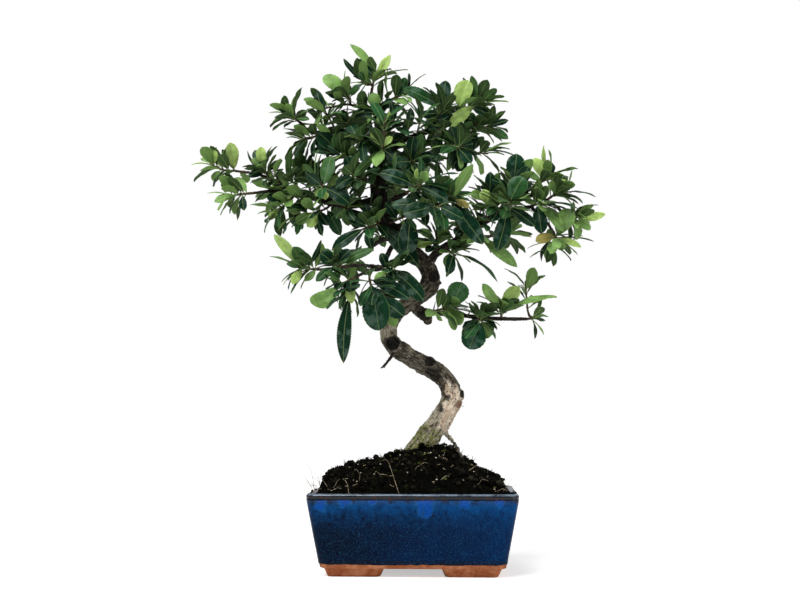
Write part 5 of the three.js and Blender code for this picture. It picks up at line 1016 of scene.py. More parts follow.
class Finish:
    """A material and the nodes that make its colour, gloss and relief."""

    def __init__(self, name, **sockets):
        self.material = bpy.data.materials.new(name)
        self.material.use_nodes = True
        self.tree = self.material.node_tree
        self.shader = self.tree.nodes["Principled BSDF"]
        for socket, value in sockets.items():
            self.shader.inputs[socket.replace("_", " ")].default_value = value
        self.place = self.node("ShaderNodeTexCoord").outputs["Object"]

    def node(self, kind, inputs=None, **settings):
        node = self.tree.nodes.new(kind)
        for name, value in settings.items():
            setattr(node, name, value)
        for name, value in (inputs or {}).items():
            self.feed(node.inputs[name], value)
        return node

    def feed(self, socket, value):
        value = getattr(value, "socket", value)
        if isinstance(value, bpy.types.NodeSocket):
            self.tree.links.new(value, socket)
        else:
            socket.default_value = value

    def value(self, name, output="Fac"):
        """A value that the mesh holds at each of its points."""
        return Mark(self, self.node("ShaderNodeAttribute", attribute_name=name).outputs[output])

    def axes(self, place):
        return [Mark(self, part) for part in self.node("ShaderNodeSeparateXYZ", {0: place}).outputs]

    def noise(self, size, detail=3.0, roughness=0.55, place=None, stretch=None, twist=0.0):
        """Noise whose lumps are about size millimetres across."""
        scale_by = 1.0 / size if place else 1.0 / (size * MM)
        place = place or self.place
        if stretch:
            place = self.node("ShaderNodeMapping", {"Vector": place, "Scale": stretch}).outputs[0]
        made = self.node("ShaderNodeTexNoise", {
            "Vector": place, "Scale": scale_by, "Detail": detail, "Roughness": roughness,
            "Distortion": twist,
        })
        return Mark(self, made.outputs["Fac"])

    def cells(self, size):
        """Distance from the nearest of scattered points about size millimetres apart."""
        made = self.node("ShaderNodeTexVoronoi", {"Vector": self.place, "Scale": 1.0 / (size * MM)})
        return Mark(self, made.outputs["Distance"])

    def maths(self, operation, *values):
        node = self.node("ShaderNodeMath", operation=operation)
        for socket, value in zip(node.inputs, values):
            self.feed(socket, value)
        return Mark(self, node.outputs[0])

    def mix(self, share, *colours, blend="MIX"):
        node = self.node("ShaderNodeMix", data_type="RGBA", blend_type=blend)
        self.feed(node.inputs[0], share)
        for index, colour in zip((6, 7), colours):
            if not isinstance(colour, Mark):
                colour = (*tuple(colour)[:3], 1)
            self.feed(node.inputs[index], colour)
        return Mark(self, node.outputs[2])

    def coats(self, colour, *layers):
        """A colour under layers of (share, colour), the last one on top."""
        for share, coat in layers:
            colour = self.mix(share, colour, coat)
        return colour

    def relief(self, height, depth):
        """Bump of a depth in millimetres."""
        bump = self.node("ShaderNodeBump", {"Height": height, "Distance": depth * MM, "Strength": 1.0})
        self.feed(self.shader.inputs["Normal"], bump.outputs[0])

    def dress(self, colour, roughness):
        self.feed(self.shader.inputs["Base Color"], colour)
        self.feed(self.shader.inputs["Roughness"], roughness)
        return self.material


def leaf_finish(settings):
    finish = Finish("firethorn leaf", Coat_Weight=0.04, Coat_Roughness=0.18, Specular_IOR_Level=0.05)
    tint = finish.value("blade_tint", "Color")
    below = finish.value("blade_below")
    along, across, share = finish.axes(finish.value("blade_place", "Vector"))
    aside, edge = abs(across), abs(share)
    slant = along + aside * -1.05 + finish.value("blade_chance") * 2.2
    beat = finish.maths("PINGPONG", slant * (1 / VEIN_PITCH), 0.5)
    veins = beat.step(0.1, 0.0) * edge.step(0.98, 0.62)
    mottle = finish.noise(5.0, 4.0)
    lift = mottle.spread(0.3, 0.7, 0.72, 1.3)
    lit = Mark(finish, finish.node("ShaderNodeCombineXYZ", {0: lift, 1: lift, 2: lift}).outputs[0])
    pale = finish.mix(0.5, tint, settings.vein_colour)
    top = finish.coats(
        finish.mix(1.0, tint, lit, blend="MULTIPLY"),
        (aside.step(0.5, 0.12) * 0.55, pale),
        (veins * 0.24, pale),
        # painted sheen: pale streaks on the upper side in place of gloss highlights
        (finish.noise(8.0, 3.0).step(0.48, 0.62) * finish.value("blade_wax"), settings.wax_colour),
        (edge.step(0.9, 1.0) * 0.25, settings.vein_colour),
    )
    under = finish.coats(tint, (0.34, settings.under_colour), (veins * 0.35, tint))
    colour = finish.coats(top, (below, under), (finish.value("blade_stalk") * 0.5, settings.vein_colour))
    gloss = mottle.spread(0.3, 0.7, settings.gloss - 0.07, settings.gloss + 0.1)
    finish.relief(mottle * 0.8 + veins * -0.55 + finish.noise(0.7, 3.0) * 0.35, 0.22)
    return finish.dress(colour, gloss + below * 0.25)


def twig_finish(settings):
    finish = Finish("young twig", Specular_IOR_Level=0.2)
    streaks = finish.noise(1.4, 4.0, stretch=(1, 1, 0.5))
    colour = finish.coats(
        settings.twig_colour,
        (streaks.step(0.35, 0.7), settings.twig_light),
        (finish.cells(1.1).step(0.16, 0.06) * 0.5, settings.lichen_colour),
    )
    finish.relief(streaks, 0.3)
    return finish.dress(colour, streaks.spread(0.3, 0.7, 0.5, 0.8))


def bark_finish(settings):
    finish = Finish("old bark", Specular_IOR_Level=0.15)
    grain = finish.value("bark_grain", "Vector")
    ridges = finish.noise(1.6, 5.0, 0.6, place=grain, stretch=(0.22, 1, 1), twist=0.6)
    patches = finish.noise(7.0, 4.0)
    uneven = patches.spread(0.3, 0.7, -0.3, 0.3)
    flecks = finish.cells(2.1).step(0.3, 0.12) * patches.step(0.46, 0.6) * finish.value("bark_lichen")
    bare = (finish.value("bark_bare") + patches.spread(0.3, 0.7, -0.35, 0.35)).step(0.42, 0.62)
    wood = finish.coats(
        settings.bare_shade,
        (ridges.step(0.42, 0.62), settings.bare_colour),
        (finish.noise(2.6, 3.0).step(0.68, 0.74), settings.bark_crack),
    )
    crust = finish.noise(2.2, 6.0, 0.7)
    mossy = finish.value("bark_moss")
    moss = (mossy + crust.spread(0.42, 0.58, -0.6, 0.6)).step(0.4, 0.7) * mossy.step(0.02, 0.3)
    green = finish.mix(crust.step(0.44, 0.6), settings.moss_dark, settings.moss_light)
    colour = finish.coats(
        settings.bark_colour,
        (patches.step(0.35, 0.68), settings.bark_light),
        ((finish.value("bark_pale") + uneven).step(0.35, 0.75), settings.bark_pale),
        (ridges.step(0.5, 0.68) * 0.6, settings.bark_ridge),
        (ridges.step(0.5, 0.36) * 0.85, settings.bark_crack),
        (flecks * 0.8, settings.lichen_colour),
        (bare, wood),
        (moss * 0.85, green),
        (finish.noise(2.4, 5.0, 0.7).step(0.46, 0.39) * 0.8, settings.bark_crack),
        # dark bark, and painted shade on the trunk and limbs under the crown
        ((finish.value("bark_dark") + uneven).step(0.4, 0.75) * 0.85, settings.bark_crack),
        ((ridges * 0.6 + finish.value("bark_scar")).step(0.8, 1.2) * 0.92, settings.bark_crack),
        (finish.value("bark_wound").step(0.45, 0.8) * 0.8, settings.wound_colour),
    )
    finish.relief(finish.noise(0.55, 4.0, 0.7) * 0.4 + ridges, 0.9)
    return finish.dress(colour, ridges.spread(0.3, 0.7, 0.95, 0.66))


def glaze_finish(settings):
    finish = Finish("cobalt glaze", Coat_Roughness=0.05, Specular_IOR_Level=0.03)
    height = finish.value("glaze_height")
    along = finish.axes(finish.place)[0]
    cloud = finish.noise(16.0, 5.0, 0.6)
    mottle = finish.noise(4.5, 6.0, 0.65)
    speck = finish.noise(0.8, 4.0, 0.7)
    streaks = finish.noise(3.2, 4.0, 0.6, stretch=(1, 1, 0.22))
    wander = finish.noise(11.0, 3.0, stretch=(1, 1, 0.25)) * 9.0 - 4.5
    finish.feed(finish.shader.inputs["Coat Weight"], height.spread(50.0, 56.0, 0.04, 0.7))
    # painted light: the glaze turns brighter blue towards the pot's right side
    side = cloud * 0.16 + along - 0.08
    painted_side_light = side.step(0.03, 0.13) * mottle.step(0.4, 0.6)
    # painted light: brighter glaze towards the top of the wall
    upper = (height + wander).step(30.0, 50.0) * mottle.step(0.3, 0.6)
    band = (streaks * 16.0 + height).step(50.0, 59.0) * cloud.step(0.3, 0.55)
    # painted shade under the lip: streaks of deep glaze just below the rim
    hollow = (streaks * 10.0 + height).step(53.5, 58.0) * finish.noise(9.0, 4.0, 0.6).step(0.46, 0.55)
    colour = finish.coats(
        settings.glaze_deep,
        # painted light on the right side of the wall
        (side.step(-0.07, 0.09), settings.glaze_blue),
        (mottle.step(0.45, 0.7) * 0.35, settings.glaze_teal),
        (painted_side_light * 0.22, settings.glaze_bright),
        (upper * 0.4, settings.glaze_bright),
        (band * 0.62, settings.glaze_bright),
        # painted shade under the lip
        (hollow * 0.8, settings.glaze_deep),
    )
    wavy = mottle.spread(0.35, 0.65, -0.75, 0.75)
    for middle, low, half in DRIPS:
        aside = along * (1 / (half * MM)) - (middle + ORIGIN[0]) / half
        below = finish.maths("MAXIMUM", height * (-1 / half) + (low / half + 1), 0.0)
        inside = 1.0 - (aside * aside + below * below) + wavy
        edge = inside.step(-0.5, 0.0) * inside.step(0.5, 0.1)
        full = inside.step(-0.1, 0.6) * speck.spread(0.35, 0.65, 0.3, 0.85)
        colour = finish.coats(colour, (full, settings.glaze_run), (edge * 0.16, settings.glaze_speck))
    rust = finish.mix(mottle.step(0.52, 0.62), settings.glaze_rim, settings.glaze_rust)
    # painted highlight: a pale bluish line along the top of the lip
    lip = height.step(56.3, 57.3) * mottle.step(0.3, 0.55)
    grain = speck.step(0.5, 0.68) * height.step(56.0, 52.0)
    colour = finish.coats(
        colour,
        ((wander * 0.15 + height).step(53.0, 54.2), rust),
        (lip * 0.6, settings.glaze_lip),
        ((wander * 0.2 + height).step(13.0, 9.6) * 0.7, settings.glaze_rim),
        (grain * 0.23, settings.glaze_speck),
        (finish.cells(5.5).step(0.07, 0.045) * 0.7, settings.glaze_rim),
    )
    finish.relief(speck * 0.25 + mottle, 0.16)
    return finish.dress(colour, mottle.spread(0.3, 0.7, 0.1, 0.28))


def terracotta_finish(settings):
    finish = Finish("unglazed clay", Specular_IOR_Level=0.15)
    cloud, grit = finish.noise(7.0, 5.0, 0.6), finish.noise(0.8, 4.0, 0.7)
    colour = finish.coats(
        settings.clay_colour,
        (cloud.step(0.35, 0.7), settings.clay_pale),
        (grit.step(0.56, 0.72) * 0.5, settings.clay_dark),
    )
    finish.relief(grit * 0.7 + cloud, 0.35)
    return finish.dress(colour, grit.spread(0.3, 0.7, 0.7, 0.95))


def peat_finish(settings):
    finish = Finish("dark peat", Specular_IOR_Level=0.03)
    lumps, grit = finish.noise(3.2, 6.0, 0.65), finish.noise(0.7, 5.0, 0.75)
    colour = finish.coats(
        settings.peat_dark,
        (lumps.step(0.36, 0.7), settings.peat_brown),
        (finish.cells(2.6).step(0.12, 0.05) * 0.35, settings.straw_dark),
        (finish.noise(5.5, 5.0, 0.7).step(0.6, 0.68) * 0.5, settings.moss_dark),
        (finish.value("peat_shade") * 0.55, settings.peat_light),
    )
    finish.relief(grit * 0.5 + lumps, 1.1)
    return finish.dress(colour, grit.spread(0.3, 0.7, 0.8, 1.0))


def plain_finish(name, dark, light, size, roughness, depth=0.2):
    """A dull finish in two tones, with lumps of the given size."""
    finish = Finish(name, Specular_IOR_Level=0.2)
    mottle = finish.noise(size, 4.0, 0.65)
    finish.relief(mottle, depth)
    gloss = mottle.spread(0.3, 0.7, roughness - 0.1, roughness + 0.1)
    return finish.dress(finish.mix(mottle.step(0.36, 0.66), dark, light), gloss)


# Pot, in millimetres, with the same driving sizes as the solid
POT_HEIGHT = 58
POT_TOP = (150, 110)
POT_BASE = (130.8, 96.8)
POT_CORNER = 8
POT_WALL = 5.5
POT_FLOOR_TOP = 12
FOOT_HEIGHT = 6
FOOT_SIZE = (43, 31)
FOOT_CORNER = 4
FOOT_CENTRE = (41.3, 31)
INNER_CORNER = 4
DRAIN_RADIUS = 6.5
DRAIN_CENTRE = 32
BORE_HEIGHTS, BORE_SIDES = (2, 10, 18), 40
# The pot's profile, as (height, inset) on the outer wall and (height, inset, corner) over the lip
POT_FOOT_EDGE = [
    (6, 1.2), (6.15, 0.45), (6.6, 0.05), (7.6, 0), (8.7, 0), (9, 0), (9.05, -0.22), (9.35, -0.42),
    (10.1, -0.46),
]
WALL_LOW, WALL_HIGH, WALL_INSET, WALL_ROWS = 11.5, 52.5, -0.36, 22
INSIDE_TOP, INSIDE_ROWS = 54, 8
POT_NECK = [(54, -0.3), (55, 0.05), (55.8, -0.1), (56.5, 0.1), (57.2, 0.5), (57.75, 1.2)]
POT_LIP = [(58, 2.2, 7), (57.95, 3.4, 5.5), (57.6, 4.6, 4.6), (56.9, 5.3, 4.2), (55.8, 5.6, 4)]
GLAZE_EDGE = (8.9, 9.4)
GLAZE_LOW, GLAZE_LOW_INSIDE = 8.4, 49
LIP_LOW = 57
# Unevenness of the wall and of the lip: (height, size of the lumps)
WALL_LUMPS, LIP_LUMPS = (0.16, 26), (0.08, 12)
# How many steps the outlines of the pot and of a foot take round a corner, along and across
POT_STEPS, FOOT_STEPS = (12, 64, 46), (6, 18, 12)
# The feet's profile: (height, growth of the outline)
FOOT_PROFILE = [(0, -3.4), (0.25, -2.9), (0.8, -2.6), (2.6, -1.8), (4.6, -1), (5.6, -0.4), (6.6, -0.2)]
# Rounded runs of brighter glaze below the rim: (place along the front, lowest height, half width)
DRIPS = [
    (-63.5, 46.2, 3.9), (-47.6, 48.6, 4.8), (-27.5, 50, 3), (10, 42.5, 6), (36.2, 48.2, 4.2),
    (61, 49.2, 3.5),
]


def rounded_outline(half_x, half_y, corner, corner_steps, long_steps, short_steps):
    """A rounded rectangle's outline, anticlockwise, evenly split."""
    rows = []
    turns = [(1, -1, -90), (1, 1, 0), (-1, 1, 90), (-1, -1, 180)]
    for index, (sx, sy, start) in enumerate(turns):
        centre = np.array([sx * (half_x - corner), sy * (half_y - corner)])
        for step in range(corner_steps + 1):
            angle = math.radians(start + 90 * step / corner_steps)
            rows.append(centre + corner * np.array([math.cos(angle), math.sin(angle)]))
        next_x, next_y, turn = turns[(index + 1) % 4]
        ahead = np.array([next_x * (half_x - corner), next_y * (half_y - corner)])
        ahead += corner * np.array([math.cos(math.radians(turn)), math.sin(math.radians(turn))])
        count = short_steps if index % 2 == 0 else long_steps
        here = rows[-1]
        rows += [here + (ahead - here) * step / count for step in range(1, count)]
    return np.array(rows)


def pot_half(height):
    rise = (height - FOOT_HEIGHT) / (POT_HEIGHT - FOOT_HEIGHT)
    return [(low + (high - low) * rise) / 2 for low, high in zip(POT_BASE, POT_TOP)]


def ragged(place, size, seed=0.0):
    """Soft unevenness between about -1 and 1 at a place given in millimetres."""
    return noise.fractal(Vector(place) / size + Vector((seed, seed, seed)), 0.8, 2.0, 3)


def bridged(rings):
    """Rings of equally many points, the faces between them and a flat face at each end."""
    count = len(rings[0])
    first, last = range(count), range((len(rings) - 1) * count, len(rings) * count)
    return np.vstack(rings), [list(first)[::-1], *ring_faces(len(rings), count), list(last)]


def pot_rings():
    """The pot's profile from the underside, up the outer wall, over the lip and down inside."""
    wall = [(height, WALL_INSET) for height in np.linspace(WALL_LOW, WALL_HIGH, WALL_ROWS)]
    outside = POT_FOOT_EDGE + wall + POT_NECK
    rings = [(pot_half(height), inset, POT_CORNER, height) for height, inset in outside]
    rings += [(pot_half(POT_HEIGHT), inset, corner, height) for height, inset, corner in POT_LIP]
    return rings + [
        (pot_half(height), POT_WALL + 0.1, INNER_CORNER, height)
        for height in np.linspace(INSIDE_TOP, POT_FLOOR_TOP, INSIDE_ROWS)
    ]


def make_pot_body():
    rings = []
    for (half_x, half_y), inset, corner, height in pot_rings():
        outline = rounded_outline(half_x - inset, half_y - inset, corner, *POT_STEPS)
        rows = []
        for (x, y), (ox, oy) in zip(outline, unit_rows(outline)):
            uneven, lumps = LIP_LUMPS if height > LIP_LOW else WALL_LUMPS
            out = uneven * ragged((x, y, height), lumps)
            edge = 0.0
            if GLAZE_EDGE[0] <= height <= GLAZE_EDGE[1]:
                edge = 0.42 * ragged((x, y, 0), 5.5, 3.0) + 0.2 * ragged((x, y, 0), 1.9, 7.0)
            rows.append((x + ox * out, y + oy * out, height + edge))
        rings.append(np.array(rows))
    shell = Shell()
    shell.join(*bridged(rings))
    return shell


def make_feet():
    shell = Shell()
    for sx in (-1, 1):
        for sy in (-1, 1):
            rings = []
            for height, grow in FOOT_PROFILE:
                half_x, half_y = (size / 2 + grow for size in FOOT_SIZE)
                outline = rounded_outline(half_x, half_y, FOOT_CORNER, *FOOT_STEPS)
                rows = [(x + sx * FOOT_CENTRE[0], y + sy * FOOT_CENTRE[1], height) for x, y in outline]
                rough = [0.18 * ragged(row, 6, 11.0) if height > 0 else 0 for row in rows]
                rings.append(np.array([(x + r, y + r, z) for (x, y, z), r in zip(rows, rough)]))
            shell.join(*bridged(rings))
    return shell


def finished_mesh(piece):
    """The mesh that a piece's modifiers make of it."""
    return bpy.data.meshes.new_from_object(piece.evaluated_get(bpy.context.evaluated_depsgraph_get()))


def combine(piece, cutter, operation):
    """Joins or cuts one mesh with another and removes the other."""
    modifier = piece.modifiers.new("combine", "BOOLEAN")
    modifier.operation, modifier.object, modifier.solver = operation, cutter, "EXACT"
    made = finished_mesh(piece)
    piece.modifiers.clear()
    piece.data = made
    bpy.data.objects.remove(cutter)


def read_rows(items, name):
    """One vector for each of a mesh's points or normals."""
    rows = np.zeros(len(items) * 3, np.float32)
    items.foreach_get(name, rows)
    return rows.reshape(-1, 3).astype(float)


def build_pot(settings):
    pot = make_pot_body().piece("glazed_pot", [])
    combine(pot, make_feet().piece("pot_feet", []), "UNION")
    drains = Shell()
    for side in (-1, 1):
        bore = [(side * DRAIN_CENTRE, 0, height, DRAIN_RADIUS) for height in BORE_HEIGHTS]
        drains.join(*tube(bore, BORE_SIDES))
    combine(pot, drains.piece("drain_bores", []), "DIFFERENCE")
    mesh = pot.data
    mesh.name = "glazed_pot"
    mesh.materials.clear()
    mesh.materials.append(glaze_finish(settings))
    mesh.materials.append(terracotta_finish(settings))
    close_seams(mesh)
    glaze_faces(mesh)
    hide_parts("pot")


def close_seams(mesh):
    """Takes away the doubled points and slivers that the joins leave."""
    bed = bmesh.new()
    bed.from_mesh(mesh)
    bmesh.ops.remove_doubles(bed, verts=bed.verts, dist=0.02 * MM)
    bmesh.ops.dissolve_degenerate(bed, edges=bed.edges, dist=0.01 * MM)
    bed.to_mesh(mesh)
    bed.free()


def glaze_faces(mesh):
    """Glazes the wall above the bare band, the lip and the inside's upper edge; the rest is clay."""
    height = read_rows(mesh.vertices, "co")[:, 2] / MM - ORIGIN[2]
    keep_values(mesh, "glaze_height", len(height), [(0, height)])
    for polygon in mesh.polygons:
        centre = np.array(polygon.center) / MM - ORIGIN
        past = np.abs(centre[:2]) - pot_half(max(centre[2], FOOT_HEIGHT))
        outer = past.max()
        if outer > -9:
            outer = max(outer, np.hypot(*np.maximum(past + POT_CORNER, 0)) - POT_CORNER)
        glazed = (centre[2] > GLAZE_LOW and outer > 0.06) or centre[2] > GLAZE_LOW_INSIDE
        polygon.material_index = 0 if glazed else 1
        polygon.use_smooth = True
    mesh.set_sharp_from_angle(angle=math.radians(40))


def build_drain_meshes(settings):
    plastic = plain_finish("drain mesh plastic", settings.mesh_colour, settings.mesh_light, 2.5, 0.5, 0.1)
    for name in ("drain_mesh_1", "drain_mesh_2"):
        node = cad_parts[name]
        node.data.materials.clear()
        node.data.materials.append(plastic)


# Soil
SOIL_RIM = 56.5
SOIL_HALF = 49
SOIL_EDGE_HEIGHT = 54.5
SOIL_LOW = 13.4
SOIL_FIT, SKIN_FIT = 0.3, 0.25
SETTLE_WIDTH, LEAST_HEIGHT = 3.5, 55.2
# Unevenness of the peat: (height, size of the lumps, level in the noise)
PEAT_LUMPS = [(2.0, 7.5, 0), (1.8, 3.4, 5), (0.9, 1.7, 9)]
SOIL_GRID = (136, 100)
LARGE_CRUMB, SMALL_CRUMB = (1.1, 2.6), (0.5, 1.4)
GRIT_COUNT, STRAW_COUNT = 190, 46
MOSS_REACH = (9, 26)
TRUNK_FOOT = (-4, -2)
# Crumbs that lie on the rim: place along and across, size
RIM_CRUMBS = [
    (-72.4, -30, 1.1), (-71.6, -44, 0.9), (-66, -52.2, 1.2), (-60.5, -52.6, 0.8), (-52, -52, 0.7),
    (-72.6, -8, 1.0), (-48, -52.8, 1.0), (12, -52.6, 0.7), (31, -52, 0.9), (70, -49, 1.2),
    (72.4, -38, 1.0), (72, -20, 0.7), (60, -52.4, 0.8), (-30, -52.8, 0.6),
]
# Fine roots that stand out of the peat: their start, the way they reach, and how they curl
FINE_ROOTS = [
    ((-66, -34, 60), (-9, -6, 8), 5), ((-62, -42, 60), (-12, -6, 3), -4), ((-68, -20, 62), (-6, -4, 10), 6),
    ((-60, -44, 62), (-4, -9, 9), -6), ((-56, -44, 62), (5, -8, 6), 4), ((-69, -28, 61), (-7, -3, 4), -5),
    ((-50, -45, 62), (-9, -8, -1), 4), ((64, -38, 60), (9, -5, 4), 5), ((66, -28, 60), (7, -4, 7), -5),
    ((58, -44, 60), (10, -7, 1), 4), ((46, -44, 64), (7, -8, 4), -4), ((20, -44, 68), (6, -9, 3), 5),
    ((-18, -42, 70), (-8, -9, 3), -5), ((66, 6, 60), (8, 2, 5), 4), ((-40, 44, 62), (-6, 9, 4), 4),
    ((30, 44, 64), (6, 9, 3), -4), ((-66, 20, 61), (-8, 4, 5), 5), ((2, -40, 74), (9, -6, 5), -6),
    ((40, -30, 74), (9, -5, 3), 4), ((-38, -38, 66), (-3, -8, 8), 6), ((-9, -49, 57), (-12, 3, 25), 2),
    ((-69, -46, 57), (-6, -5, 21), 6), ((-70, -40, 57), (-7, -6, 14), -6),
    ((-66, -48, 57), (-10, -4, 9), 5), ((-44, -49, 57), (-5, 3, 11), -2),
]


def mound_height(x, y):
    heights = np.interp(x, [row[0] for row in SOIL_RIDGE], [row[1] for row in SOIL_RIDGE])
    crown = 1 - min(abs(y) / SOIL_HALF, 1) ** 2.4
    lumps = 0.8 * math.sin(0.31 * x + 1.7) * math.cos(0.27 * y + 0.4)
    lumps += 0.5 * math.sin(0.73 * x - 0.5 * y)
    return SOIL_RIM + (heights - SOIL_RIM) * crown + lumps * crown


def soil_height(x, y):
    """The mound with its crumbs and hollows, level with the wall at its edge."""
    half_x, half_y = (half - POT_WALL for half in pot_half(POT_HEIGHT))
    inside = min(half_x - abs(x), half_y - abs(y))
    settle = min(max(inside / SETTLE_WIDTH, 0), 1)
    height = mound_height(x, y) + sum(rise * ragged((x, y, level), size) for rise, size, level in PEAT_LUMPS)
    return SOIL_EDGE_HEIGHT + (max(height, LEAST_HEIGHT) - SOIL_EDGE_HEIGHT) * settle


def join_crumb(shell, chance, size, lump, place, **values):
    """Adds one lump of a given size, dented and turned by chance."""
    points, faces = lump
    stretch = np.array([chance.uniform(0.7, 1.25), chance.uniform(0.7, 1.25), chance.uniform(0.5, 0.95)])
    dents = np.array([chance.uniform(0.72, 1.18) for point in points])[:, None]
    spin = chance.uniform(0, math.pi)
    c, s = math.cos(spin), math.sin(spin)
    turn = np.array([[c, -s, 0], [s, c, 0], [0, 0, 1]])
    shell.join(points * dents * stretch * size @ turn + place, faces, **values)


def ball(splits):
    bed = bmesh.new()
    bmesh.ops.create_icosphere(bed, subdivisions=splits, radius=1.0)
    points = np.array([vert.co for vert in bed.verts])
    faces = [[vert.index for vert in face.verts] for face in bed.faces]
    bed.free()
    return points, faces


def soil_block(half_x, half_y):
    """The mound's ragged top on a grid, its sides against the wall and its flat underside."""
    columns, rows = SOIL_GRID
    points, index = [], {}
    cx, cy = half_x - INNER_CORNER, half_y - INNER_CORNER
    for i in range(columns + 1):
        for j in range(rows + 1):
            x, y = (2 * i / columns - 1) * half_x, (2 * j / rows - 1) * half_y
            if abs(x) > cx and abs(y) > cy:
                dx, dy = abs(x) - cx, abs(y) - cy
                pull = max(dx, dy) / math.hypot(dx, dy)
                x = math.copysign(cx + dx * pull, x)
                y = math.copysign(cy + dy * pull, y)
            index[i, j] = len(points)
            points.append((x, y, soil_height(x, y)))
    faces = [
        (index[i, j], index[i + 1, j], index[i + 1, j + 1], index[i, j + 1])
        for i in range(columns) for j in range(rows)
    ]
    border = [(i, 0) for i in range(columns)] + [(columns, j) for j in range(rows)]
    border += [(i, rows) for i in range(columns, 0, -1)] + [(0, j) for j in range(rows, 0, -1)]
    low_x, low_y = (half - POT_WALL - SOIL_FIT for half in pot_half(SOIL_LOW))
    start, count = len(points), len(border)
    for key in border:
        x, y, z = points[index[key]]
        points.append((x * low_x / half_x, y * low_y / half_y, SOIL_LOW))
    for k, key in enumerate(border):
        after = (k + 1) % count
        faces.append((index[border[after]], index[key], start + k, start + after))
    faces.append([start + k for k in range(count)][::-1])
    return points, faces


def spot(chance, half_x, half_y):
    return chance.uniform(-1, 1) * half_x, chance.uniform(-1, 1) * half_y


def heading(chance):
    turn = chance.uniform(0, 2 * math.pi)
    return np.array([math.cos(turn), math.sin(turn), 0.0])


def join_crumbs(shell, chance, settings, half_x, half_y):
    """Adds the loose lumps and the dark fibres of the mound, and the crumbs on the pot's rim."""
    lump, small = ball(2), ball(1)
    for k in range(settings.crumb_count):
        x, y = spot(chance, half_x - 3.5, half_y - 3.5)
        big = k % 4 == 0
        size = chance.uniform(*(LARGE_CRUMB if big else SMALL_CRUMB))
        place = (x, y, soil_height(x, y) + size * chance.uniform(0.1, 0.9))
        shade = chance.random() ** 3
        join_crumb(shell, chance, size, lump if big else small, place, peat_shade=shade)
    for k in range(settings.fibre_count):
        x, y = spot(chance, half_x - 4, half_y - 4)
        way, length = heading(chance), chance.uniform(1.2, 4.2)
        way = (way + (0, 0, chance.uniform(0.1, 1.5))) * length / 2
        foot = np.array([x, y, soil_height(x, y) - 0.3])
        bend = np.array([0, 0, chance.uniform(-0.5, 0.5)])
        rows = [(*foot, 0.3), (*(foot + way + bend), 0.26), (*(foot + 2 * way), 0.12)]
        shell.join(*tube(rows, 5), peat_shade=chance.random() ** 2)
    for x, y, size in RIM_CRUMBS:
        join_crumb(shell, chance, size, lump, (x, y, POT_HEIGHT + size * 0.3), peat_shade=0.1)


def build_soil(settings):
    half_x, half_y = (half - POT_WALL - SKIN_FIT for half in pot_half(SOIL_EDGE_HEIGHT))
    chance = random.Random(31)
    shell = Shell()
    shell.join(*soil_block(half_x, half_y), peat_shade=0.0)
    join_crumbs(shell, chance, settings, half_x, half_y)
    soil = shell.piece("peat_mound", [peat_finish(settings)])
    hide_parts("soil")
    half_x, half_y = half_x - 4, half_y - 4
    grit = loose_grit(chance, half_x, half_y)
    straw = loose_straw(chance, half_x, half_y)
    stray = [
        ("pale_grit", grit, "pale grit", settings.grit_shade, settings.grit_colour, 0.8, 0.7),
        ("straw_bits", straw, "dry straw", settings.straw_dark, settings.straw_colour, 1.4, 0.75),
        ("fine_roots", fine_roots(), "dry root", settings.root_dark, settings.root_colour, 1.8, 0.8),
        (
            "moss_tufts", moss_tufts(chance, settings.moss_count, half_x, half_y), "moss",
            settings.moss_dark, settings.moss_light, 1.2, 0.8,
        ),
    ]
    for name, shell, *look in stray:
        shell.piece(name, [plain_finish(*look)])


def loose_grit(chance, half_x, half_y):
    grit, lump = Shell(), ball(1)
    for k in range(GRIT_COUNT):
        x, y = spot(chance, half_x, half_y)
        size = chance.uniform(0.3, 0.85)
        join_crumb(grit, chance, size, lump, (x, y, soil_height(x, y) + size * 0.6))
    return grit


def loose_straw(chance, half_x, half_y):
    straw = Shell()
    for k in range(STRAW_COUNT):
        x, y = spot(chance, half_x, half_y)
        way, length = heading(chance), chance.uniform(1.5, 4.5)
        step_x, step_y, _ = way * length / 2
        rise = chance.uniform(0.2, 1.4)
        height = soil_height(x, y) + 0.7
        rows = [
            (x + side * step_x, y + side * step_y, height + rise * side * 0.6 + abs(side) * 0.2, 0.2)
            for side in (-1, 0, 1)
        ]
        straw.join(*tube(smooth_line(rows, 1.5), 5))
    return straw


def fine_roots():
    roots = Shell()
    for (x, y, z), (dx, dy, dz), curl in FINE_ROOTS:
        z = max(z, soil_height(x, y) - 1)
        rows = []
        for i in range(6):
            t = i / 5
            bend = curl * math.sin(math.pi * t) * 0.5
            rows.append((
                x + dx * t - bend * dy / 12, y + dy * t + bend * dx / 12,
                z + dz * math.sin(t * 1.75) + 0.7 * math.sin(9 * t + curl), 0.2 - 0.12 * t,
            ))
        roots.join(*tube(smooth_line(rows, 1.0), 5))
    return roots


def moss_tufts(chance, count, half_x, half_y):
    """Tufts of moss round the trunk, and every third one anywhere on the mound."""
    moss = Shell()
    for k in range(count):
        angle, reach = chance.uniform(0, 2 * math.pi), chance.uniform(*MOSS_REACH)
        x = TRUNK_FOOT[0] + reach * math.cos(angle) * 1.3
        y = TRUNK_FOOT[1] + reach * math.sin(angle)
        if k % 3 == 0:
            x, y = spot(chance, half_x, half_y)
        z = soil_height(x, y)
        for blade in range(chance.randint(6, 11)):
            way, lean = heading(chance), chance.uniform(0.2, 0.9)
            way = (way * lean + (0, 0, 1)) * chance.uniform(0.9, 2.2)
            foot = np.array([x + chance.uniform(-0.8, 0.8), y + chance.uniform(-0.8, 0.8), z - 0.2])
            rows = [(*foot, 0.22), (*(foot + way * 0.6), 0.26), (*(foot + way), 0.06)]
            moss.join(*tube(rows, 4))
    return moss


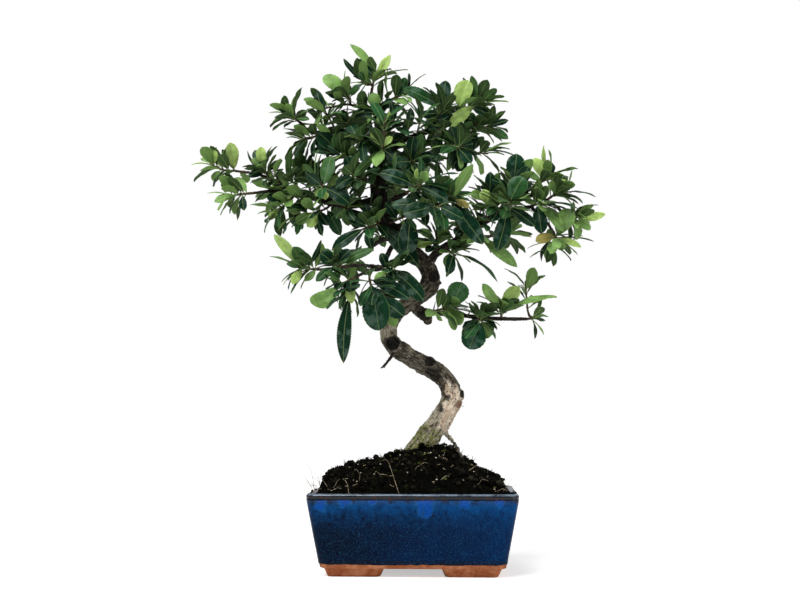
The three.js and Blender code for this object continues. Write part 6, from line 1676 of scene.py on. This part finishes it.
# Places on the bark that look different: (centre, reach, strength)
MOSS_PATCHES = [
    ((-4, -9, 74), 18, 1.0), ((6, -9, 84), 16, 0.95), ((-12, -8, 66), 14, 0.9), ((0, 8, 80), 14, 0.7),
    ((14, -10, 92), 10, 0.75), ((2, -8, 98), 11, 0.8), ((-10, -4, 80), 10, 0.6),
]
PALE_PATCHES = [
    ((-8, -8, 68), 22, 1.0), ((8, -8, 88), 22, 1.0), ((22, -8, 104), 20, 0.9), ((-18, -4, 178), 15, 0.8),
    ((28, -2, 120), 16, 0.7), ((-6, 6, 80), 26, 0.7), ((2, -6, 158), 9, 0.5),
]
BARE_PATCHES = [
    ((30, -8, 114), 12, 1.0), ((27, -9, 132), 8, 0.85), ((32, -9, 124), 9, 0.9), ((24, -11, 102), 10, 0.85),
    ((33, -4, 104), 9, 0.8), ((16, -10, 92), 8, 0.6), ((10, -10, 100), 6, 0.6), ((4, -10, 82), 6, 0.55),
]
# Dark bark at the bends, and painted shade on the trunk under the crown
DARK_AND_SHADED_PATCHES = [
    ((14, -7, 142), 10, 0.8), ((16, -9, 134), 7, 0.9), ((2, -6, 214), 20, 0.6), ((-26, 0, 290), 60, 0.7),
    ((-2, 0, 232), 16, 0.8), ((8, -6, 190), 12, 0.7),
]
WOUNDS = [((33, -8, 120.5), 4.2, 1.0), ((-15, -8, 165), 3.2, 0.35)]
# Knobs of bark: centre and radius
KNOBS = [
    ((-16.4, -6.4, 172.6), 2.6), ((-16, -5, 64), 5), ((4.4, 4, 148), 4.4), ((28.6, 3, 131), 4),
    ((9, 6, 209), 4.6), ((-25, 4.4, 262), 3.4), ((-17, -3.6, 180), 2.4), ((24, 3.4, 112), 4),
]
# Bare thorns on the limbs: start, end and radius at the start
THORNS = [
    ((-30, 0, 326), (-38, -2, 347), 0.9), ((14, -2.5, 189), (16, -6, 197), 0.7),
    ((-60, -2, 274), (-64, -4, 263), 0.8), ((-86, -3.6, 280), (-90, -8, 270), 0.7),
    ((60, -11, 261), (58, -13, 252), 0.8), ((74, -9, 272), (79, -12, 263), 0.7),
    ((-70, -3, 328), (-75, -6, 340), 0.7), ((-6, 0, 308), (2, -6, 316), 0.7),
    ((30, 2, 321), (34, -3, 312), 0.7), ((40, -3.6, 186), (43, -7, 193), 0.6),
]
LICHEN_LOW, LICHEN_HIGH = 128, 210
# Height where the painted shade of the crown begins on the trunk, and the darkness of every limb: dark bark
# and painted shade inside the crown
CROWN_LOW = 232
LIMB_DARK_AND_SHADE = 0.7
BARK_VOXEL = 0.62
COLLAR_LENGTH = 13
THICK_LIMB_LENGTH = 99
TRUNK_RING, TRUNK_STEP = 30, 1.6
LIMB_RING, LIMB_STEP = 12, 1.25
# Radius of a twig at its root and its end, and how far a shoot bows up
TWIG_RADII, SHOOT_RADII = (1.05, 0.6), (0.85, 0.5)
SHOOT_BOW = 0.8


def beside_scar(points, centre, way, radius):
    """How far each point stands out along a scar's way, and its reach from the middle in radii."""
    way, off = np.array(unit(way)), points - np.array(centre)
    out = off @ way
    return out, np.linalg.norm(off - out[:, None] * way, axis=1) / radius


def bark_marks(points):
    """Moss, bare wood, dark bark with painted shade under the crown, wounds and lichen at each point, from 0
    to 1.
    """
    marks = {}
    tables = {
        "bark_moss": MOSS_PATCHES, "bark_bare": BARE_PATCHES, "bark_dark": DARK_AND_SHADED_PATCHES,
        "bark_wound": WOUNDS, "bark_pale": PALE_PATCHES,
    }
    for name, patches in tables.items():
        mark = np.zeros(len(points))
        for centre, reach, strength in patches:
            gap = np.linalg.norm(points - np.array(centre), axis=1) / reach
            mark = np.maximum(mark, strength * np.clip(1.35 - gap, 0, 1))
        marks[name] = mark
    height = points[:, 2]
    # painted shade: the bark turns darker from the crown's low edge upwards
    marks["bark_dark"] = np.maximum(marks["bark_dark"], np.clip((height - CROWN_LOW) / 25, 0, 0.9))
    marks["bark_scar"] = np.zeros(len(points))
    for centre, way, radius, scar_height in SCARS:
        out, aside = beside_scar(points, centre, way, radius)
        near = (out > -radius) & (out < 2 * scar_height)
        marks["bark_scar"] = np.maximum(marks["bark_scar"], near * np.clip(4.6 - 4 * aside, 0, 1))
    marks["bark_lichen"] = np.clip((height - LICHEN_LOW) / 12, 0, 1)
    marks["bark_lichen"] *= np.clip((LICHEN_HIGH - height) / 20, 0.25, 1)
    return marks


def nearest_on_line(points, line):
    """Distance along a line, and the ring angle and reach from it, for each point."""
    ways, across, upward = frames_along(line[:, :3])
    lengths = run_along(line)
    place = np.empty((len(points), 3))
    for start in range(0, len(points), 4000):
        part = points[start:start + 4000]
        gaps = np.linalg.norm(part[:, None] - line[None, :, :3], axis=2)
        pick = gaps.argmin(1)
        off = part - line[pick, :3]
        along = lengths[pick] + (off * ways[pick]).sum(1)
        place[start:start + 4000] = np.column_stack(
            [along, (off * across[pick]).sum(1), (off * upward[pick]).sum(1)]
        )
    return place


def trunk_blank():
    """Trunk, branch collars, roots and scars as overlapping closed parts."""
    shell = Shell()
    line = smooth_line(TRUNK, TRUNK_STEP)
    angles = ring_angles(TRUNK_RING)
    rows = np.arange(len(line))[:, None]
    ridges = 1 + 0.075 * np.sin(3 * angles + 0.055 * rows) + 0.05 * np.sin(5 * angles - 0.11 * rows + 1)
    ridges = ridges + 0.035 * np.sin(8 * angles + 0.07 * rows + 2)
    shell.join(*tube(line, TRUNK_RING, ridges))
    for limb in LIMBS:
        rows = smooth_line(limb, 1.2)
        gone = run_along(rows)
        thick = limb is LIMBS[0]
        keep = gone < (THICK_LIMB_LENGTH if thick else COLLAR_LENGTH)
        rows, gone = rows[keep], gone[keep]
        if not thick:
            rows[:, 3] *= 0.8 + 0.75 * (1 - gone / COLLAR_LENGTH) ** 2
        if len(rows) > 1:
            shell.join(*tube(rows, 14))
    for root in ROOTS:
        shell.join(*tube(smooth_line(root, 1.5), 14))
    for spur in SPURS[2:]:
        shell.join(*tube(smooth_line(spur, 1.0), 12))
    for centre, way, radius, height in SCARS:
        way = np.array(unit(way))
        rows = [(-radius, 0.9), (0.3 * height, 1.06), (0.7 * height, 1.0), (height, 0.8)]
        shell.join(*tube([(*(np.array(centre) + way * out), radius * grow) for out, grow in rows], 20))
    for centre, radius in KNOBS:
        points, faces = ball(3)
        shell.join(points * radius + centre, faces)
    return shell


def relief_of_bark(place, point, radius):
    """How far the bark stands out at a point: long ridges, lumps and small cracks."""
    along, across, upward = place
    ridge = noise.fractal(Vector((along / 9, across / 2.1, upward / 2.1)), 0.8, 2.1, 3)
    lump = noise.noise(Vector(point) / 7.5)
    pit = noise.noise(Vector(point) / 2.2)
    size = min(radius / 6, 1.15)
    return size * (0.8 * ridge + 0.7 * lump + 0.45 * min(pit, 0.1))


def join_trunk(shell):
    """Adds the trunk's parts as one skin, with the bark's relief and the scars pressed into it."""
    blank = trunk_blank().piece("bark_wood", [])
    modifier = blank.modifiers.new("fuse", "REMESH")
    modifier.mode, modifier.voxel_size = "VOXEL", BARK_VOXEL * MM
    soften = blank.modifiers.new("soften", "SMOOTH")
    soften.factor, soften.iterations = 0.5, 5
    fused = finished_mesh(blank)
    bpy.data.objects.remove(blank)
    points = read_rows(fused.vertices, "co") / MM - ORIGIN
    normals = read_rows(fused.vertex_normals, "vector")
    place = nearest_on_line(points, smooth_line(TRUNK, TRUNK_STEP))
    reach = np.hypot(place[:, 1], place[:, 2])
    stand = np.array([relief_of_bark(p, q, r) for p, q, r in zip(place, points, reach)])
    for centre, way, radius, height in SCARS:
        out, aside = beside_scar(points, centre, way, radius)
        hollow = np.clip(1 - (aside / 0.62) ** 2, 0, 1) * (out > 0)
        collar = np.exp(-((aside - 0.92) / 0.2) ** 2) * (out > -1)
        stand += 0.9 * collar - 1.9 * hollow
    points = points + normals * stand[:, None]
    faces = [list(polygon.vertices) for polygon in fused.polygons]
    shell.join(points, faces, bark_grain=place, **bark_marks(points))


def join_limb(shell, limb, chance):
    """Adds a limb with swellings, nodes and ribs along it."""
    rows = smooth_line(limb, LIMB_STEP)
    count = len(rows)
    shake(rows, chance, 0.16)
    swell = np.array([1 + 0.1 * noise.noise(Vector(row[:3]) / 4.5) for row in rows])
    rows[:, 3] *= swell * (1 + 0.13 * (np.arange(count) % 9 == 4))
    angles = ring_angles(LIMB_RING)
    along = np.arange(count)[:, None]
    shape = 1 + 0.06 * np.sin(3 * angles + 0.1 * along)
    shape = shape + 0.045 * np.sin(5 * angles - 0.17 * along + rows[0, 0])
    points, faces = tube(rows, LIMB_RING, shape)
    grain = np.stack([
        np.broadcast_to(along * LIMB_STEP, (count, LIMB_RING)), rows[:, 3:] * np.cos(angles) * 1.4,
        rows[:, 3:] * np.sin(angles) * 1.4,
    ], axis=-1).reshape(-1, 3)
    marks = bark_marks(points)
    # dark bark and painted shade of the limbs inside the crown
    marks["bark_dark"] = np.maximum(marks["bark_dark"], LIMB_DARK_AND_SHADE)
    shell.join(points, faces, bark_grain=np.vstack([grain, np.zeros((2, 3))]), **marks)


def build_wood(settings):
    shell = Shell()
    join_trunk(shell)
    chance = random.Random(5)
    for limb in LIMBS[1:] + SPURS[:2]:
        join_limb(shell, limb, chance)
    for start, end, radius in THORNS:
        points, faces = tube(smooth_line([(*start, radius), (*end, radius * 0.3)], 1.5), 8)
        shell.join(points, faces, bark_grain=points * 0.3, **bark_marks(points))
    wood = shell.piece("bark_wood", [bark_finish(settings)], crease=80)
    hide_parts("trunk")


def build_sprays(settings, wood):
    leaves = place_leaves()
    colours = {name: np.array(getattr(settings, name)) for name in TONES}
    blade, bark = leaf_finish(settings), twig_finish(wood)
    for owner, (name, fill, twigs, rows) in enumerate(SPRAYS):
        chance = random.Random(100 + owner)
        shell = Shell()
        for leaf in leaves[owner]:
            join_leaf(shell, leaf, chance, leaf_look(leaf, chance, colours))
        for twig in twigs:
            join_twig(shell, twig, *TWIG_RADII, chance)
        spray = shell.piece("leafy_" + name, [blade, bark])
        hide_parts(name)
    of_shoots = iter(leaves[len(SPRAYS):])
    grown = {group: [(*shoot, next(of_shoots)) for shoot in shoots] for group, shoots in SHOOTS.items()}
    for group in sorted(grown):
        chance = random.Random(len(group))
        shell = Shell()
        for start, end, shoot_leaves in grown[group]:
            for leaf in shoot_leaves:
                join_leaf(shell, leaf, chance, leaf_look(leaf, chance, colours))
            middle = add(scale(add(start, end), 0.5), (0, 0, SHOOT_BOW))
            join_twig(shell, [start, middle, end], *SHOOT_RADII, chance)
        shell.piece("leafy_shoots_" + group, [blade, bark])


def colour(name, description, value):
    return FloatVectorProperty(
        name=name, description=description, default=value, subtype="COLOR", size=3, min=0, max=1
    )


class PotSettings(bpy.types.PropertyGroup):
    # Deep glaze of the wall, also the colour of the painted shade just below the lip
    glaze_deep: colour("Deep glaze", "Darkest blue of the wall", (0.0002, 0.0025, 0.012))
    # Blue of the painted light on the wall's right side
    glaze_blue: colour("Blue glaze", "Blue of the wall", (0.0001, 0.013, 0.06))
    glaze_teal: colour("Teal glaze", "Greenish clouds in the wall", (0.0002, 0.016, 0.032))
    # Cobalt of the runs below the rim, also the painted light towards the right side and the top
    glaze_bright: colour("Bright glaze", "Cobalt below the rim and in the runs", (0.001, 0.066, 0.24))
    glaze_run: colour("Runs", "Cobalt where the glaze has run together", (0.0015, 0.075, 0.42))
    glaze_speck: colour("Specks", "Fine pale blue grains", (0.03, 0.19, 0.42))
    glaze_rim: colour("Rim glaze", "Thin dark glaze at the rim and foot", (0.006, 0.006, 0.009))
    # Colour of the painted highlight along the lip
    glaze_lip: colour("Lip glaze", "Pale bluish glaze on the edge of the lip", (0.22, 0.3, 0.4))
    glaze_rust: colour("Rust glaze", "Brown breaks along the rim", (0.03, 0.011, 0.006))
    clay_colour: colour("Clay", "Unglazed clay of the feet", (0.31, 0.088, 0.03))
    clay_pale: colour("Pale clay", "Paler patches of the clay", (0.5, 0.2, 0.095))
    clay_dark: colour("Dark clay", "Dark grains in the clay", (0.2, 0.07, 0.03))
    mesh_colour: colour("Drain mesh", "Plastic of the drain meshes", (0.02, 0.024, 0.02))
    mesh_light: colour("Drain mesh, worn", "Worn plastic of the drain meshes", (0.04, 0.045, 0.04))


class SoilSettings(bpy.types.PropertyGroup):
    crumb_count: IntProperty(name="Crumbs", description="Loose lumps on the mound", default=1500, min=0)
    fibre_count: IntProperty(name="Fibres", description="Dark fibres in the peat", default=900, min=0)
    moss_count: IntProperty(name="Moss tufts", description="Tufts round the trunk", default=70, min=0)
    peat_dark: colour("Dark peat", "Wet peat in the hollows", (0.0012, 0.0012, 0.0009))
    peat_brown: colour("Brown peat", "Peat on the lumps", (0.0035, 0.0033, 0.0025))
    peat_light: colour("Dry peat", "Dry crumbs", (0.05, 0.042, 0.03))
    straw_dark: colour("Old straw", "Shaded straw", (0.22, 0.15, 0.07))
    straw_colour: colour("Straw", "Pale straw in the peat", (0.6, 0.52, 0.33))
    grit_shade: colour("Grit shade", "Shaded side of the grit", (0.5, 0.45, 0.32))
    grit_colour: colour("Grit", "White grains", (0.82, 0.8, 0.68))
    root_dark: colour("Root shade", "Darker fine roots", (0.14, 0.1, 0.06))
    root_colour: colour("Root", "Fine roots", (0.5, 0.42, 0.29))
    moss_dark: colour("Dark moss", "Moss in the shade", (0.03, 0.05, 0.008))
    moss_light: colour("Light moss", "Tips of the moss", (0.19, 0.22, 0.04))


class WoodSettings(bpy.types.PropertyGroup):
    bark_colour: colour("Bark", "Weathered bark", (0.07, 0.056, 0.041))
    bark_light: colour("Light bark", "Paler patches", (0.2, 0.17, 0.125))
    bark_ridge: colour("Bark ridges", "Worn ridges", (0.42, 0.38, 0.3))
    # Colour of cracks and dark bark, also of the painted shade on the trunk and limbs under the crown
    bark_crack: colour("Cracks", "Cracks and dark bark", (0.004, 0.0035, 0.003))
    bark_pale: colour("Pale bark", "Grey-tan bark of the foot", (0.42, 0.37, 0.27))
    lichen_colour: colour("Lichen", "Pale flecks", (0.6, 0.58, 0.48))
    bare_colour: colour("Bare wood", "Cream wood where the bark is gone", (0.8, 0.7, 0.56))
    bare_shade: colour("Bare wood shade", "Grain of the bare wood", (0.5, 0.38, 0.27))
    wound_colour: colour("Wound", "Orange heart of a wound", (0.14, 0.055, 0.025))
    moss_dark: colour("Dark moss", "Moss on the bark, in the shade", (0.04, 0.055, 0.006))
    moss_light: colour("Light moss", "Moss on the bark", (0.19, 0.23, 0.035))
    twig_colour: colour("Twig", "Young twigs", (0.03, 0.02, 0.014))
    twig_light: colour("Light twig", "Paler streaks of the twigs", (0.12, 0.08, 0.045))


class FoliageSettings(bpy.types.PropertyGroup):
    young: colour("Young leaf", "Yellow-green leaves at the tips", (0.34, 0.48, 0.13))
    light: colour("Light leaf", "Leaves of this year", (0.18, 0.32, 0.085))
    mid: colour("Middle leaf", "Half-grown leaves", (0.013, 0.068, 0.02))
    dark: colour("Dark leaf", "Old leaves", (0.0015, 0.021, 0.0115))
    yellow: colour("Yellow-brown leaf", "Ageing leaves", (0.3, 0.25, 0.07))
    vein_colour: colour("Veins", "Midrib, side veins and the thin edge", (0.34, 0.46, 0.17))
    # Colour of the painted sheen on the leaves' upper side
    wax_colour: colour("Wax", "Pale bloom on the upper side", (0.28, 0.42, 0.34))
    under_colour: colour("Underside", "Paler lower side", (0.17, 0.28, 0.085))
    gloss: FloatProperty(
        name="Roughness", description="Roughness of the upper side", default=0.3, min=0, max=1,
        subtype="FACTOR",
    )


class StageSettings(bpy.types.PropertyGroup):
    lens: FloatProperty(
        name="Focal length", description="Lens on a 36 mm wide sensor", default=52.02, min=1,
        unit="CAMERA",
    )
    camera_place: FloatVectorProperty(
        name="Camera", description="Camera from the pot's middle, in millimetres",
        default=(30.2, -866, 113), size=3,
    )
    camera_aim: FloatVectorProperty(
        name="Aim", description="Point looked at from the pot's middle, in millimetres",
        default=(-10.8, 0, 199), size=3,
    )
    floor_colour: colour("Floor", "Pale floor", (0.93, 0.93, 0.93))
    floor_glow: FloatProperty(name="Floor glow", description="Light of the floor", default=0.5, min=0)
    floor_glow_far: FloatProperty(name="Far glow", description="Light of the far floor", default=0.8, min=0)
    backdrop: FloatProperty(name="Backdrop", description="White behind the tree", default=1.0, min=0)
    world_strength: FloatProperty(
        name="Backlight", description="Even light from behind", default=0.44, min=0
    )
    room_strength: FloatProperty(
        name="Room", description="Even light from the front", default=0.06, min=0
    )
    key_power: FloatProperty(
        name="Key light", description="Large soft light from the upper left", default=18, min=0,
        unit="POWER",
    )
    fill_power: FloatProperty(
        name="Fill light", description="Soft light from the right", default=5, min=0, unit="POWER"
    )


# The studio: places in millimetres from the pot's middle, sizes in metres
FLOOR_REACH = 3.0
GLOW_NEAR, GLOW_FAR = 0.25, 1.3
ROOM_DEPTH = (-0.7, 0.8)
KEY_PLACE, KEY_SIZE = (-450, -550, 1150), 0.9
FILL_PLACE, FILL_SIZE = (900, -500, 450), 0.7
LIGHT_AIM = (0, 0, 200)
WHITE = (1, 1, 1, 1)


def aimed(name, data, place, aim):
    """A light or a camera at its place, looking at its aim."""
    made = placed(name, data)
    start = (np.array(place) + ORIGIN) * MM
    made.location = start
    made.rotation_euler = Vector((np.array(aim) + ORIGIN) * MM - start).to_track_quat("-Z", "Y").to_euler()
    return made


def soft_light(name, place, size, power):
    data = bpy.data.lights.new(name, "AREA")
    data.shape, data.size, data.energy = "SQUARE", size, power
    aimed(name, data, place, LIGHT_AIM)


def paper_floor(settings):
    """The pale floor under the feet, which glows more the farther it is from the pot."""
    bed = bmesh.new()
    bmesh.ops.create_grid(bed, x_segments=8, y_segments=8, size=FLOOR_REACH)
    mesh = bpy.data.meshes.new("floor")
    bed.to_mesh(mesh)
    bed.free()
    floor = placed("floor", mesh)
    floor.location.z = CAD_BOX[0].z
    paper = Finish("white paper", Emission_Color=WHITE)
    away = paper.node("ShaderNodeVectorMath", {0: paper.place}, operation="LENGTH").outputs["Value"]
    glow = Mark(paper, away).spread(GLOW_NEAR, GLOW_FAR, settings.floor_glow, settings.floor_glow_far)
    seen = paper.node("ShaderNodeLightPath").outputs["Is Camera Ray"]
    paper.feed(paper.shader.inputs["Emission Strength"], glow * seen)
    grain = paper.noise(4.0, 2.0)
    pale = tuple(settings.floor_colour)
    shade = paper.mix(grain, tuple(0.985 * c for c in pale), pale)
    mesh.materials.append(paper.dress(shade, grain.spread(0, 1, 0.85, 0.95)))


def studio_world(settings):
    """White behind the tree for the camera, and soft light from all round, stronger from behind."""
    world = bpy.data.worlds.new("studio")
    world.use_nodes = True
    nodes, links = world.node_tree.nodes, world.node_tree.links
    sky = nodes["Background"]
    sky.inputs["Color"].default_value = WHITE
    parts, depth = nodes.new("ShaderNodeSeparateXYZ"), nodes.new("ShaderNodeMapRange")
    links.new(nodes.new("ShaderNodeTexCoord").outputs["Generated"], parts.inputs[0])
    links.new(parts.outputs["Y"], depth.inputs["Value"])
    ends = (*ROOM_DEPTH, settings.room_strength, settings.world_strength)
    for label, value in zip(("From Min", "From Max", "To Min", "To Max"), ends):
        depth.inputs[label].default_value = value
    links.new(depth.outputs["Result"], sky.inputs["Strength"])
    backdrop = nodes.new("ShaderNodeBackground")
    backdrop.inputs["Color"].default_value = WHITE
    backdrop.inputs["Strength"].default_value = settings.backdrop
    either = nodes.new("ShaderNodeMixShader")
    seen = nodes.new("ShaderNodeLightPath").outputs["Is Camera Ray"]
    for socket, source in enumerate((seen, sky.outputs[0], backdrop.outputs[0])):
        links.new(source, either.inputs[socket])
    links.new(either.outputs[0], nodes["World Output"].inputs[0])
    return world


def build_stage(settings):
    scene = bpy.context.scene
    paper_floor(settings)
    scene.world = studio_world(settings)
    soft_light("key", KEY_PLACE, KEY_SIZE, settings.key_power)
    soft_light("fill", FILL_PLACE, FILL_SIZE, settings.fill_power)
    data = bpy.data.cameras.new("camera")
    data.lens, data.sensor_width = settings.lens, 36
    data.clip_start, data.clip_end = 0.01, 50
    scene.camera = aimed("camera", data, settings.camera_place, settings.camera_aim)
    scene.view_settings.view_transform = "Standard"


class BonsaiOperator(bpy.types.Operator):
    bl_options = {"REGISTER", "UNDO"}


class BONSAI_OT_pot(BonsaiOperator):
    """Build the glazed pot on its four clay feet"""
    bl_idname = "bonsai.pot"
    bl_label = "Glazed pot"

    def execute(self, context):
        build_pot(context.scene.bonsai_pot)
        return {"FINISHED"}


class BONSAI_OT_drain_meshes(BonsaiOperator):
    """Finish the two drain meshes on the pot's floor"""
    bl_idname = "bonsai.drain_meshes"
    bl_label = "Drain meshes"

    def execute(self, context):
        build_drain_meshes(context.scene.bonsai_pot)
        return {"FINISHED"}


class BONSAI_OT_soil(BonsaiOperator):
    """Build the peat mound with its crumbs, grit, straw, fine roots and moss"""
    bl_idname = "bonsai.soil"
    bl_label = "Peat mound"

    def execute(self, context):
        build_soil(context.scene.bonsai_soil)
        return {"FINISHED"}


class BONSAI_OT_wood(BonsaiOperator):
    """Build the trunk, limbs, roots, scars and thorns"""
    bl_idname = "bonsai.wood"
    bl_label = "Trunk and limbs"

    def execute(self, context):
        build_wood(context.scene.bonsai_wood)
        return {"FINISHED"}


class BONSAI_OT_sprays(BonsaiOperator):
    """Build every leafy spray with its twigs, buds and fine leaves"""
    bl_idname = "bonsai.sprays"
    bl_label = "Leafy sprays"

    def execute(self, context):
        build_sprays(context.scene.bonsai_foliage, context.scene.bonsai_wood)
        return {"FINISHED"}


class BONSAI_OT_stage(BonsaiOperator):
    """Lay the pale floor, the soft lights and the camera"""
    bl_idname = "bonsai.stage"
    bl_label = "Studio"

    def execute(self, context):
        build_stage(context.scene.bonsai_stage)
        return {"FINISHED"}


OPERATORS = (
    BONSAI_OT_pot, BONSAI_OT_drain_meshes, BONSAI_OT_soil, BONSAI_OT_wood, BONSAI_OT_sprays,
    BONSAI_OT_stage,
)
SETTINGS = {
    "bonsai_pot": PotSettings, "bonsai_soil": SoilSettings, "bonsai_wood": WoodSettings,
    "bonsai_foliage": FoliageSettings, "bonsai_stage": StageSettings,
}


class VIEW3D_PT_bonsai(bpy.types.Panel):
    """Builds each part of the bonsai and shows its sizes and colours"""
    bl_label = "Firethorn Bonsai"
    bl_space_type = "VIEW_3D"
    bl_region_type = "UI"
    bl_category = "Bonsai"

    def draw(self, context):
        for operator in OPERATORS:
            self.layout.operator(operator.bl_idname)
        for name, group in SETTINGS.items():
            box = self.layout.box()
            for key in group.__annotations__:
                box.prop(getattr(context.scene, name), key)


def register():
    for group in SETTINGS.values():
        bpy.utils.register_class(group)
    for name, group in SETTINGS.items():
        setattr(bpy.types.Scene, name, PointerProperty(type=group))
    for made in (*OPERATORS, VIEW3D_PT_bonsai):
        bpy.utils.register_class(made)


def unregister():
    for made in (VIEW3D_PT_bonsai, *reversed(OPERATORS)):
        bpy.utils.unregister_class(made)
    for name, group in SETTINGS.items():
        delattr(bpy.types.Scene, name)
        bpy.utils.unregister_class(group)


def main():
    register()
    bpy.ops.bonsai.stage()
    bpy.ops.bonsai.pot()
    bpy.ops.bonsai.drain_meshes()
    bpy.ops.bonsai.soil()
    bpy.ops.bonsai.wood()
    bpy.ops.bonsai.sprays()


if __name__ == "__main__":
    main()
